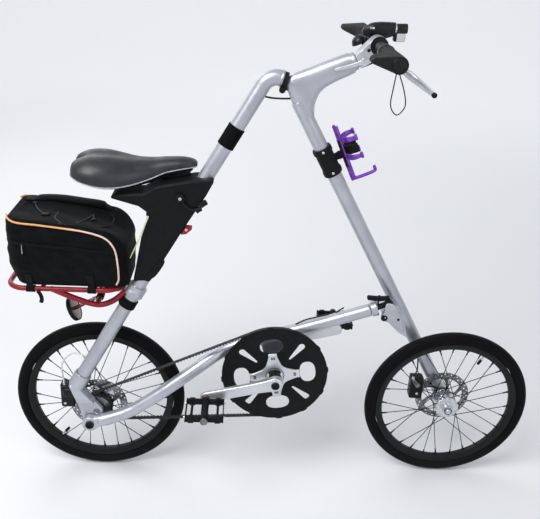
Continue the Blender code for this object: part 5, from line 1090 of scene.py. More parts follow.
class BIKE_OT_rotors(bpy.types.Operator):
    """Drilled steel brake rotors on silver carriers, and the axle caps"""

    bl_idname = "bike.rotors"
    bl_label = "Rotors"

    def execute(self, context):
        vents = context.scene.bike_sizes.rotor_vents
        for name, hub, side in WHEELS:
            centre, plane, out = (hub[0], hub[2]), side * ROTOR_Y, side * Y
            turn = np.arange(144) * 2.5
            wave = 1.0 - 0.006 * (0.5 - 0.5 * np.cos(np.radians(turn * 18)))
            outlines = [polar(centre, 0.0700 * wave, turn), circle(centre, 0.0175, 36)]
            for start in np.arange(10.0, 360.0, 60.0):
                outlines.append(polar_patch(centre, 0.0245, 0.0535, start, start + 46.0, 26.0))
            step = 360.0 / vents
            for k in range(vents):
                outlines.append(circle(polar(centre, 0.0655, step * k), 0.0021, 8))
                outlines.append(circle(polar(centre, 0.0600, step * (k + 0.5)), 0.0024, 8))
            carrier = [
                (
                    0.0083, 0.0343
                ), (0.0190, 0.0343), (0.0190, 0.0361), (0.0172, 0.0378), (0.0120, 0.0382), (0.0083, 0.0382),
            ]
            angle = np.radians(np.arange(24) * 15.0)
            spline = hub + 0.0150 * np.stack([np.cos(angle), np.zeros(24), np.sin(angle)], -1)
            skins = [
                plate(outlines, plane - 0.0008, plane + 0.0008, 0.00015),
                mark(lathe(hub, out, carrier, 48, ring=True), 1),
                mark(rods(spline + out * 0.0370, spline + out * 0.0390, 0.0010, 6), 2),
            ]
            for x, z in polar(centre, 0.0215, np.arange(6) * 60.0 + 30.0):
                skins.append(mark(bolt((x, side * 0.0360, z), out, 0.0026, 0.0014, 12), 2))
            finishes = ["brushed_steel", "turned_alloy", "nickel_brass"]
            build_piece(name + "_rotor_drilled", skins, finishes, name + "_wheel", [name + "_rotor"], 30.0)
            self.axle(name, hub, side)
        return {"FINISHED"}

    def axle(self, name, hub, side):
        """The fixed axle with its cap: a grey ring and a bright turned centre on the wheel's open side."""
        anchor = -0.0697 if name == "rear" else 0.0760
        out = -side * Y
        shaft = [(0.0052, 0.0), (0.0059, 0.0006), (0.0059, abs(anchor) + 0.0343)]
        ring = [
            (0.0100, 0.0343), (0.0100, 0.0370), (0.0090, 0.0380), (0.0072, 0.0382), (0.0068, 0.0374), (0.0068, 0.0343)
        ]
        cap = [
            (0.0067, 0.0343), (0.0067, 0.0376), (0.0058, 0.0386), (0.0034, 0.0388), (0.0030, 0.0384), (0.0030, 0.0360)
        ]
        skins = [
            lathe(
                hub + anchor * Y, out, shaft, 24
            ), lathe(hub, out, ring, 40, ring=True), mark(lathe(hub, out, cap, 32), 1),
        ]
        finishes = ["brushed_steel", "turned_alloy", "black_anodised"]
        build_piece(name + "_axle_turned", skins, finishes, name + "_frame", [name + "_axle"], 30.0)


# ---------------------------------------------------------------- drive


SPROCKET_R = 0.0357
BELT_WHEEL_R = 0.1222
CRANK_LENGTH = 0.1690
OPENINGS_DEG = 8.0
WHEEL_CENTRE = (BB[0], BB[2])
HUB_CENTRE = (REAR_HUB[0], REAR_HUB[2])


def resampled(path, count, closed=True):
    """A path with the given number of points, evenly spaced along its length."""
    if closed:
        path = np.concatenate([path, path[:1]])
    step = np.linalg.norm(np.diff(path, axis=0), axis=1)
    along = np.concatenate([[0.0], np.cumsum(step)])
    at = np.linspace(0.0, along[-1], count, endpoint=not closed)
    return np.stack([np.interp(at, along, path[:, k]) for k in range(path.shape[1])], -1)


class BIKE_OT_belt(bpy.types.Operator):
    """The toothed drive belt round the wheel and the sprocket"""

    bl_idname = "bike.belt"
    bl_label = "Belt"

    def execute(self, context):
        outline = hull(HUB_CENTRE, SPROCKET_R, WHEEL_CENTRE, BELT_WHEEL_R, 90)
        length = np.linalg.norm(np.roll(outline, -1, 0) - outline, axis=1).sum()
        teeth = int(round(length / context.scene.bike_sizes.belt_pitch))
        path = resampled(outline, teeth * 8)
        ahead = np.roll(path, -1, 0) - np.roll(path, 1, 0)
        ahead /= np.linalg.norm(ahead, axis=1)[:, None]
        out = np.stack([ahead[:, 1], -ahead[:, 0]], -1)
        phase = (np.arange(len(path)) % 8) / 8.0
        inner = 0.0024 - 0.0020 * np.clip(1.6 * np.sin(2 * math.pi * phase) + 0.2, 0.0, 1.0)
        flat = np.zeros_like(inner)
        lift = np.stack([
            inner, inner + 0.0002, flat + 0.0034, flat + 0.0036, flat + 0.0036, flat + 0.0034, inner + 0.0002, inner,
        ], -1)
        side = np.array([-0.0533, -0.0535, -0.0535, -0.0531, -0.0429, -0.0425, -0.0425, -0.0427])
        x, z = (path[:, k, None] + out[:, k, None] * lift for k in (0, 1))
        skins = [grid_skin(np.stack([x, np.broadcast_to(side, x.shape), z], -1), wrap_u=True)]
        belt = build_piece("drive_belt_toothed", skins, "belt_rubber", None, ["drive_belt"], 40.0)
        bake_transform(belt)
        return {"FINISHED"}


def toothed(centre, tip_r, root_r, teeth, samples=8):
    """A gear's outline: rounded teeth between a root and a tip radius."""
    phase = np.arange(teeth * samples) / samples
    share = np.clip(0.5 + 1.1 * np.sin(2 * math.pi * phase), 0.0, 1.0)
    return polar(centre, root_r + (tip_r - root_r) * share, 360.0 * phase / teeth)


class BIKE_OT_sprocket(bpy.types.Operator):
    """The small belt sprocket with its flange and freewheel"""

    bl_idname = "bike.sprocket"
    bl_label = "Sprocket"

    def execute(self, context):
        guard = circle(HUB_CENTRE, SPROCKET_R, 72)
        freewheel = [
            (
                0.0102, 0.0376
            ), (0.0164, 0.0376), (0.0164, 0.0536), (0.0150, 0.0543), (0.0110, 0.0540), (0.0102, 0.0530),
        ]
        face = [(0.0166, 0.0540), (0.0318, 0.0540), (0.0312, 0.0550), (0.0240, 0.0546), (0.0172, 0.0550)]
        skins = [
            plate(
                [toothed(HUB_CENTRE, 0.0356, 0.0338, 28), circle(HUB_CENTRE, 0.0168, 32)], -0.0535, -0.0395, 0.0003
            ),
            plate([guard, circle(HUB_CENTRE, 0.0150, 32)], -0.0545, -0.0535, 0.0003),
            plate([guard, circle(HUB_CENTRE, 0.0165, 32)], -0.0393, -0.0376, 0.0003),
            mark(lathe(REAR_HUB, -Y, freewheel, 40, ring=True), 1),
            mark(lathe(REAR_HUB, -Y, face, 64, ring=True), 1),
        ]
        finishes = ["black_anodised", "brushed_steel"]
        build_piece("rear_sprocket_toothed", skins, finishes, "rear_sprocket", ["rear_sprocket"], 30.0)
        return {"FINISHED"}


def oval_opening(angle_deg, half_along, half_out):
    """An oval opening in the belt wheel, wider round the wheel than across it."""
    centre = polar(WHEEL_CENTRE, 0.0800, angle_deg)
    local = oval(half_along, half_out, 28, 2.4)
    a = math.radians(angle_deg)
    along, out = np.array([-math.sin(a), math.cos(a)]), np.array([math.cos(a), math.sin(a)])
    return centre + local[:, :1] * along + local[:, 1:] * out


class BIKE_OT_belt_wheel(bpy.types.Operator):
    """The belt wheel with its guard, oval openings and slots, and the silver spider in front of it"""

    bl_idname = "bike.belt_wheel"
    bl_label = "Belt wheel and spider"

    def execute(self, context):
        turn = np.arange(360.0)
        tab = 0.5 + 0.5 * np.tanh((np.cos(np.radians((turn - 8.0) * 12.0)) - 0.78) * 14.0)
        outlines = [polar(WHEEL_CENTRE, 0.1284 + 0.0025 * tab, turn), circle(WHEEL_CENTRE, 0.0205, 40)]
        arms = OPENINGS_DEG + 90.0 * np.arange(4)
        for a in arms:
            outlines.append(oval_opening(a, 0.0285, 0.0195))
            near, far = polar(WHEEL_CENTRE, 0.0580, a + 45.0), polar(WHEEL_CENTRE, 0.1010, a + 45.0)
            outlines.append(hull(near, 0.0028, far, 0.0078, 8))
        skins = [plate(outlines, -0.0573, -0.0547, 0.0005)]
        for a in arms:
            skins.append(tube(raised(oval_opening(a, 0.0293, 0.0203), -0.0571), 0.0011, 6, up=Y, closed=True))
        for radius in (0.1262, 0.1180):
            bead = np.array(
                [(-0.0012, -0.0006), (0.0012, -0.0006), (0.0007, 0.0002), (-0.0007, 0.0002)]
            ) + (radius, 0.0)
            skins.append(lathe((BB[0], -0.0573, BB[2]), -Y, bead, 120, ring=True))
        ring = [toothed(WHEEL_CENTRE, BELT_WHEEL_R, 0.1204, 96), circle(WHEEL_CENTRE, 0.1140, 120)]
        ribs = (arms[:, None] + (32.0, 58.0)).ravel()
        ends = [raised(polar(WHEEL_CENTRE, radius, ribs), -0.0572) for radius in (0.050, 0.112)]
        skins += [plate(ring, -0.0548, -0.0425, 0.0003), rods(*ends, 0.0010, 8)]
        build_piece(
            "belt_wheel_guarded", skins, "black_nylon_moulding", "crankset", ["belt_wheel"], 32.0
        )

        outline = []
        for a in arms:
            tip, out = polar(WHEEL_CENTRE, 0.0520, a), polar((0.0, 0.0), 0.0085, a)
            left, right = polar(tip, 0.0105, a - 90.0), polar(tip, 0.0105, a + 90.0)
            outline += [left, left + out * 0.85, left + out + (tip - left) * 0.3]
            outline += [right + out + (tip - right) * 0.3, right + out * 0.85, right]
            waist = np.array([(0.0400, 23.0), (0.0335, 36.0), (0.0335, 54.0), (0.0400, 67.0)])
            outline += list(polar(WHEEL_CENTRE, waist[:, 0], a + waist[:, 1]))
        outline = curve(outline, 3, closed=True)
        collar = [(0.0179, -0.004), (0.0228, -0.004), (0.0228, 0.0002), (0.0215, 0.0003), (0.0179, -0.0006)]
        skins = [
            plate([outline, circle(WHEEL_CENTRE, 0.0180, 36)], -0.0627, -0.0579, 0.0007),
            mark(lathe((BB[0], -0.0625, BB[2]), -Y, collar, 48, ring=True), 1),
        ]
        for a in arms:
            spot, lean = raised(polar(WHEEL_CENTRE, 0.0485, a), -0.0624), math.radians(a)
            axes = ((math.cos(lean), 0, math.sin(lean)), (-math.sin(lean), 0, math.cos(lean)), Y)
            skins.append(mark(rounded_box(spot, (0.0034, 0.0048, 0.0004), 0.0004, axes), 1))
            skins.append(mark(bolt(spot - Y * 0.0001, -Y, 0.0030, 0.0003, 16), 2))
        finishes = ["forged_alloy", "black_anodised", "nickel_brass"]
        build_piece("spider_forged", skins, finishes, "crankset", ["spider"], 30.0)
        return {"FINISHED"}


def crank_heading(side):
    """The unit direction of a crank arm: the left one points straight away from the right one."""
    heading = math.radians(CRANK_DEG if side < 0 else CRANK_DEG - 180.0)
    return np.array([math.cos(heading), 0.0, math.sin(heading)])


def crank_skin(side):
    """The arm as rounded sections lofted from boss to tip, deeper behind, with a shallow channel in the face."""
    along = crank_heading(side)
    across = np.cross(along, Y)
    boss_r, tip_r, waist_r = 0.0186, 0.0143, 0.0142
    share = np.linspace(0.0, 1.0, 40)
    reach = CRANK_LENGTH * share
    waist = waist_r + (boss_r - waist_r) * np.clip(1 - share * 3.0, 0, 1) ** 2
    waist += (tip_r - waist_r) * np.clip((share - 0.80) / 0.20, 0, 1) ** 1.5
    head = np.radians(np.array([88.0, 72.0, 54.0, 36.0, 18.0]))
    stations = np.concatenate([-boss_r * np.sin(head), reach, CRANK_LENGTH + tip_r * np.sin(head[::-1])])
    widths = np.concatenate([boss_r * np.cos(head), waist, tip_r * np.cos(head[::-1])])
    ring = oval(1.0, 0.0059, 36, 4.2)
    side_part, lift = ring[:, 0], ring[:, 1]
    fade = np.clip((stations - 0.030) / 0.012, 0, 1) * np.clip((0.142 - stations) / 0.012, 0, 1)
    channel = 0.0011 * np.exp(-((side_part / 0.42) ** 4)) * fade[:, None]
    height = np.broadcast_to(lift[None], (len(stations), 36)) - np.where(lift > 0.003, channel, 0.0)
    depth = np.interp(stations, [0.0, 0.030, 0.140, CRANK_LENGTH], [2.5, 2.1, 1.35, 1.1])[:, None]
    height = np.where(height < 0, height * depth, height)
    middle = side * 0.0990
    grid = BB + stations[:, None, None] * along + (side_part[None] * widths[:, None])[..., None] * across
    grid = grid + (middle + side * height)[..., None] * Y
    return grid_skin(grid)


class BIKE_OT_cranks(bpy.types.Operator):
    """Both crank arms, the spindle with its caps, and the pedal axles"""

    bl_idname = "bike.cranks"
    bl_label = "Cranks"

    def execute(self, context):
        for name, side in (("right", -1.0), ("left", 1.0)):
            tip, out = BB + crank_heading(side) * CRANK_LENGTH, side * Y
            rim = [(0.0066, 0.1040), (0.0100, 0.1040), (0.0100, 0.1049), (0.0086, 0.1054), (0.0066, 0.1050)]
            eye = [(0.0096, 0.1040), (0.0136, 0.1040), (0.0132, 0.1056), (0.0110, 0.1062), (0.0096, 0.1058)]
            skins = [
                crank_skin(side), mark(lathe(tip, out, rim, 36, ring=True), 1), lathe(BB, out, eye, 40, ring=True),
            ]
            finishes = ["forged_alloy", "powder_coat" if name == "right" else "nickel_brass"]
            build_piece(
                name + "_crank_forged", skins, finishes, "crankset", [name + "_crank"], 32.0
            )

            axle = [
                (0.0044, 0.0), (
                    0.0049, 0.0005
                ), (0.0049, 0.0122), (0.0088, 0.0122), (0.0088, 0.0168), (0.0062, 0.0172),
                (
                    0.0050, 0.0180
                ), (0.0048, 0.0986), (0.0060, 0.0986), (0.0088, 0.0992), (0.0088, 0.1030), (0.0076, 0.1037),
            ]
            skins, node_name = [lathe(tip + out * 0.0932, out, axle, 28)], name + "_pedal_axle"
            build_piece(node_name + "_turned", skins, "brushed_steel", "crankset", [node_name], 35.0)
        cap = [
            (0.0084, 0.1040), (0.0097, 0.1050), (0.0099, 0.1082), (0.0090, 0.1092), (0.0058, 0.1093), (0.0056, 0.1072)
        ]
        sleeve = [
            (
                0.0086, 0.0632
            ), (0.0150, 0.0632), (0.0152, 0.0640), (0.0152, 0.0918), (0.0148, 0.0927), (0.0086, 0.0927),
        ]
        skins = [
            mark(lathe(BB, Y, [(0.0083, -0.1060), (0.0083, 0.1060)], 32), 1),
            lathe(BB, -Y, cap, 32), lathe(BB, Y, cap, 32), lathe(BB, -Y, sleeve, 40, ring=True),
        ]
        build_piece(
            "crank_spindle_capped", skins, ["black_anodised", "brushed_steel"], "crankset", ["crank_spindle"],
            32.0
        )
        return {"FINISHED"}


class BIKE_OT_pedals(bpy.types.Operator):
    """Cage pedals: a barrel between two toothed plates, with end webs and bolts"""

    bl_idname = "bike.pedals"
    bl_label = "Pedals"

    def execute(self, context):
        for name, side in (("right", -1.0), ("left", 1.0)):
            tip = BB + crank_heading(side) * CRANK_LENGTH
            near, far = 0.1112, 0.1908
            out = side * Y
            barrel = [
                (0.0056, near), (0.0098, near), (0.0108, near + 0.0030), (0.0108, near + 0.0120),
                (0.0086, near + 0.0160), (0.0086, far - 0.0160), (0.0104, far - 0.0120), (0.0104, far - 0.0020),
                (0.0092, far), (0.0056, far),
            ]
            skins = [lathe(tip, out, barrel, 36, ring=True)]
            for sign in (-1.0, 1.0):
                skins += self.cage(tip, side, sign, near, far)
            for y in (near + 0.0060, far - 0.0060):
                for sign in (-1.0, 1.0):
                    middle = tip + out * y + X * sign * 0.0265
                    skins.append(rounded_box(middle, (0.0175, 0.0042, 0.0070), 0.0022))
                    skins.append(rounded_box(middle + X * sign * 0.004, (0.0070, 0.0050, 0.0092), 0.0022))
            for sign in (-1.0, 1.0):
                rail = tip + out * (near + far) / 2 + X * sign * 0.0300
                skins.append(rounded_box(rail, (0.0028, (far - near) / 2 - 0.004, 0.0040), 0.0016))
                for y in (near + 0.0130, far - 0.0130):
                    spot = tip + out * y + X * sign * 0.0443
                    skins.append(mark(bolt(spot, X * sign, 0.0034, 0.0034, 14), 1))
            finishes = ["black_nylon_moulding", "nickel_brass"]
            build_piece(
                name + "_pedal_caged", skins, finishes, name + "_pedal", [name + "_pedal"], 35.0
            )
        return {"FINISHED"}

    def cage(self, tip, side, sign, near, far):
        """A thin upright plate with teeth along both long edges and a slot in its middle."""
        length = far - near
        at = np.linspace(0.0, length, 97)
        teeth = 0.0022 * np.clip(np.sin(at / length * 2 * math.pi * 8.0) * 1.5, -0.6, 1.0)
        ease = np.minimum(np.clip(at / 0.006, 0, 1), np.clip((length - at) / 0.006, 0, 1))
        half = 0.0060 + 0.0022 * ease + teeth * ease
        outline = np.concatenate([np.stack([at, half], -1), np.stack([at, -half], -1)[::-1]])
        slot = hull((0.018, 0.0), 0.0030, (length - 0.018, 0.0), 0.0030, 8)
        turn = Matrix(((0, 1, 0, tip[0] + sign * 0.0432), (side, 0, 0, side * near), (0, 0, 1, tip[2]), (0, 0, 0, 1)))
        return [plate([outline, slot], -0.0011, 0.0011, 0.0004, turn)]


# ---------------------------------------------------------------- frame


TUBE_R = 0.0170


class BIKE_OT_rear_frame(bpy.types.Operator):
    """The rear tube with its crook, the grip sleeve, and the cast foot that holds wheel and pivot"""

    bl_idname = "bike.rear_frame"
    bl_label = "Rear frame"

    def execute(self, context):
        start = rear_axis(REAR_TUBE_TOP_Z)
        turn = math.radians(REAR_TUBE_DEG)
        centre = start + CROOK_R * np.array([math.sin(turn), 0.0, -math.cos(turn)])
        heading = np.radians(np.linspace(REAR_TUBE_DEG, CROOK_END_DEG, 22))
        crook = centre + CROOK_R * np.stack([-np.sin(heading), np.zeros(22), np.cos(heading)], -1)
        end = unit([math.cos(heading[-1]), 0.0, math.sin(heading[-1])])
        straight = line(FOOT_TOP + REAR_DIR * 0.001, start, 40)[:-1]
        path = np.concatenate([straight, crook])
        skins = [tube(path, TUBE_R, 44, up=(0, 1, 0))]
        turned = [
            (TUBE_R - 0.001, -0.0028), (TUBE_R + 0.0002, -0.0026), (TUBE_R + 0.0016, 0.0), (TUBE_R + 0.0002, 0.0026),
            (TUBE_R - 0.001, 0.0028)
        ]
        bead = lathe(crook[-1] - end * 0.0034, end, turned, 44, ring=True)
        skins.append(bead)
        build_piece("rear_tube_painted", skins, "metallic_paint", "rear_frame", ["rear_tube"], 40.0)

        middle = rear_axis(0.8950)
        inner, wall = TUBE_R + 0.0003, 0.0021
        at = np.linspace(-0.0249, 0.0249, 91)
        ridge = np.where(np.abs(at) < 0.0215, 0.00035 * (np.cos(at / 0.00215 * 2 * math.pi) - 1.0), 0.0)
        edge = np.clip((0.0249 - np.abs(at)) / 0.0012, 0, 1) ** 0.5
        outer = np.stack([inner + 0.0008 + (wall - 0.0008) * edge + ridge, at], -1)
        profile = np.concatenate([outer, [(inner, 0.0249), (inner, -0.0249)]])
        skins = [lathe(middle, REAR_DIR, profile, 56, ring=True)]
        build_piece("tube_sleeve_ribbed", skins, "sleeve_rubber", "rear_frame", ["tube_sleeve"], 40.0)

        skins = [relaxed_copy("rear_foot", 0.0013, 5)]
        turned = [
            (TUBE_R + 0.0004, 0.0150), (TUBE_R + 0.0034, 0.0150), (TUBE_R + 0.0042, 0.0185),
            (TUBE_R + 0.0036, 0.0225), (TUBE_R + 0.0004, 0.0235)
        ]
        skins.append(lathe(FOOT_TOP, REAR_DIR, turned, 48, ring=True))
        build_piece("rear_foot_cast", skins, "metallic_paint", "rear_frame", ["rear_foot"], 40.0)
        head = PIVOT + Y * -0.0900
        skins = [
            lathe(
                head, -Y,
                [
                    (0.0100, 0.0006), (0.0104, 0.0014), (0.0104, 0.0040), (0.0092, 0.0054), (0.0058, 0.0056),
                    (0.0054, 0.0050), (0.0050, 0.0022)
                ],
                36
            ),
            lathe(PIVOT, -Y, [(0.0050, 0.0590), (0.0058, 0.0596), (0.0058, 0.0920)], 28),
        ]
        build_piece(
            "pivot_bolt_socketed", skins, "black_anodised", "bottom_tube", ["pivot_bolt"], 35.0
        )
        return {"FINISHED"}


class BIKE_OT_bottom_tube(bpy.types.Operator):
    """The bent bottom tube with bracket shell and gusset, its collar and ball, the latch lever and bits of cable"""

    bl_idname = "bike.bottom_tube"
    bl_label = "Bottom tube"

    def execute(self, context):
        skins = [relaxed_copy("bottom_tube", 0.0022, 12)]
        for side in (-1.0, 1.0):
            ring = [
                (0.0090, 0.0305), (0.0190, 0.0305), (0.0204, 0.0312), (0.0204, 0.0322), (0.0180, 0.0326),
                (0.0090, 0.0326)
            ]
            skins.append(mark(lathe(BB, side * Y, ring, 44, ring=True), 1))
        build_piece(
            "bottom_tube_painted", skins, ["metallic_paint", "black_anodised"], "bottom_tube", ["bottom_tube"],
            45.0
        )

        skins = [relaxed_copy("latch_ball", 0.0009, 3)]
        made = build_piece(
            "latch_ball_turned", skins, ["metallic_paint", "black_anodised"], "bottom_tube", ["latch_ball"],
            45.0
        )
        middles = np.zeros(len(made.data.polygons) * 3)
        made.data.polygons.foreach_get("center", middles)
        made.data.polygons.foreach_set("material_index", (middles[::3] > 0.2325).astype(np.int32))
        skins = [relaxed_copy("latch_lever", 0.0006, 3)]
        build_piece(
            "latch_lever_moulded", skins, "black_nylon_moulding", "latch_lever", ["latch_lever"],
            45.0
        )

        skins = []
        rear_bit = (
            (0.039, -0.0105, 0.4372), (0.060, -0.0120, 0.4500), (0.088, -0.0125, 0.4595), (0.115, -0.0120, 0.4672),
        )
        front_bit = ((0.134, -0.0110, 0.4732), (0.142, -0.0112, 0.4800), (0.150, -0.0105, 0.4852))
        for points in (rear_bit, front_bit):
            skins.append(tube(curve(points, 6), 0.0019, 10, dome=True))
        build_piece("bottom_tube_cable", skins, "glossy_abs", "bottom_tube", (), 40.0)
        return {"FINISHED"}


class BIKE_OT_apex(bpy.types.Operator):
    """The black fold hinge at the top: cheeks and pin on the rear tube, the knuckle under the stem, and its cable"""

    bl_idname = "bike.apex"
    bl_label = "Apex hinge"

    def execute(self, context):
        build_piece(
            "apex_hinge_cast", [relaxed_copy("apex_hinge", 0.0008, 3)], "black_anodised", "rear_frame",
            ["apex_hinge"], 45.0
        )
        skins = [relaxed_copy("apex_knuckle", 0.0008, 3)]
        build_piece(
            "apex_knuckle_cast", skins, "black_anodised", "apex_knuckle", ["apex_knuckle"], 45.0
        )
        low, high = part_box("apex_cable")
        points = [
            (low[0] + 0.0015, -0.0012, 0.9815), (-0.046, -0.0018, 0.9798), (-0.030, -0.0014, 0.9792),
            (-0.016, -0.0006, 0.9794), (high[0] - 0.0008, 0.0, 0.9801)
        ]
        cable = build_piece(
            "apex_cable_round", [tube(curve(points, 8), 0.0021, 12, dome=True)], "glossy_abs", None, ["apex_cable"],
            40.0
        )
        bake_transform(cable)
        return {"FINISHED"}


class BIKE_OT_front_frame(bpy.types.Operator):
    """The front tube with its welded head and stem, and the latch seat low on the tube"""

    bl_idname = "bike.front_frame"
    bl_label = "Front frame"

    def execute(self, context):
        arm, (at, below, root, along, lift) = self.arm()
        verts, faces = relaxed_copy("front_frame", 0.0021, 10)
        reach, height = (verts - root) @ along, (verts - root) @ lift
        floor = -0.92 * np.interp(reach, at, below)
        tuck = np.where((reach > 0.006) & (reach < 0.112) & (height > -0.095) & (height < floor), floor - height, 0.0)
        verts = verts + tuck[:, None] * lift
        crown = tube(
            line(front_axis(0.950), front_axis(1.002), 14), np.linspace(0.0170, 0.0112, 14), 44, up=(0, 1, 0),
            dome=True
        )
        skins = [(verts, faces), arm, crown]
        build_piece(
            "front_frame_painted", skins, "metallic_paint", "front_frame", ["front_frame"], 45.0
        )
        skins = [relaxed_copy("latch_bracket", 0.0009, 4)]
        route = [
            (0.2440, 0.4650), (0.2500, 0.4560), (0.2640, 0.4500), (0.2860, 0.4360), (0.3030, 0.4300),
            (0.2990, 0.4480), (0.2900, 0.4700), (0.2800, 0.4800), (0.2620, 0.4810), (0.2480, 0.4760)
        ]
        foot = curve(route, 5, closed=True)
        route = [
            (0.2482, 0.4700), (0.2490, 0.4950), (0.2530, 0.5030), (0.2620, 0.5040), (0.2720, 0.4990),
            (0.2820, 0.4860), (0.2960, 0.4540), (0.2760, 0.4540), (0.2560, 0.4600)
        ]
        cheek = curve(route, 5, closed=True)
        skins += [plate([foot], -0.0160, -0.0050, 0.0012), plate([cheek], -0.0186, -0.0150, 0.0012)]
        profile = [
            (0.0078, -0.0010), (0.0080, 0.0030), (0.0070, 0.0042), (0.0046, 0.0044), (0.0040, 0.0026),
            (0.0012, 0.0024)
        ]
        skins.append(mark(lathe((0.2500, -0.0160, 0.4645), -Y, profile, 32), 1))
        skins.append(mark(bolt((0.2845, -0.0184, 0.4620), -Y, 0.0032, 0.0016, 20), 1))
        build_piece(
            "latch_bracket_cast", skins, ["metallic_paint", "black_anodised"], "front_frame", ["latch_bracket"],
            45.0
        )
        return {"FINISHED"}

    def arm(self):
        """The stem with its swept web: ovals along the stem whose lower side follows the web's hollow curve."""
        root = STEER_TOP + (0.006, 0.0, 0.001)
        along = unit(STEM_END - root)
        lift = np.array([-along[2], 0.0, along[0]])
        stations = np.array([
            (
                -0.0292, 0.0080, 0.0480, 0.0040
            ), (-0.0280, 0.0130, 0.0560, 0.0070), (-0.0250, 0.0190, 0.0640, 0.0106), (-0.0200, 0.0235, 0.0720, 0.0140),
            (
                -0.0130, 0.0262, 0.0800, 0.0164
            ), (-0.0060, 0.0272, 0.0840, 0.0174), (-0.0010, 0.0274, 0.0790, 0.0176), (0.0040, 0.0272, 0.0680, 0.0177),
            (
                0.0100, 0.0268, 0.0545, 0.0178
            ), (0.0160, 0.0264, 0.0462, 0.0179), (0.0230, 0.0260, 0.0385, 0.0180), (0.0321, 0.0256, 0.0315, 0.0182),
            (
                0.0472, 0.0250, 0.0258, 0.0184
            ), (0.0656, 0.0244, 0.0236, 0.0187), (0.0833, 0.0236, 0.0230, 0.0190), (0.1000, 0.0226, 0.0230, 0.0192),
            (0.1120, 0.0212, 0.0224, 0.0193), (0.1160, 0.0205, 0.0215, 0.0194),
        ])
        at, above, below, half = curve(stations, 6).T
        ring = oval(1.0, 1.0, 56, 2.35)
        high = np.where(ring[None, :, 1] > 0, above[:, None] * ring[None, :, 1], below[:, None] * ring[None, :, 1])
        points = root + along * at[:, None, None] + lift * high[..., None] + Y * (
            half[:, None] * ring[None, :, 0]
        )[..., None]
        return grid_skin(points), (at, below, root, along, lift)


# ---------------------------------------------------------------- saddle


# Along the pad from tail to nose: X, half width, heights of the top and underside
PAD_STATIONS = np.array(
    [
        (-0.4770, 0.0240, 0.8200, 0.8040), (-0.4670, 0.0540, 0.8350, 0.7960), (-0.4400, 0.0725, 0.8460, 0.7850),
        (-0.4050, 0.0755, 0.8480, 0.7770), (-0.3700, 0.0660, 0.8430, 0.7760), (-0.3350, 0.0500, 0.8375, 0.7820),
        (-0.3000, 0.0360, 0.8375, 0.7940), (-0.2700, 0.0285, 0.8405, 0.8080), (-0.2350, 0.0240, 0.8420, 0.8170),
        (-0.2120, 0.0185, 0.8385, 0.8215), (-0.2025, 0.0100, 0.8320, 0.8240),
    ]
)


def pad_rings():
    """The pad's rings: superellipses over eased stations, with two rear lobes. The valley is a Gaussian across Y."""
    depth = bpy.context.scene.bike_sizes.saddle_channel
    x, wide, top, under = curve(PAD_STATIONS, 9).T
    angle = np.linspace(0, 2 * math.pi, 72, endpoint=False)
    side = np.sign(np.cos(angle)) * np.abs(np.cos(angle)) ** 0.86
    lift = np.sign(np.sin(angle)) * np.abs(np.sin(angle)) ** 0.86
    middle = (top + under) / 2 - (top - under) * 0.26
    up = np.where(lift > 0, (top - middle)[:, None] * lift, (middle - under)[:, None] * lift)
    y = wide[:, None] * side
    z = middle[:, None] + up
    rear = np.clip((-0.315 - x) / 0.10, 0, 1)[:, None]
    rear = rear * rear * (3 - 2 * rear)
    valley = np.exp(-((y / (0.010 + 0.10 * wide[:, None])) ** 2))
    z = z - depth * rear * valley * np.clip(lift * 3.0, 0, 1)
    tail = np.clip((-0.425 - x) / 0.05, 0, 1)[:, None]
    ahead = x[:, None] + 0.0150 * tail**1.5 * np.exp(-((y / 0.0150) ** 2))
    return np.stack([np.broadcast_to(ahead, y.shape), y, z], -1)


class BIKE_OT_saddle(bpy.types.Operator):
    """The vinyl pad with two rear lobes, its pale welt, and the moulded base"""

    bl_idname = "bike.saddle"
    bl_label = "Saddle"

    def execute(self, context):
        rings = pad_rings()
        pad = build_piece(
            "saddle_pad_padded", [grid_skin(rings)], "saddle_vinyl", "saddle_unit", ["saddle_pad"],
            180.0
        )
        soft = pad.modifiers.new("smooth", "SUBSURF")
        soft.levels = soft.render_levels = 1

        starboard, port = rings[3:-4, 38], rings[3:-4, 70]
        skins = []
        for edge, sign in ((starboard, -1.0), (port, 1.0)):
            path = edge + np.array([0.0, sign * 0.0004, -0.0004])
            skins.append(tube(path, 0.0014, 10, dome=True))
        build_piece("saddle_welt", skins, "trim_vinyl", "saddle_unit", (), 60.0)

        verts, faces = relaxed_copy("saddle_base", 0.0020, 8)
        shy = np.clip((0.8120 - verts[:, 2]) / 0.020, 0, 1) * np.clip((-0.300 - verts[:, 0]) / 0.060, 0, 1)
        verts[:, 1] *= 1.0 - 0.16 * shy
        verts[:, 2] += 0.0035 * shy
        skins = [(verts, faces)]
        build_piece(
            "saddle_base_moulded", skins, "black_nylon_moulding", "saddle_unit", ["saddle_base"], 45.0
        )
        return {"FINISHED"}


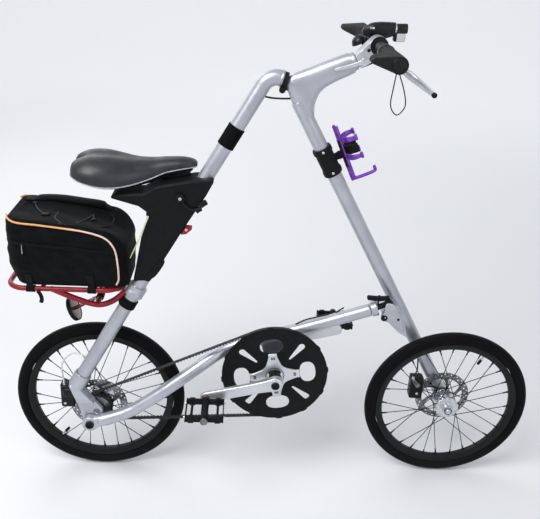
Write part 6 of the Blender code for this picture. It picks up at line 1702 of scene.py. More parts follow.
class BIKE_OT_bracket(bpy.types.Operator):
    """The moulded bracket that carries the saddle: ribs, screws, the quick lever, the yellow cord and the red clip"""

    bl_idname = "bike.bracket"
    bl_label = "Saddle bracket"

    def execute(self, context):
        skins = [relaxed_copy("saddle_bracket", 0.0018, 6)]
        face = -0.0580
        ridge = [(-0.3700, 0.7640), (-0.3160, 0.7690), (-0.2800, 0.7880), (-0.2060, 0.8010), (-0.1760, 0.8020)]
        ribs = [
            ridge, [(-0.2250, 0.7930), (-0.1900, 0.7935)], [(-0.3000, 0.7280), (-0.3120, 0.6700), (-0.3300, 0.5900)],
            [(-0.2200, 0.7130), (-0.2650, 0.6420), (-0.2990, 0.5850)], [(-0.1830, 0.7800), (-0.2030, 0.7440)],
        ]
        for points in ribs:
            skins.append(tube(raised(curve(points, 8), face - 0.0001), 0.0011, 8, up=Y, dome=True))
        for x, z in ((-0.3060, 0.5800), (-0.3250, 0.5750), (-0.2880, 0.6180)):
            skins.append(mark(bolt((x, face + 0.0004, z), -Y, 0.0034, 0.0018, 18), 1))
        foot = [(-0.3150, 0.5740), (-0.2960, 0.5740), (-0.2720, 0.6100), (-0.2800, 0.6180)]
        skins.append(plate([curve(np.array(foot), 6, closed=True)], face - 0.0016, face + 0.0020, 0.0009))
        skins.append(
            rounded_box(
                (-0.2860, -0.0440, 0.6020), (0.0130, 0.0130, 0.0060), 0.0035,
                (unit((0.55, 0, 0.83)), Y, unit((-0.83, 0, 0.55)))
            )
        )
        build_piece(
            "saddle_bracket_moulded", skins, ["black_nylon_moulding", "black_anodised"], "saddle_unit",
            ["saddle_bracket"], 45.0
        )

        knob = (-0.2360, 0.7680)
        skins = [plate([toothed(knob, 0.0110, 0.0101, 16, 6)], -0.0655, -0.0583, 0.0010)]
        skins.append(mark(bolt((knob[0], -0.0654, knob[1]), -Y, 0.0036, 0.0008, 20), 1))
        build_piece(
            "bracket_knob_ribbed", skins, ["black_nylon_moulding", "nickel_brass"], "saddle_unit", ["bracket_knob"],
            35.0
        )

        route = [
            (-0.2330, -0.0618, 0.7620), (-0.2260, -0.0622, 0.7530), (-0.2130, -0.0622, 0.7440),
            (-0.1990, -0.0618, 0.7440), (-0.1860, -0.0612, 0.7520)
        ]
        lever = curve(route, 8)
        skins = [tube(lever, np.linspace(0.0030, 0.0024, len(lever)), 12, up=(0, 1, 0), dome=True)]
        block = (unit((0.83, 0, 0.55)), Y, unit((-0.55, 0, 0.83)))
        skins.append(rounded_box((-0.1870, -0.0588, 0.7560), (0.0100, 0.0042, 0.0060), 0.0020, block))
        skins.append(rounded_box((-0.1960, -0.0590, 0.7420), (0.0070, 0.0040, 0.0050), 0.0018, block))
        build_piece("bracket_quick_lever", skins, "black_anodised", "saddle_unit", (), 40.0)

        route = [
            (-0.3070, -0.0520, 0.7240), (-0.3110, -0.0520, 0.7100), (-0.3170, -0.0520, 0.6930),
            (-0.3290, -0.0520, 0.6620), (-0.3500, -0.0520, 0.6165)
        ]
        strip = curve(route, 6)
        skins = [sweep(strip, oval(0.0034, 0.0013, 16, 4.0), up=(-0.9, 0, 0.45))]
        skins.append(mark(rounded_box((-0.3060, -0.0500, 0.7265), (0.0045, 0.0060, 0.0045), 0.0016), 1))
        skins.append(
            mark(
                rounded_box(
                    (-0.3505, -0.0500, 0.6150), (0.0040, 0.0060, 0.0045), 0.0016,
                    (unit((0.9, 0, -0.45)), Y, unit((0.45, 0, 0.9)))
                ),
                1
            )
        )
        build_piece("bracket_cord", skins, ["yellow_strip", "black_nylon_moulding"], "saddle_unit", (), 40.0)

        skins = [relaxed_copy("red_clip", 0.0007, 3)]
        skins.append(mark(bolt((-0.2230, -0.0566, 0.6930), -Y, 0.0030, 0.0010, 16), 1))
        build_piece(
            "red_clip_moulded", skins, ["powder_coat", "nickel_brass"], "saddle_unit", ["red_clip"],
            45.0
        )
        return {"FINISHED"}


# ---------------------------------------------------------------- rack and bag


BAG_LOW, BAG_REAR, BAG_FRONT, BAG_HALF = 0.5465, -0.6140, -0.3535, 0.0830


def bag_lid(x):
    """Height of the bag's upper edge along its length: it falls 33 mm from tail to nose, steepest at the nose."""
    share = np.clip((np.asarray(x, float) - BAG_REAR) / (BAG_FRONT - BAG_REAR), 0, 1)
    return 0.7160 - 0.0230 * share - 0.0100 * share**3


def bag_wall(z):
    """Half the bag's width at a height: it narrows by a fifth where it sits between the rack's rails."""
    rise = np.clip((np.asarray(z, float) - BAG_LOW) / 0.060, 0, 1)
    return BAG_HALF * (0.78 + 0.22 * rise * rise * (3 - 2 * rise))


def bag_skin(wrinkle):
    """The bag as rings of a rounded rectangle that rise up the walls and close over the lid.

    Each ring is the plan outline scaled about its middle; walls bulge by a half sine of height, the lid sags by a
    squared cosine, and creases are sines along slanted lines that fade at the seams.
    """
    corner, count = 0.026, 232
    middle = (BAG_REAR + BAG_FRONT) / 2
    half_x = (BAG_FRONT - BAG_REAR) / 2
    outline = resampled(rounded_plan(-half_x, half_x, BAG_HALF, corner, 10), count)
    floor_in = np.array([0.0, 0.35, 0.7, 0.90, 0.955, 0.985, 1.0])
    wall = np.linspace(0.0, 1.0, 46)
    lid_in = np.array([0.992, 0.972, 0.940, 0.90, 0.84, 0.76, 0.66, 0.55, 0.44, 0.33, 0.22, 0.12, 0.04])
    scale = np.concatenate([np.maximum(floor_in[:-1], 0.02), np.ones(46), lid_in])
    hem, brim = [0.0, 0.0, 0.0, 0.004, 0.012, 0.026], [0.962, 0.982, 0.994] + [1.0] * 10
    height = np.concatenate([hem, 0.045 + 0.895 * wall, brim])
    plan = outline[None] * scale[:, None, None]
    x = middle + plan[..., 0]
    y = plan[..., 1]
    rise = height[:, None]
    top = bag_lid(x)
    front_drop = 0.030 * np.clip((x - (BAG_FRONT - 0.050)) / 0.050, 0, 1) ** 2
    z = BAG_LOW + (top - front_drop - BAG_LOW) * rise
    y = y * bag_wall(z) / BAG_HALF
    x = np.where(x < middle, middle + (x - middle) * (0.90 + 0.10 * np.clip((z - BAG_LOW) / 0.060, 0, 1)), x)
    # the lid sags between its edges and climbs towards the far side
    on_lid = np.clip((rise - 0.93) / 0.07, 0, 1) * np.clip((1.0 - scale[:, None]) / 0.18, 0, 1)
    z = z - on_lid * 0.0085 * np.cos(np.clip(y / BAG_HALF, -1, 1) * math.pi / 2) ** 2
    z = z + on_lid * 0.0030 * np.sin((x - BAG_REAR) / 0.060) * np.cos(y / 0.045)
    normal = outline / np.linalg.norm(outline, axis=1)[:, None]
    flat = np.abs(outline)
    on_end, on_side = (flat[:, 0] > half_x - 0.004)[:, None], (flat[:, 1] > BAG_HALF - 0.004)[:, None]
    facing = np.where(on_end, (1.0, 0.0) * np.sign(outline), normal)
    facing = np.where(on_side, (0.0, 1.0) * np.sign(outline), facing)
    wall_share = np.sin(np.clip(rise, 0, 1) * math.pi)
    bulge = 0.0016 * wall_share**0.7
    crease = np.sin((x * 0.9 + z * 1.7) / 0.0085 + 1.3 * np.sin(z / 0.021)) * np.sin((x * 1.3 - z * 0.8 + y) / 0.031)
    crease = crease + 0.7 * np.sin((z * 2.1 - x * 0.6 + y * 0.8) / 0.0125 + np.sin(x / 0.017) * 1.4)
    crease = wrinkle * 0.45 * crease * wall_share * (1.0 - 0.65 * np.exp(-(((rise - 0.70) / 0.05) ** 2)))
    seam = -0.0011 * np.exp(-(((rise - 0.70) / 0.010) ** 2)) * (height[:, None] > 0.1)
    push = (bulge + crease + seam) * (scale[:, None] > 0.999)
    x = x + facing[None, :, 0] * push
    y = y + facing[None, :, 1] * push
    ripple = on_lid * wrinkle * 0.55 * (
        np.sin((x + y * 0.7) / 0.0150 + np.sin(y / 0.02)) * np.sin((y - x * 0.4) / 0.024)
    )
    return grid_skin(np.stack([x, y, z + ripple], -1))


class BIKE_OT_bag(bpy.types.Operator):
    """The soft nylon bag: creased walls, sagging lid, piping, zip, carry handle and crossing cords"""

    bl_idname = "bike.bag"
    bl_label = "Bag"

    def execute(self, context):
        sizes = context.scene.bike_sizes
        bag = build_piece(
            "bag_sewn", [bag_skin(sizes.bag_wrinkle)], "pack_nylon", "rear_frame", ["bag_body"], 180.0
        )

        near = -BAG_HALF - 0.0006
        along = [
            (-0.6125, -0.0560, float(bag_lid(-0.6125)) - 0.0010),
            (-0.6050, near + 0.010, float(bag_lid(-0.6050)) - 0.0030)
        ]
        along += [
            (x, near - 0.0006, float(bag_lid(x)) - 0.0060 - drop) for x,
            drop in (
                (-0.5850, 0.0), (-0.5400, 0.0), (-0.4900, 0.0), (-0.4500, 0.0), (-0.4150, 0.0030), (-0.3930, 0.0100)
            )
        ]
        along += [
            (x, -float(bag_wall(z)) - 0.0012, z) for x,
            z in (
                (-0.3790, 0.6560), (-0.3735, 0.6350), (-0.3710, 0.6050), (-0.3715, 0.5850), (-0.3735, 0.5700),
                (-0.3790, 0.5580)
            )
        ]
        path = curve(along, 8)
        build_piece(
            "bag_piping", [tube(path, sizes.piping_radius, 12, dome=True)], "piping_cord", "rear_frame", (),
            60.0
        )

        path_far = curve([(x, -y, z) for x, y, z in along], 8)
        skins = [tube(path_far, sizes.piping_radius, 10, dome=True)]
        build_piece("bag_piping_far", skins, "piping_cord", "rear_frame", (), 60.0)

        zip_line = np.array(
            [
                (-0.6085, -0.0700, 0.6640), (-0.5950, near - 0.0012, 0.6610), (-0.5450, near - 0.0016, 0.6555),
                (-0.4750, near - 0.0016, 0.6500), (-0.4050, near - 0.0012, 0.6450), (-0.3760, near + 0.0012, 0.6430)
            ]
        )
        zip_path = curve(zip_line, 10)
        skins = [sweep(zip_path, oval(0.0006, 0.0042, 14, 4.0), up=(0, 0, 1))]
        teeth = resampled(zip_path, 150, closed=False) + np.array([0.0, -0.0007, 0.0])
        step = unit(zip_path[-1] - zip_path[0])
        skins.append(mark(rods(teeth - step * 0.0006, teeth + step * 0.0004, 0.0012, 6), 1))
        slider = np.array([-0.5760, near - 0.0040, 0.6590])
        skins.append(mark(rounded_box(slider, (0.0050, 0.0020, 0.0036), 0.0014), 1))
        points = [slider, slider + (0.0, -0.0016, -0.0090), slider + (-0.0004, -0.0008, -0.0220)]
        skins.append(mark(sweep(curve(points, 6), oval(0.0018, 0.0009, 12, 3.0), up=(1, 0, 0)), 2))
        build_piece(
            "bag_zip", skins, ["webbing", "black_nylon_moulding", "nickel_brass"], "rear_frame", (), 50.0
        )

        lid = float(bag_lid(-0.50))
        points = [
            (-0.5880, 0.0560, lid + 0.0020), (-0.5640, 0.0590, lid + 0.0080), (-0.5200, 0.0600, lid + 0.0085),
            (-0.4700, 0.0600, lid + 0.0030), (-0.4300, 0.0590, lid - 0.0020), (-0.4080, 0.0560, lid - 0.0100)
        ]
        handle = curve(points, 8)
        share = np.linspace(0, 1, len(handle))
        fat = 0.0030 + 0.0042 * np.clip(np.minimum(share - 0.10, 0.90 - share) / 0.06, 0, 1)
        section = oval(1.0, 1.0, 18, 2.4)[None] * np.stack([0.0105 + 0.0030 * (fat > 0.006), fat], -1)[:, None]
        skins = [sweep(handle, section, up=(0, 0, 1))]
        for x in (-0.5880, -0.4080):
            z = float(bag_lid(x)) - 0.0010 - (0.0060 if x > -0.5 else 0.0)
            skins.append(mark(rounded_box((x, 0.0540, z), (0.0110, 0.0120, 0.0018), 0.0012), 1))
        build_piece("bag_handle", skins, ["webbing", "webbing"], "rear_frame", (), 60.0)

        border = oval(0.104, 0.0560, 96, 3.2)
        ring = np.stack([-0.4960 + border[:, 0], border[:, 1] - 0.004, bag_lid(-0.4960 + border[:, 0]) - 0.0052], -1)
        build_piece("bag_lid_seam", [tube(ring, 0.0017, 10, closed=True)], "webbing", "rear_frame", (), 60.0)

        skins = []
        routes = [
            ((-0.5752, 0.0340), (-0.5600, 0.0040), (-0.5358, -0.0280)),
            ((-0.5137, -0.0030), (-0.5130, -0.0380), (-0.4930, -0.0700)),
            ((-0.4613, -0.0545), (-0.4450, -0.0060), (-0.4390, 0.0140), (-0.4334, -0.0177)),
        ]
        for route in routes:
            flat = curve(np.array(route), 8)
            z = bag_lid(flat[:, 0]) + 0.0004 - 0.0050 * np.cos(flat[:, 1] / BAG_HALF * math.pi / 2) ** 2
            skins.append(tube(np.stack([flat[:, 0], flat[:, 1], z], -1), 0.0014, 8, dome=True))
        for x, y in ((-0.5752, 0.0340), (-0.4930, -0.0700), (-0.4613, -0.0545), (-0.4334, -0.0177)):
            skins.append(mark(disc((x, y, float(bag_lid(x)) - 0.0030), Z, 0.0056, -0.001, 0.0022, 0.0008, 20), 1))
        skins.append(
            mark(
                rounded_box((-0.5358, -0.0280, float(bag_lid(-0.5358)) - 0.0030), (0.0090, 0.0060, 0.0040), 0.0024), 1
            )
        )
        build_piece("bag_lid_cords", skins, ["elastic_cord", "black_nylon_moulding"], "rear_frame", (), 50.0)
        return {"FINISHED"}


class BIKE_OT_rack(bpy.types.Operator):
    """The red tubular rack, its silver clamp and a black band on the rear tube, the bag's straps, and the reflector"""

    bl_idname = "bike.rack"
    bl_label = "Rack"

    def execute(self, context):
        radius, half, corner = 0.0060, 0.0640, 0.0400
        front = -0.3900 + corner / 2
        rear = -0.6280
        loop = resampled(rounded_plan(rear, front, half, corner, 14), 180)
        skins = [tube(np.stack([loop[:, 0], loop[:, 1], np.full(180, RACK_Z)], -1), radius, 20, closed=True)]
        for x in (-0.5480, -0.4300):
            skins.append(tube(line((x, -half, RACK_Z), (x, half, RACK_Z), 2), radius * 0.8, 16))
            for y in (-half, half):
                turned = [
                    (radius * 0.8, -0.0085 if y > 0 else 0.0085), (radius * 0.98, -0.0062 if y > 0 else 0.0062),
                    (radius * 1.05, 0.0)
                ]
                skins.append(lathe((x, y, RACK_Z), Y, turned, 20))
        clamp = rear_axis(RACK_Z - 0.0070)
        arm = np.array([clamp[0] - 0.0260, clamp[1], RACK_Z])
        skins.append(tube(line((front - 0.004, arm[1], RACK_Z), arm, 4), radius, 20))
        for side in (-1.0, 1.0):
            route = [
                (-0.5250, side * half, RACK_Z), (-0.4750, side * half * 0.9, RACK_Z - 0.0260),
                (-0.4300, side * half * 0.7, RACK_Z - 0.0470),
                (-0.3950, side * half * 0.5 - half * 0.2, RACK_Z - 0.0370),
                (arm[0] + 0.006, arm[1] + side * 0.006, RACK_Z - 0.0060)
            ]
            strut = curve(route, 10)
            skins.append(tube(strut, radius * 1.12, 20, dome=True))
        cross = half * 0.7
        skins.append(
            tube(
                line((-0.4300, -cross, RACK_Z - 0.0470), (-0.4300, cross, RACK_Z - 0.0470), 3), radius, 20, dome=True
            )
        )
        build_piece("rack_frame_welded", skins, "powder_coat", "rear_frame", ["rack_frame"], 50.0)

        seat, outer = TUBE_R + 0.0004, 0.0228
        profile = [
            (seat, -0.0130), (outer - 0.0010, -0.0130), (outer, -0.0120), (outer, -0.0020), (outer - 0.0008, 0.0),
            (outer, 0.0020), (outer, 0.0120), (outer - 0.0010, 0.0130), (seat, 0.0130)
        ]
        skins = [lathe(clamp, REAR_DIR, profile, 48, ring=True)]
        away = unit(np.cross(REAR_DIR, Y))
        for offset in (-0.0065, 0.0065):
            spot = clamp + REAR_DIR * offset + away * 0.0215
            skins.append(mark(bolt(spot + Y * -0.004, -Y, 0.0030, 0.0040, 18), 1))
        ear = clamp + away * 0.0205
        skins.append(
            rounded_box(ear, (0.0045, 0.0060, 0.0110), 0.0015, (away, unit(np.cross(REAR_DIR, away)), REAR_DIR))
        )
        build_piece(
            "rack_clamp_split", skins, ["metallic_paint", "nickel_brass"], "rear_frame", ["rack_clamp"],
            40.0
        )
        band = [
            (seat, -0.0110), (seat + 0.0022, -0.0110), (seat + 0.0030, -0.0100), (seat + 0.0030, 0.0100),
            (seat + 0.0022, 0.0110), (seat, 0.0110)
        ]
        build_piece(
            "tube_band", [lathe(rear_axis(0.5030), REAR_DIR, band, 48, ring=True)], "sleeve_rubber", "rear_frame", (),
            40.0
        )

        skins, wide = [], 0.0095
        ring = oval(radius + 0.0022, radius + 0.0022, 28)
        for x in (-0.5725, -0.4355):
            for s in (-1.0, 1.0):
                path = line((x - wide, s * half, RACK_Z), (x + wide, s * half, RACK_Z), 5)
                skins.append(sweep(path, ring))
            for s in (-1.0, 1.0):
                band = curve(
                    [(x, s * (half + 0.0080), RACK_Z + 0.001), (x, s * (half + 0.0065), 0.5480)] + [
                        (x, s * (float(bag_wall(z)) + 0.0030), z) for z in (0.5600, 0.5720, 0.5840)
                    ],
                    6
                )
                skins.append(sweep(band, oval(wide * 0.8, 0.0009, 14, 5.0), up=(0, 1, 0.2)))
        route = [
            (-0.5560, -half - 0.0075, RACK_Z - 0.0020), (-0.5500, -half - 0.0085, RACK_Z - 0.0110),
            (-0.5480, -half - 0.0080, RACK_Z - 0.0220), (-0.5505, -half - 0.0075, RACK_Z - 0.0320)
        ]
        tail = curve(route, 6)
        skins.append(sweep(tail, oval(0.0046, 0.0009, 14, 4.0), up=(0, 1, 0)))
        build_piece("bag_straps", skins, "webbing", "rear_frame", (), 50.0)

        tilt = math.radians(24.8)
        facing = np.array([-math.cos(tilt), 0.0, -math.sin(tilt)])
        centre = np.array([-0.4950, 0.0, 0.4460 + 0.0])
        centre[2] = (0.416700 + 0.494900) / 2
        rim = [
            (0.0272, 0.0046), (0.0290, 0.0050), (0.0299, 0.0040), (0.0299, -0.0040), (0.0290, -0.0050),
            (0.0272, -0.0046)
        ]
        skins = [lathe(centre, facing, rim, 72, ring=True)]
        for way in (1.0, -1.0):
            turned = [(0.0271, 0.0), (0.0271, 0.0042), (0.0262, 0.0046), (0.0100, 0.0048)]
            skins.append(mark(lathe(centre, facing * way, turned, 72), 1))
        foot = np.array([-0.4300, 0.0, RACK_Z - 0.0470])
        stalk = unit(foot - centre)
        for k, (y, finish) in enumerate(((0.0, 2), (0.0075, 3), (-0.0075, 3))):
            path = line(centre + stalk * 0.007 + Y * y, foot - stalk * 0.0068 + Y * y, 6)
            skins.append(mark(tube(path, 0.0030 if k == 0 else 0.0021, 14, up=(0, 1, 0), dome=True), finish))
        turned = [
            (0.0064, -0.0105), (0.0086, -0.0105), (0.0090, -0.0098), (0.0090, 0.0098), (0.0086, 0.0105),
            (0.0064, 0.0105)
        ]
        skins.append(mark(lathe(foot, Y, turned, 36, ring=True), 0))
        skins.append(mark(bolt(foot - stalk * 0.0105 - Y * 0.0095, -Y, 0.0030, 0.0030, 16), 2))
        build_piece(
            "rear_reflector_prism", skins, ["black_nylon_moulding", "prism_plastic", "nickel_brass", "powder_coat"],
            "rear_frame", ["rear_reflector"], 40.0
        )
        return {"FINISHED"}


# ---------------------------------------------------------------- bars and what they carry


LEVER_FORWARD = unit((0.845, 0.0, -0.535))
LEVER_UP = unit((0.535, 0.0, 0.845))


def grip_grid(side):
    """Grip sections along Y: each eases by a share from a circle to the outline round bar and palm wing."""
    at = np.concatenate([[0.1102, 0.1106, 0.1116], np.linspace(0.1130, 0.2360, 60), [0.2380, 0.2392, 0.2398]])
    wing = np.clip((at - 0.1500) / 0.0700, 0, 1)
    wing = wing * wing * (3 - 2 * wing)
    shape = hull((BAR[0], BAR[2]), 0.0163, (BAR[0] - 0.0455, BAR[2] + 0.0060), 0.0062, 22)
    heading = math.degrees(math.atan2(0.0060, -0.0455))
    lean = math.degrees(math.asin((0.0163 - 0.0062) / math.hypot(0.0455, 0.0060)))
    angle = np.concatenate(
        [
            np.linspace(heading + 90.0 - lean, heading + 270.0 + lean, 23),
            np.linspace(heading - 90.0 + lean, heading + 90.0 - lean, 23)
        ]
    )
    plain = np.stack([BAR[0] + np.cos(np.radians(angle)), BAR[2] + np.sin(np.radians(angle))], -1)
    centre = np.array([BAR[0], BAR[2]])
    edge = np.concatenate([[0.90, 0.96, 0.99], np.ones(60), [0.99, 0.96, 0.90]])
    ribs = 0.00028 * (1 - wing) * np.cos((at - 0.11) / 0.0050 * 2 * math.pi)
    round_r = 0.0148 + 0.0006 * wing + ribs
    round_part = centre + (plain - centre)[None] * round_r[:, None, None]
    grid = round_part * (1 - wing)[:, None, None] + shape[None] * wing[:, None, None]
    grid = centre + (grid - centre) * edge[:, None, None]
    return np.stack([grid[..., 0], np.broadcast_to((side * at)[:, None], grid.shape[:2]), grid[..., 1]], -1), shape


class BIKE_OT_bars(bpy.types.Operator):
    """Both bar halves, their winged grips with end caps, and the brake mounts and levers"""

    bl_idname = "bike.bars"
    bl_label = "Bars"

    def execute(self, context):
        for name, side in (("right", -1.0), ("left", 1.0)):
            out = side * Y
            body = name + "_bar"
            at = [
                (0.0090, 0.0196), (0.0152, 0.0196), (0.0155, 0.0200), (0.0155, 0.0236), (0.0150, 0.0243),
                (0.0116, 0.0250), (0.0110, 0.0262), (0.0110, 0.2390)
            ]
            build_piece(
                name + "_bar_turned", [lathe((BAR[0], 0, BAR[2]), out, at, 36)], "black_anodised", body,
                [name + "_bar"], 35.0
            )

            grid, shape = grip_grid(side)
            skins = [grid_skin(grid)]
            centre = np.array([BAR[0] - 0.016, BAR[2] + 0.002])
            small = centre + (shape - centre) * 0.97
            low, high = sorted((side * 0.2392, side * 0.2424))
            skins.append(mark(plate([small], low, high, 0.0011), 1))
            end_cap = [
                (0.0158, 0.2385), (0.0162, 0.2392), (0.0162, 0.2424), (0.0154, 0.2434), (0.0138, 0.2434),
                (0.0134, 0.2427), (0.0126, 0.2427), (0.0120, 0.2433), (0.0060, 0.2437), (0.0010, 0.2438)
            ]
            skins.append(mark(lathe((BAR[0], 0, BAR[2]), out, end_cap, 48), 1))
            rim = [
                (0.0150, 0.1092), (0.0160, 0.1092), (0.0163, 0.1098), (0.0163, 0.1112), (0.0156, 0.1118),
                (0.0150, 0.1118)
            ]
            skins.append(mark(lathe((BAR[0], 0, BAR[2]), out, rim, 40, ring=True), 1))
            build_piece(
                name + "_grip_winged", skins, ["grip_rubber", "glossy_abs"], body, [name + "_grip"],
                40.0
            )

            skins = [relaxed_copy(name + "_brake_mount", 0.0007, 3)]
            skins.append(mark(bolt((BAR[0] - 0.0148, side * 0.088, BAR[2] - 0.002), -X, 0.0030, 0.0006, 16), 1))
            skins.append(mark(rods([BRAKE_PIVOT + out * 0.0800], [BRAKE_PIVOT + out * 0.0962], 0.0022, 14), 1))
            outer_end = BRAKE_PIVOT + out * 0.0830 - LEVER_FORWARD * 0.002 - LEVER_UP * 0.004
            inner_end = BRAKE_PIVOT + out * 0.0745 - LEVER_FORWARD * 0.006 - LEVER_UP * 0.0045
            barrel = line(outer_end, inner_end, 5)
            skins.append(tube(barrel, 0.0034, 16, dome=True))
            build_piece(
                name + "_brake_mount_cast", skins, ["black_anodised", "nickel_brass"], body, [name + "_brake_mount"],
                45.0
            )
            self.lever(name, side)
        return {"FINISHED"}

    def lever(self, name, side):
        """A flat blade that curves out along the bar: wide near the pivot, waisted, with a dark round tip."""
        base = BRAKE_PIVOT + side * Y * 0.0880
        points = [
            base + LEVER_FORWARD * a + side * Y * b for a,
            b in (
                (0.0, 0.0), (0.012, 0.002), (0.022, 0.012), (0.036, 0.029), (0.048, 0.045), (0.060, 0.073),
                (0.0705, 0.0975)
            )
        ]
        path = curve(points, 10)
        share = np.linspace(0, 1, len(path))
        tall = np.interp(share, [0, 0.08, 0.2, 0.45, 0.75, 1.0], [0.0038, 0.0046, 0.0066, 0.0080, 0.0066, 0.0044])
        thick = np.interp(share, [0, 0.15, 0.5, 1.0], [0.0037, 0.0038, 0.0034, 0.0030])
        section = oval(1.0, 1.0, 22, 2.6)[None] * np.stack([thick, tall], -1)[:, None]
        skins = [sweep(path, section, up=LEVER_UP)]
        end = unit(path[-1] - path[-2])
        profile = [
            (0.0030, 0.0), (0.0046, 0.0012), (0.0054, 0.0040), (0.0052, 0.0066), (0.0036, 0.0090), (0.0014, 0.0100)
        ]
        skins.append(mark(lathe(path[-1] - end * 0.0015, end, profile, 24), 1))
        collar = [(0.0036, -0.0120), (0.0047, -0.0116), (0.0049, -0.0060), (0.0047, -0.0010), (0.0034, 0.0)]
        skins.append(mark(lathe(path[-1], end, collar, 24), 0))
        skins.append(mark(rods([base - side * Y * 0.0038], [base + side * Y * 0.0038], 0.0034, 18), 0))
        build_piece(
            name + "_brake_lever_forged", skins, ["forged_alloy", "black_nylon_moulding"], name + "_brake_lever",
            [name + "_brake_lever"], 40.0
        )


class BIKE_OT_cockpit(bpy.types.Operator):
    """Lamp, bell, the silver bar clamp and its quick release"""

    bl_idname = "bike.cockpit"
    bl_label = "Lamp, bell and bar clamp"

    def execute(self, context):
        y = 0.0480
        stations = np.array([
            (0.1400, 0.0030, 1.1180, 0.0035), (0.1425, 0.0068, 1.1185, 0.0075), (0.1500, 0.0100, 1.1200, 0.0115),
            (0.1600, 0.0118, 1.1215, 0.0150), (0.1750, 0.0124, 1.1220, 0.0168), (0.1900, 0.0124, 1.1225, 0.0168),
            (0.2020, 0.0122, 1.1245, 0.0148), (0.2080, 0.0120, 1.1260, 0.0132),
        ])
        x, wide, mid, tall = curve(stations, 6).T
        ring = oval(1.0, 1.0, 32, 2.9)
        grid = np.stack(
            [
                np.broadcast_to(x[:, None], (len(x), 32)), y + ring[None, :, 0] * wide[:, None],
                mid[:, None] + ring[None, :, 1] * tall[:, None]
            ],
            -1
        )
        skins = [grid_skin(grid)]
        along = unit((0.096, 0.0, 0.004))
        nose = np.array([0.2070, y, 1.1262])
        skins.append(
            mark(lathe(nose, along, [(0.0112, 0.0), (0.0118, 0.0008), (0.0118, 0.0036), (0.0112, 0.0044)], 32), 2)
        )
        turned = [
            (0.0100, 0.0040), (0.0105, 0.0052), (0.0105, 0.0262), (0.0098, 0.0276), (0.0082, 0.0280),
            (0.0080, 0.0262), (0.0060, 0.0256)
        ]
        skins.append(lathe(nose, along, turned, 32))
        skins.append(mark(rounded_box((0.2210, y, 1.1090), (0.0105, 0.0092, 0.0088), 0.0030), 1))
        skins.append(mark(rounded_box((0.2100, y, 1.1115), (0.0030, 0.0100, 0.0110), 0.0022), 0))
        ridge = curve([(0.1420, y, 1.1235), (0.1560, y, 1.1335), (0.1750, y, 1.1379), (0.2000, y, 1.1382)], 6)
        skins.append(sweep(ridge, oval(0.0030, 0.0011, 12, 3.0), up=(0, 0, 1)))
        for s in (-1.0, 1.0):
            route = [
                (0.1480, y + s * 0.0098, 1.1200), (0.1650, y + s * 0.0120, 1.1170), (0.1900, y + s * 0.0124, 1.1150)
            ]
            rail = curve(route, 6)
            skins.append(tube(rail, 0.0010, 8, dome=True))
            skins.append(mark(rounded_box((0.1585, y + s * 0.0116, 1.1265), (0.0050, 0.0009, 0.0024), 0.0008), 2))
        neck = rounded_box((0.1730, y, 1.1090), (0.0105, 0.0072, 0.0080), 0.0040)
        skins.append(neck)
        turned = [
            (0.0113, y - 0.0070), (0.0162, y - 0.0070), (0.0168, y - 0.0062), (0.0168, y + 0.0062),
            (0.0162, y + 0.0070), (0.0113, y + 0.0070)
        ]
        skins.append(lathe((BAR[0], 0, BAR[2]), Y, turned, 44, ring=True))
        skins.append(mark(bolt((BAR[0] + 0.0050, y - 0.0072, BAR[2] - 0.0165 + 0.003), -Y, 0.0026, 0.0014, 16), 2))
        build_piece(
            "front_lamp_bodied", skins, ["glossy_abs", "clear_lens", "nickel_brass"], "left_bar", ["front_lamp"],
            40.0
        )

        by = 0.0650
        centre = np.array([0.1380, by, 1.0940])
        facing = unit((-0.45, 0.0, 0.89))
        dome = np.radians(np.linspace(90, 8, 16))
        profile = [
            (0.0150, -0.0030), (0.0162, -0.0030), (0.0165, -0.0022), (0.0165, -0.0006)
        ] + [(0.0163 * math.sin(a), 0.0148 * math.cos(a)) for a in dome]
        skins = [lathe(centre, facing, profile, 48)]
        turned = [(0.0166, -0.0026), (0.0170, -0.0020), (0.0170, -0.0004), (0.0166, 0.0002), (0.0160, 0.0)]
        skins.append(mark(lathe(centre, facing, turned, 48), 1))
        skins.append(mark(lathe(centre, facing, [(0.0036, 0.0142), (0.0036, 0.0150), (0.0024, 0.0156)], 20), 1))
        skins.append(
            mark(
                rounded_box(
                    (0.1520, by, 1.0930), (0.0090, 0.0035, 0.0040), 0.0018,
                    (unit((1, 0, 0.25)), Y, unit((-0.25, 0, 1)))
                ),
                2
            )
        )
        turned = [
            (0.0113, by - 0.0040), (0.0144, by - 0.0040), (0.0150, by - 0.0034), (0.0150, by + 0.0034),
            (0.0144, by + 0.0040), (0.0113, by + 0.0040)
        ]
        skins.append(mark(lathe((BAR[0], 0, BAR[2]), Y, turned, 36, ring=True), 2))
        trigger = curve(
            [(0.1370, by + 0.0130, 1.0890), (0.1320, by + 0.0150, 1.0960), (0.1350, by + 0.0155, 1.1020)], 6
        )
        skins.append(mark(tube(trigger, 0.0013, 10, dome=True), 1))
        build_piece(
            "bell_domed", skins, ["glossy_abs", "black_anodised", "black_nylon_moulding"], "left_bar", ["bell"],
            40.0
        )

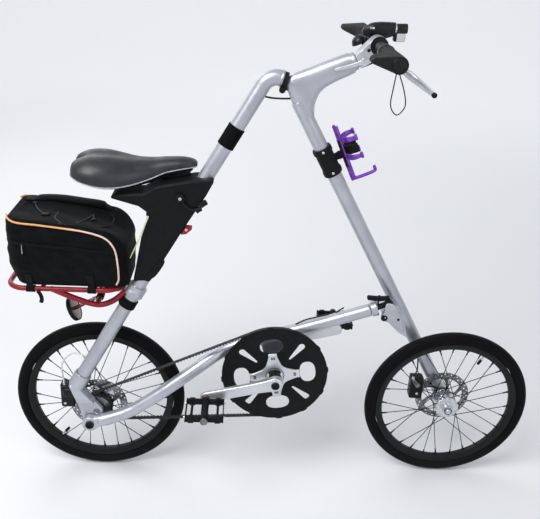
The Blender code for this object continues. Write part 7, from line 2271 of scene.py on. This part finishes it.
        skins = [relaxed_copy("bar_clamp", 0.0009, 4)]
        for z, x in ((BAR[2] + 0.0120, BAR[0] - 0.0300), (BAR[2] - 0.0090, BAR[0] - 0.0210)):
            skins.append(mark(bolt((x, -0.0188, z), -Y, 0.0036, 0.0016, 20), 2))
        base = np.array([0.1480, 0.0, 1.0620])
        skins.append(
            mark(
                rounded_box(base, (0.0150, 0.0150, 0.0050), 0.0026, (unit((0.9, 0, 0.43)), Y, unit((-0.43, 0, 0.9)))),
                2
            )
        )
        turned = [(0.0112, -0.0194), (0.0186, -0.0194), (0.0190, -0.0186), (0.0190, -0.0168), (0.0112, -0.0168)]
        skins.append(mark(lathe((BAR[0], 0, BAR[2]), Y, turned, 44, ring=True), 2))
        build_piece(
            "bar_clamp_forged", skins, ["forged_alloy", "nickel_brass", "black_anodised"], "front_frame",
            ["bar_clamp"], 45.0
        )

        pivot = np.array([STEM_END[0] + 0.014, 0.0, STEM_END[2] + 0.002])
        drum = [
            (0.0070, 0.0194), (0.0078, 0.0200), (0.0078, 0.0256), (0.0068, 0.0262), (0.0040, 0.0262), (0.0038, 0.0254)
        ]
        skins = [lathe(pivot, -Y, drum, 28)]
        route = [
            pivot + (0.0, -0.0228, 0.0), pivot + (-0.014, -0.0230, -0.0052), pivot + (-0.034, -0.0226, -0.0122),
            pivot + (-0.050, -0.0228, -0.0166), pivot + (-0.0605, -0.0232, -0.0198)
        ]
        blade = curve(route, 8)
        share = np.linspace(0, 1, len(blade))
        section = oval(1.0, 1.0, 20, 2.6)[None] * np.stack(
            [
                np.interp(share, [0, 0.3, 0.8, 1], [0.0024, 0.0020, 0.0019, 0.0014]),
                np.interp(share, [0, 0.2, 0.7, 1], [0.0056, 0.0042, 0.0038, 0.0026])
            ],
            -1
        )[:, None]
        skins.append(sweep(blade, section, up=(0, 0, 1)))
        build_piece("bar_lever_forged", skins, "forged_alloy", "bar_lever", ["bar_lever"], 40.0)
        return {"FINISHED"}


class BIKE_OT_cage(bpy.types.Operator):
    """The purple bottle cage with its black strap, on a black clamp round the front tube"""

    bl_idname = "bike.cage"
    bl_label = "Bottle cage"

    def strap(self, centre, ahead, rail):
        """A flat rubber strap: most of a ring round the bottle's axis, open in front."""
        angle = np.radians(np.linspace(-97.0, 97.0, 48))
        band = centre - ahead * 0.0274 * np.cos(angle)[:, None] + Y * 0.0274 * np.sin(angle)[:, None]
        return sweep(band, oval(0.0014, 0.0105, 20, 5.0), up=-rail)

    def execute(self, context):
        top, low = np.array([0.0960, 0.0450, 0.9120]), np.array([0.1500, 0.0450, 0.7920])
        rail = unit(low - top)
        ahead = unit(np.cross(rail, Y))
        ahead = ahead if ahead[0] > 0 else -ahead
        hook = low + ahead * 0.0560
        points = [
            top, top + (low - top) * 0.5, low - rail * 0.006, low + ahead * 0.005, hook - ahead * 0.005,
            hook - rail * 0.0098
        ]
        route = curve(points, 8)
        skins = [tube(route, 0.0039, 16, up=(0, 1, 0), dome=True)]
        spine = line(top + ahead * 0.0032 + rail * 0.002, low + ahead * 0.0032 - rail * 0.002, 24)
        swell = np.sin(np.linspace(0.0, math.pi, 24)) ** 0.5
        section = oval(1.0, 1.0, 20, 3.0)[None] * np.stack(
            [0.0050 + 0.0035 * swell, np.full(24, 0.0054)], -1
        )[:, None]
        skins.append(sweep(spine, section, up=ahead))
        skins.append(mark(self.strap(top + (low - top) * 0.43 + ahead * 0.0330, ahead, rail), 1))
        for share in (0.25, 0.58):
            centre = top + (low - top) * share + ahead * 0.0330
            angle = np.radians(np.linspace(-99.0, 99.0, 44))
            band = centre - ahead * 0.0272 * np.cos(angle)[:, None] + Y * 0.0272 * np.sin(angle)[:, None]
            wide = 0.0050 + 0.0016 * np.sin(np.linspace(0.0, math.pi, 44) * 2.0) ** 2
            section = oval(1.0, 1.0, 18, 2.8)[None] * np.stack([np.full(44, 0.0024), wide], -1)[:, None]
            skins.append(sweep(band, section, up=-rail))
            for k, step in ((0, 1), (-1, -2)):
                out = unit(band[k] - centre)
                along = unit(band[k] - band[step])
                skins.append(
                    rounded_box(band[k] + along * 0.0004, (0.0034, 0.0078, 0.0030), 0.0026, (along, rail, out))
                )
        base = top + (low - top) * 0.50
        face = (unit(np.cross(rail, ahead)), rail, ahead)
        skins.append(mark(rounded_box(base - ahead * 0.0015, (0.0095, 0.0330, 0.0032), 0.0020, face), 1))
        for s in (-0.0200, 0.0200):
            skins.append(mark(bolt(base + rail * s + ahead * 0.0018, ahead, 0.0038, 0.0022, 18), 2))
        build_piece(
            "bottle_cage_formed", skins, ["purple_anodising", "black_nylon_moulding", "nickel_brass"], "front_frame",
            ["bottle_cage"], 45.0
        )

        middle = front_axis(0.8440)
        inner = TUBE_R + 0.0005
        profile = [
            (inner, -0.0338), (inner + 0.0032, -0.0338), (inner + 0.0039, -0.0328), (inner + 0.0039, -0.0215),
            (inner + 0.0026, -0.0195), (inner + 0.0026, 0.0195), (inner + 0.0039, 0.0215), (inner + 0.0039, 0.0328),
            (inner + 0.0032, 0.0338), (inner, 0.0338),
        ]
        skins = [lathe(middle, FRONT_DIR, profile, 48, ring=True)]
        reach = base - middle
        out = unit(reach)
        length = float(np.linalg.norm(reach))
        block = [
            (0.0098, 0.20 * length), (0.0098, 0.34 * length), (0.0086, 0.38 * length), (0.0086, 0.70 * length),
            (0.0098, 0.74 * length), (0.0098, 0.80 * length), (0.0084, 0.82 * length)
        ]
        skins.append(lathe(middle, out, block, 32))
        for s in (-0.0268, 0.0268):
            band = [
                (inner + 0.0039, s - 0.0040), (inner + 0.0046, s - 0.0034), (inner + 0.0046, s + 0.0034),
                (inner + 0.0039, s + 0.0040)
            ]
            skins.append(
                mark(
                    lathe(
                        middle, FRONT_DIR, [(inner + 0.0034, s - 0.0040)] + band + [(inner + 0.0034, s + 0.0040)], 48,
                        ring=True
                    ),
                    0
                )
            )
            skins.append(mark(bolt(middle + FRONT_DIR * s - Y * (inner + 0.0042), -Y, 0.0032, 0.0016, 18), 1))
        build_piece(
            "cage_clamp_moulded", skins, ["black_nylon_moulding", "nickel_brass"], "front_frame", ["cage_clamp"],
            40.0
        )
        return {"FINISHED"}


class BIKE_OT_brakes(bpy.types.Operator):
    """Both disc calipers with their arms, bolts and adjusters, and the visible ends of their cables"""

    bl_idname = "bike.brakes"
    bl_label = "Brake calipers"

    def execute(self, context):
        for name, hub, side in WHEELS:
            body = name + "_frame"
            skins = [relaxed_copy(name + "_caliper", 0.0016, 30)]
            plane = side * 0.0352
            far = plane - side * 0.0140
            near = plane + side * 0.0160
            for x, z, r in ((-0.0720, 0.0150, 0.0100), (-0.0720, 0.0390, 0.0085)):
                centre = np.array([hub[0] + x, far, hub[2] + z])
                skins.append(
                    lathe(centre, -side * Y, [(r, -0.002), (r, 0.0016), (r - 0.0014, 0.0030), (r * 0.5, 0.0034)], 30)
                )
                skins.append(mark(bolt(centre - side * Y * 0.0032, -side * Y, 0.0036, 0.0014, 18), 1))
            arm = [hull((hub[0] - 0.0720, hub[2] + 0.0390), 0.0062, (hub[0] - 0.0860, hub[2] + 0.0560), 0.0040)]
            low, high = sorted((far - side * 0.0014, far - side * 0.0044))
            skins.append(mark(plate(arm, low, high, 0.0006), 2))
            for x, z in ((-0.0800, 0.0080), (-0.0640, 0.0480)):
                skins.append(mark(bolt((hub[0] + x, near, hub[2] + z), side * Y, 0.0034, 0.0010, 18), 1))
            fins = [(hub[0] - 0.0890 + k * 0.0052, 0, 0) for k in range(6)]
            starts = np.array([(x, plane - side * 0.0120, hub[2] + 0.0578) for x, _, _ in fins])
            ends = np.array([(x, plane + side * 0.0130, hub[2] + 0.0578) for x, _, _ in fins])
            skins.append(rods(starts, ends, 0.0010, 8))
            build_piece(
                name + "_caliper_cast", skins, ["black_anodised", "nickel_brass", "brushed_steel"], body,
                [name + "_caliper"], 40.0
            )
        start = rear_axis(0.3500) - REAR_ACROSS * (TUBE_R + 0.0006)
        end = np.array([REAR_HUB[0] - 0.080, -0.0452, REAR_HUB[2] + 0.0605])
        points = [
            start, start - REAR_ACROSS * 0.012, start + (-0.034, 0.004, 0.004), start + (-0.060, 0.010, -0.030), end
        ]
        route = curve(points, 8)
        skins = [tube(route, 0.0020, 14, dome=True)]
        profile = [(0.0026, -0.0015), (0.0034, -0.0010), (0.0034, 0.0070), (0.0026, 0.0100), (0.0022, 0.0102)]
        skins.append(mark(lathe(end, unit(route[-2] - end), profile, 20), 1))
        build_piece(
            "rear_brake_housing", skins, ["white_housing", "nickel_brass"], "rear_frame", ["rear_brake_cable"],
            40.0
        )

        anchor = FRONT_HUB + np.array([-0.0860, 0.0200, 0.0560])
        points = [
            anchor + (0.0, 0.0, -0.002), anchor + (0.002, 0.004, 0.010), anchor + (0.010, 0.012, 0.022),
            front_axis(0.3200) + (-0.0130, -0.0080, -0.004)
        ]
        route = curve(points, 8)
        skins = [tube(route, 0.0019, 12, dome=True)]
        skins.append(
            mark(lathe(anchor, Z, [(0.0028, -0.002), (0.0038, -0.001), (0.0038, 0.0060), (0.0026, 0.0090)], 20), 1)
        )
        build_piece("front_brake_housing", skins, ["glossy_abs", "nickel_brass"], "front_frame", (), 40.0)
        return {"FINISHED"}


STEPS = (
    BIKE_OT_stage, BIKE_OT_wrist_loop, BIKE_OT_wheels, BIKE_OT_rotors, BIKE_OT_belt, BIKE_OT_sprocket,
    BIKE_OT_belt_wheel, BIKE_OT_cranks, BIKE_OT_pedals, BIKE_OT_rear_frame, BIKE_OT_bottom_tube, BIKE_OT_apex,
    BIKE_OT_front_frame, BIKE_OT_saddle, BIKE_OT_bracket, BIKE_OT_bag, BIKE_OT_rack, BIKE_OT_bars,
    BIKE_OT_cockpit, BIKE_OT_cage, BIKE_OT_brakes,
)


# ---------------------------------------------------------------- panel, registration and main


class BIKE_PT_panel(bpy.types.Panel):
    """The bike's sizes, colours and pieces"""

    bl_idname = "BIKE_PT_panel"
    bl_label = "Folding Bike"
    bl_space_type = "VIEW_3D"
    bl_region_type = "UI"
    bl_category = "Folding Bike"

    def draw(self, context):
        column = self.layout.column()
        for held in (context.scene.bike_sizes, context.scene.bike_colours):
            for name in held.__annotations__:
                column.prop(held, name)
        for step in STEPS:
            column.operator(step.bl_idname)


CLASSES = (BikeColours, BikeSizes, *STEPS, BIKE_PT_panel)


def register():
    for item in CLASSES:
        bpy.utils.register_class(item)
    bpy.types.Scene.bike_colours = bpy.props.PointerProperty(type=BikeColours)
    bpy.types.Scene.bike_sizes = bpy.props.PointerProperty(type=BikeSizes)


def unregister():
    del bpy.types.Scene.bike_sizes
    del bpy.types.Scene.bike_colours
    for item in reversed(CLASSES):
        bpy.utils.unregister_class(item)


def main():
    """Makes every piece in turn."""
    register()
    for step in STEPS:
        group, name = step.bl_idname.split(".")
        getattr(getattr(bpy.ops, group), name)()


if __name__ == "__main__":
    main()
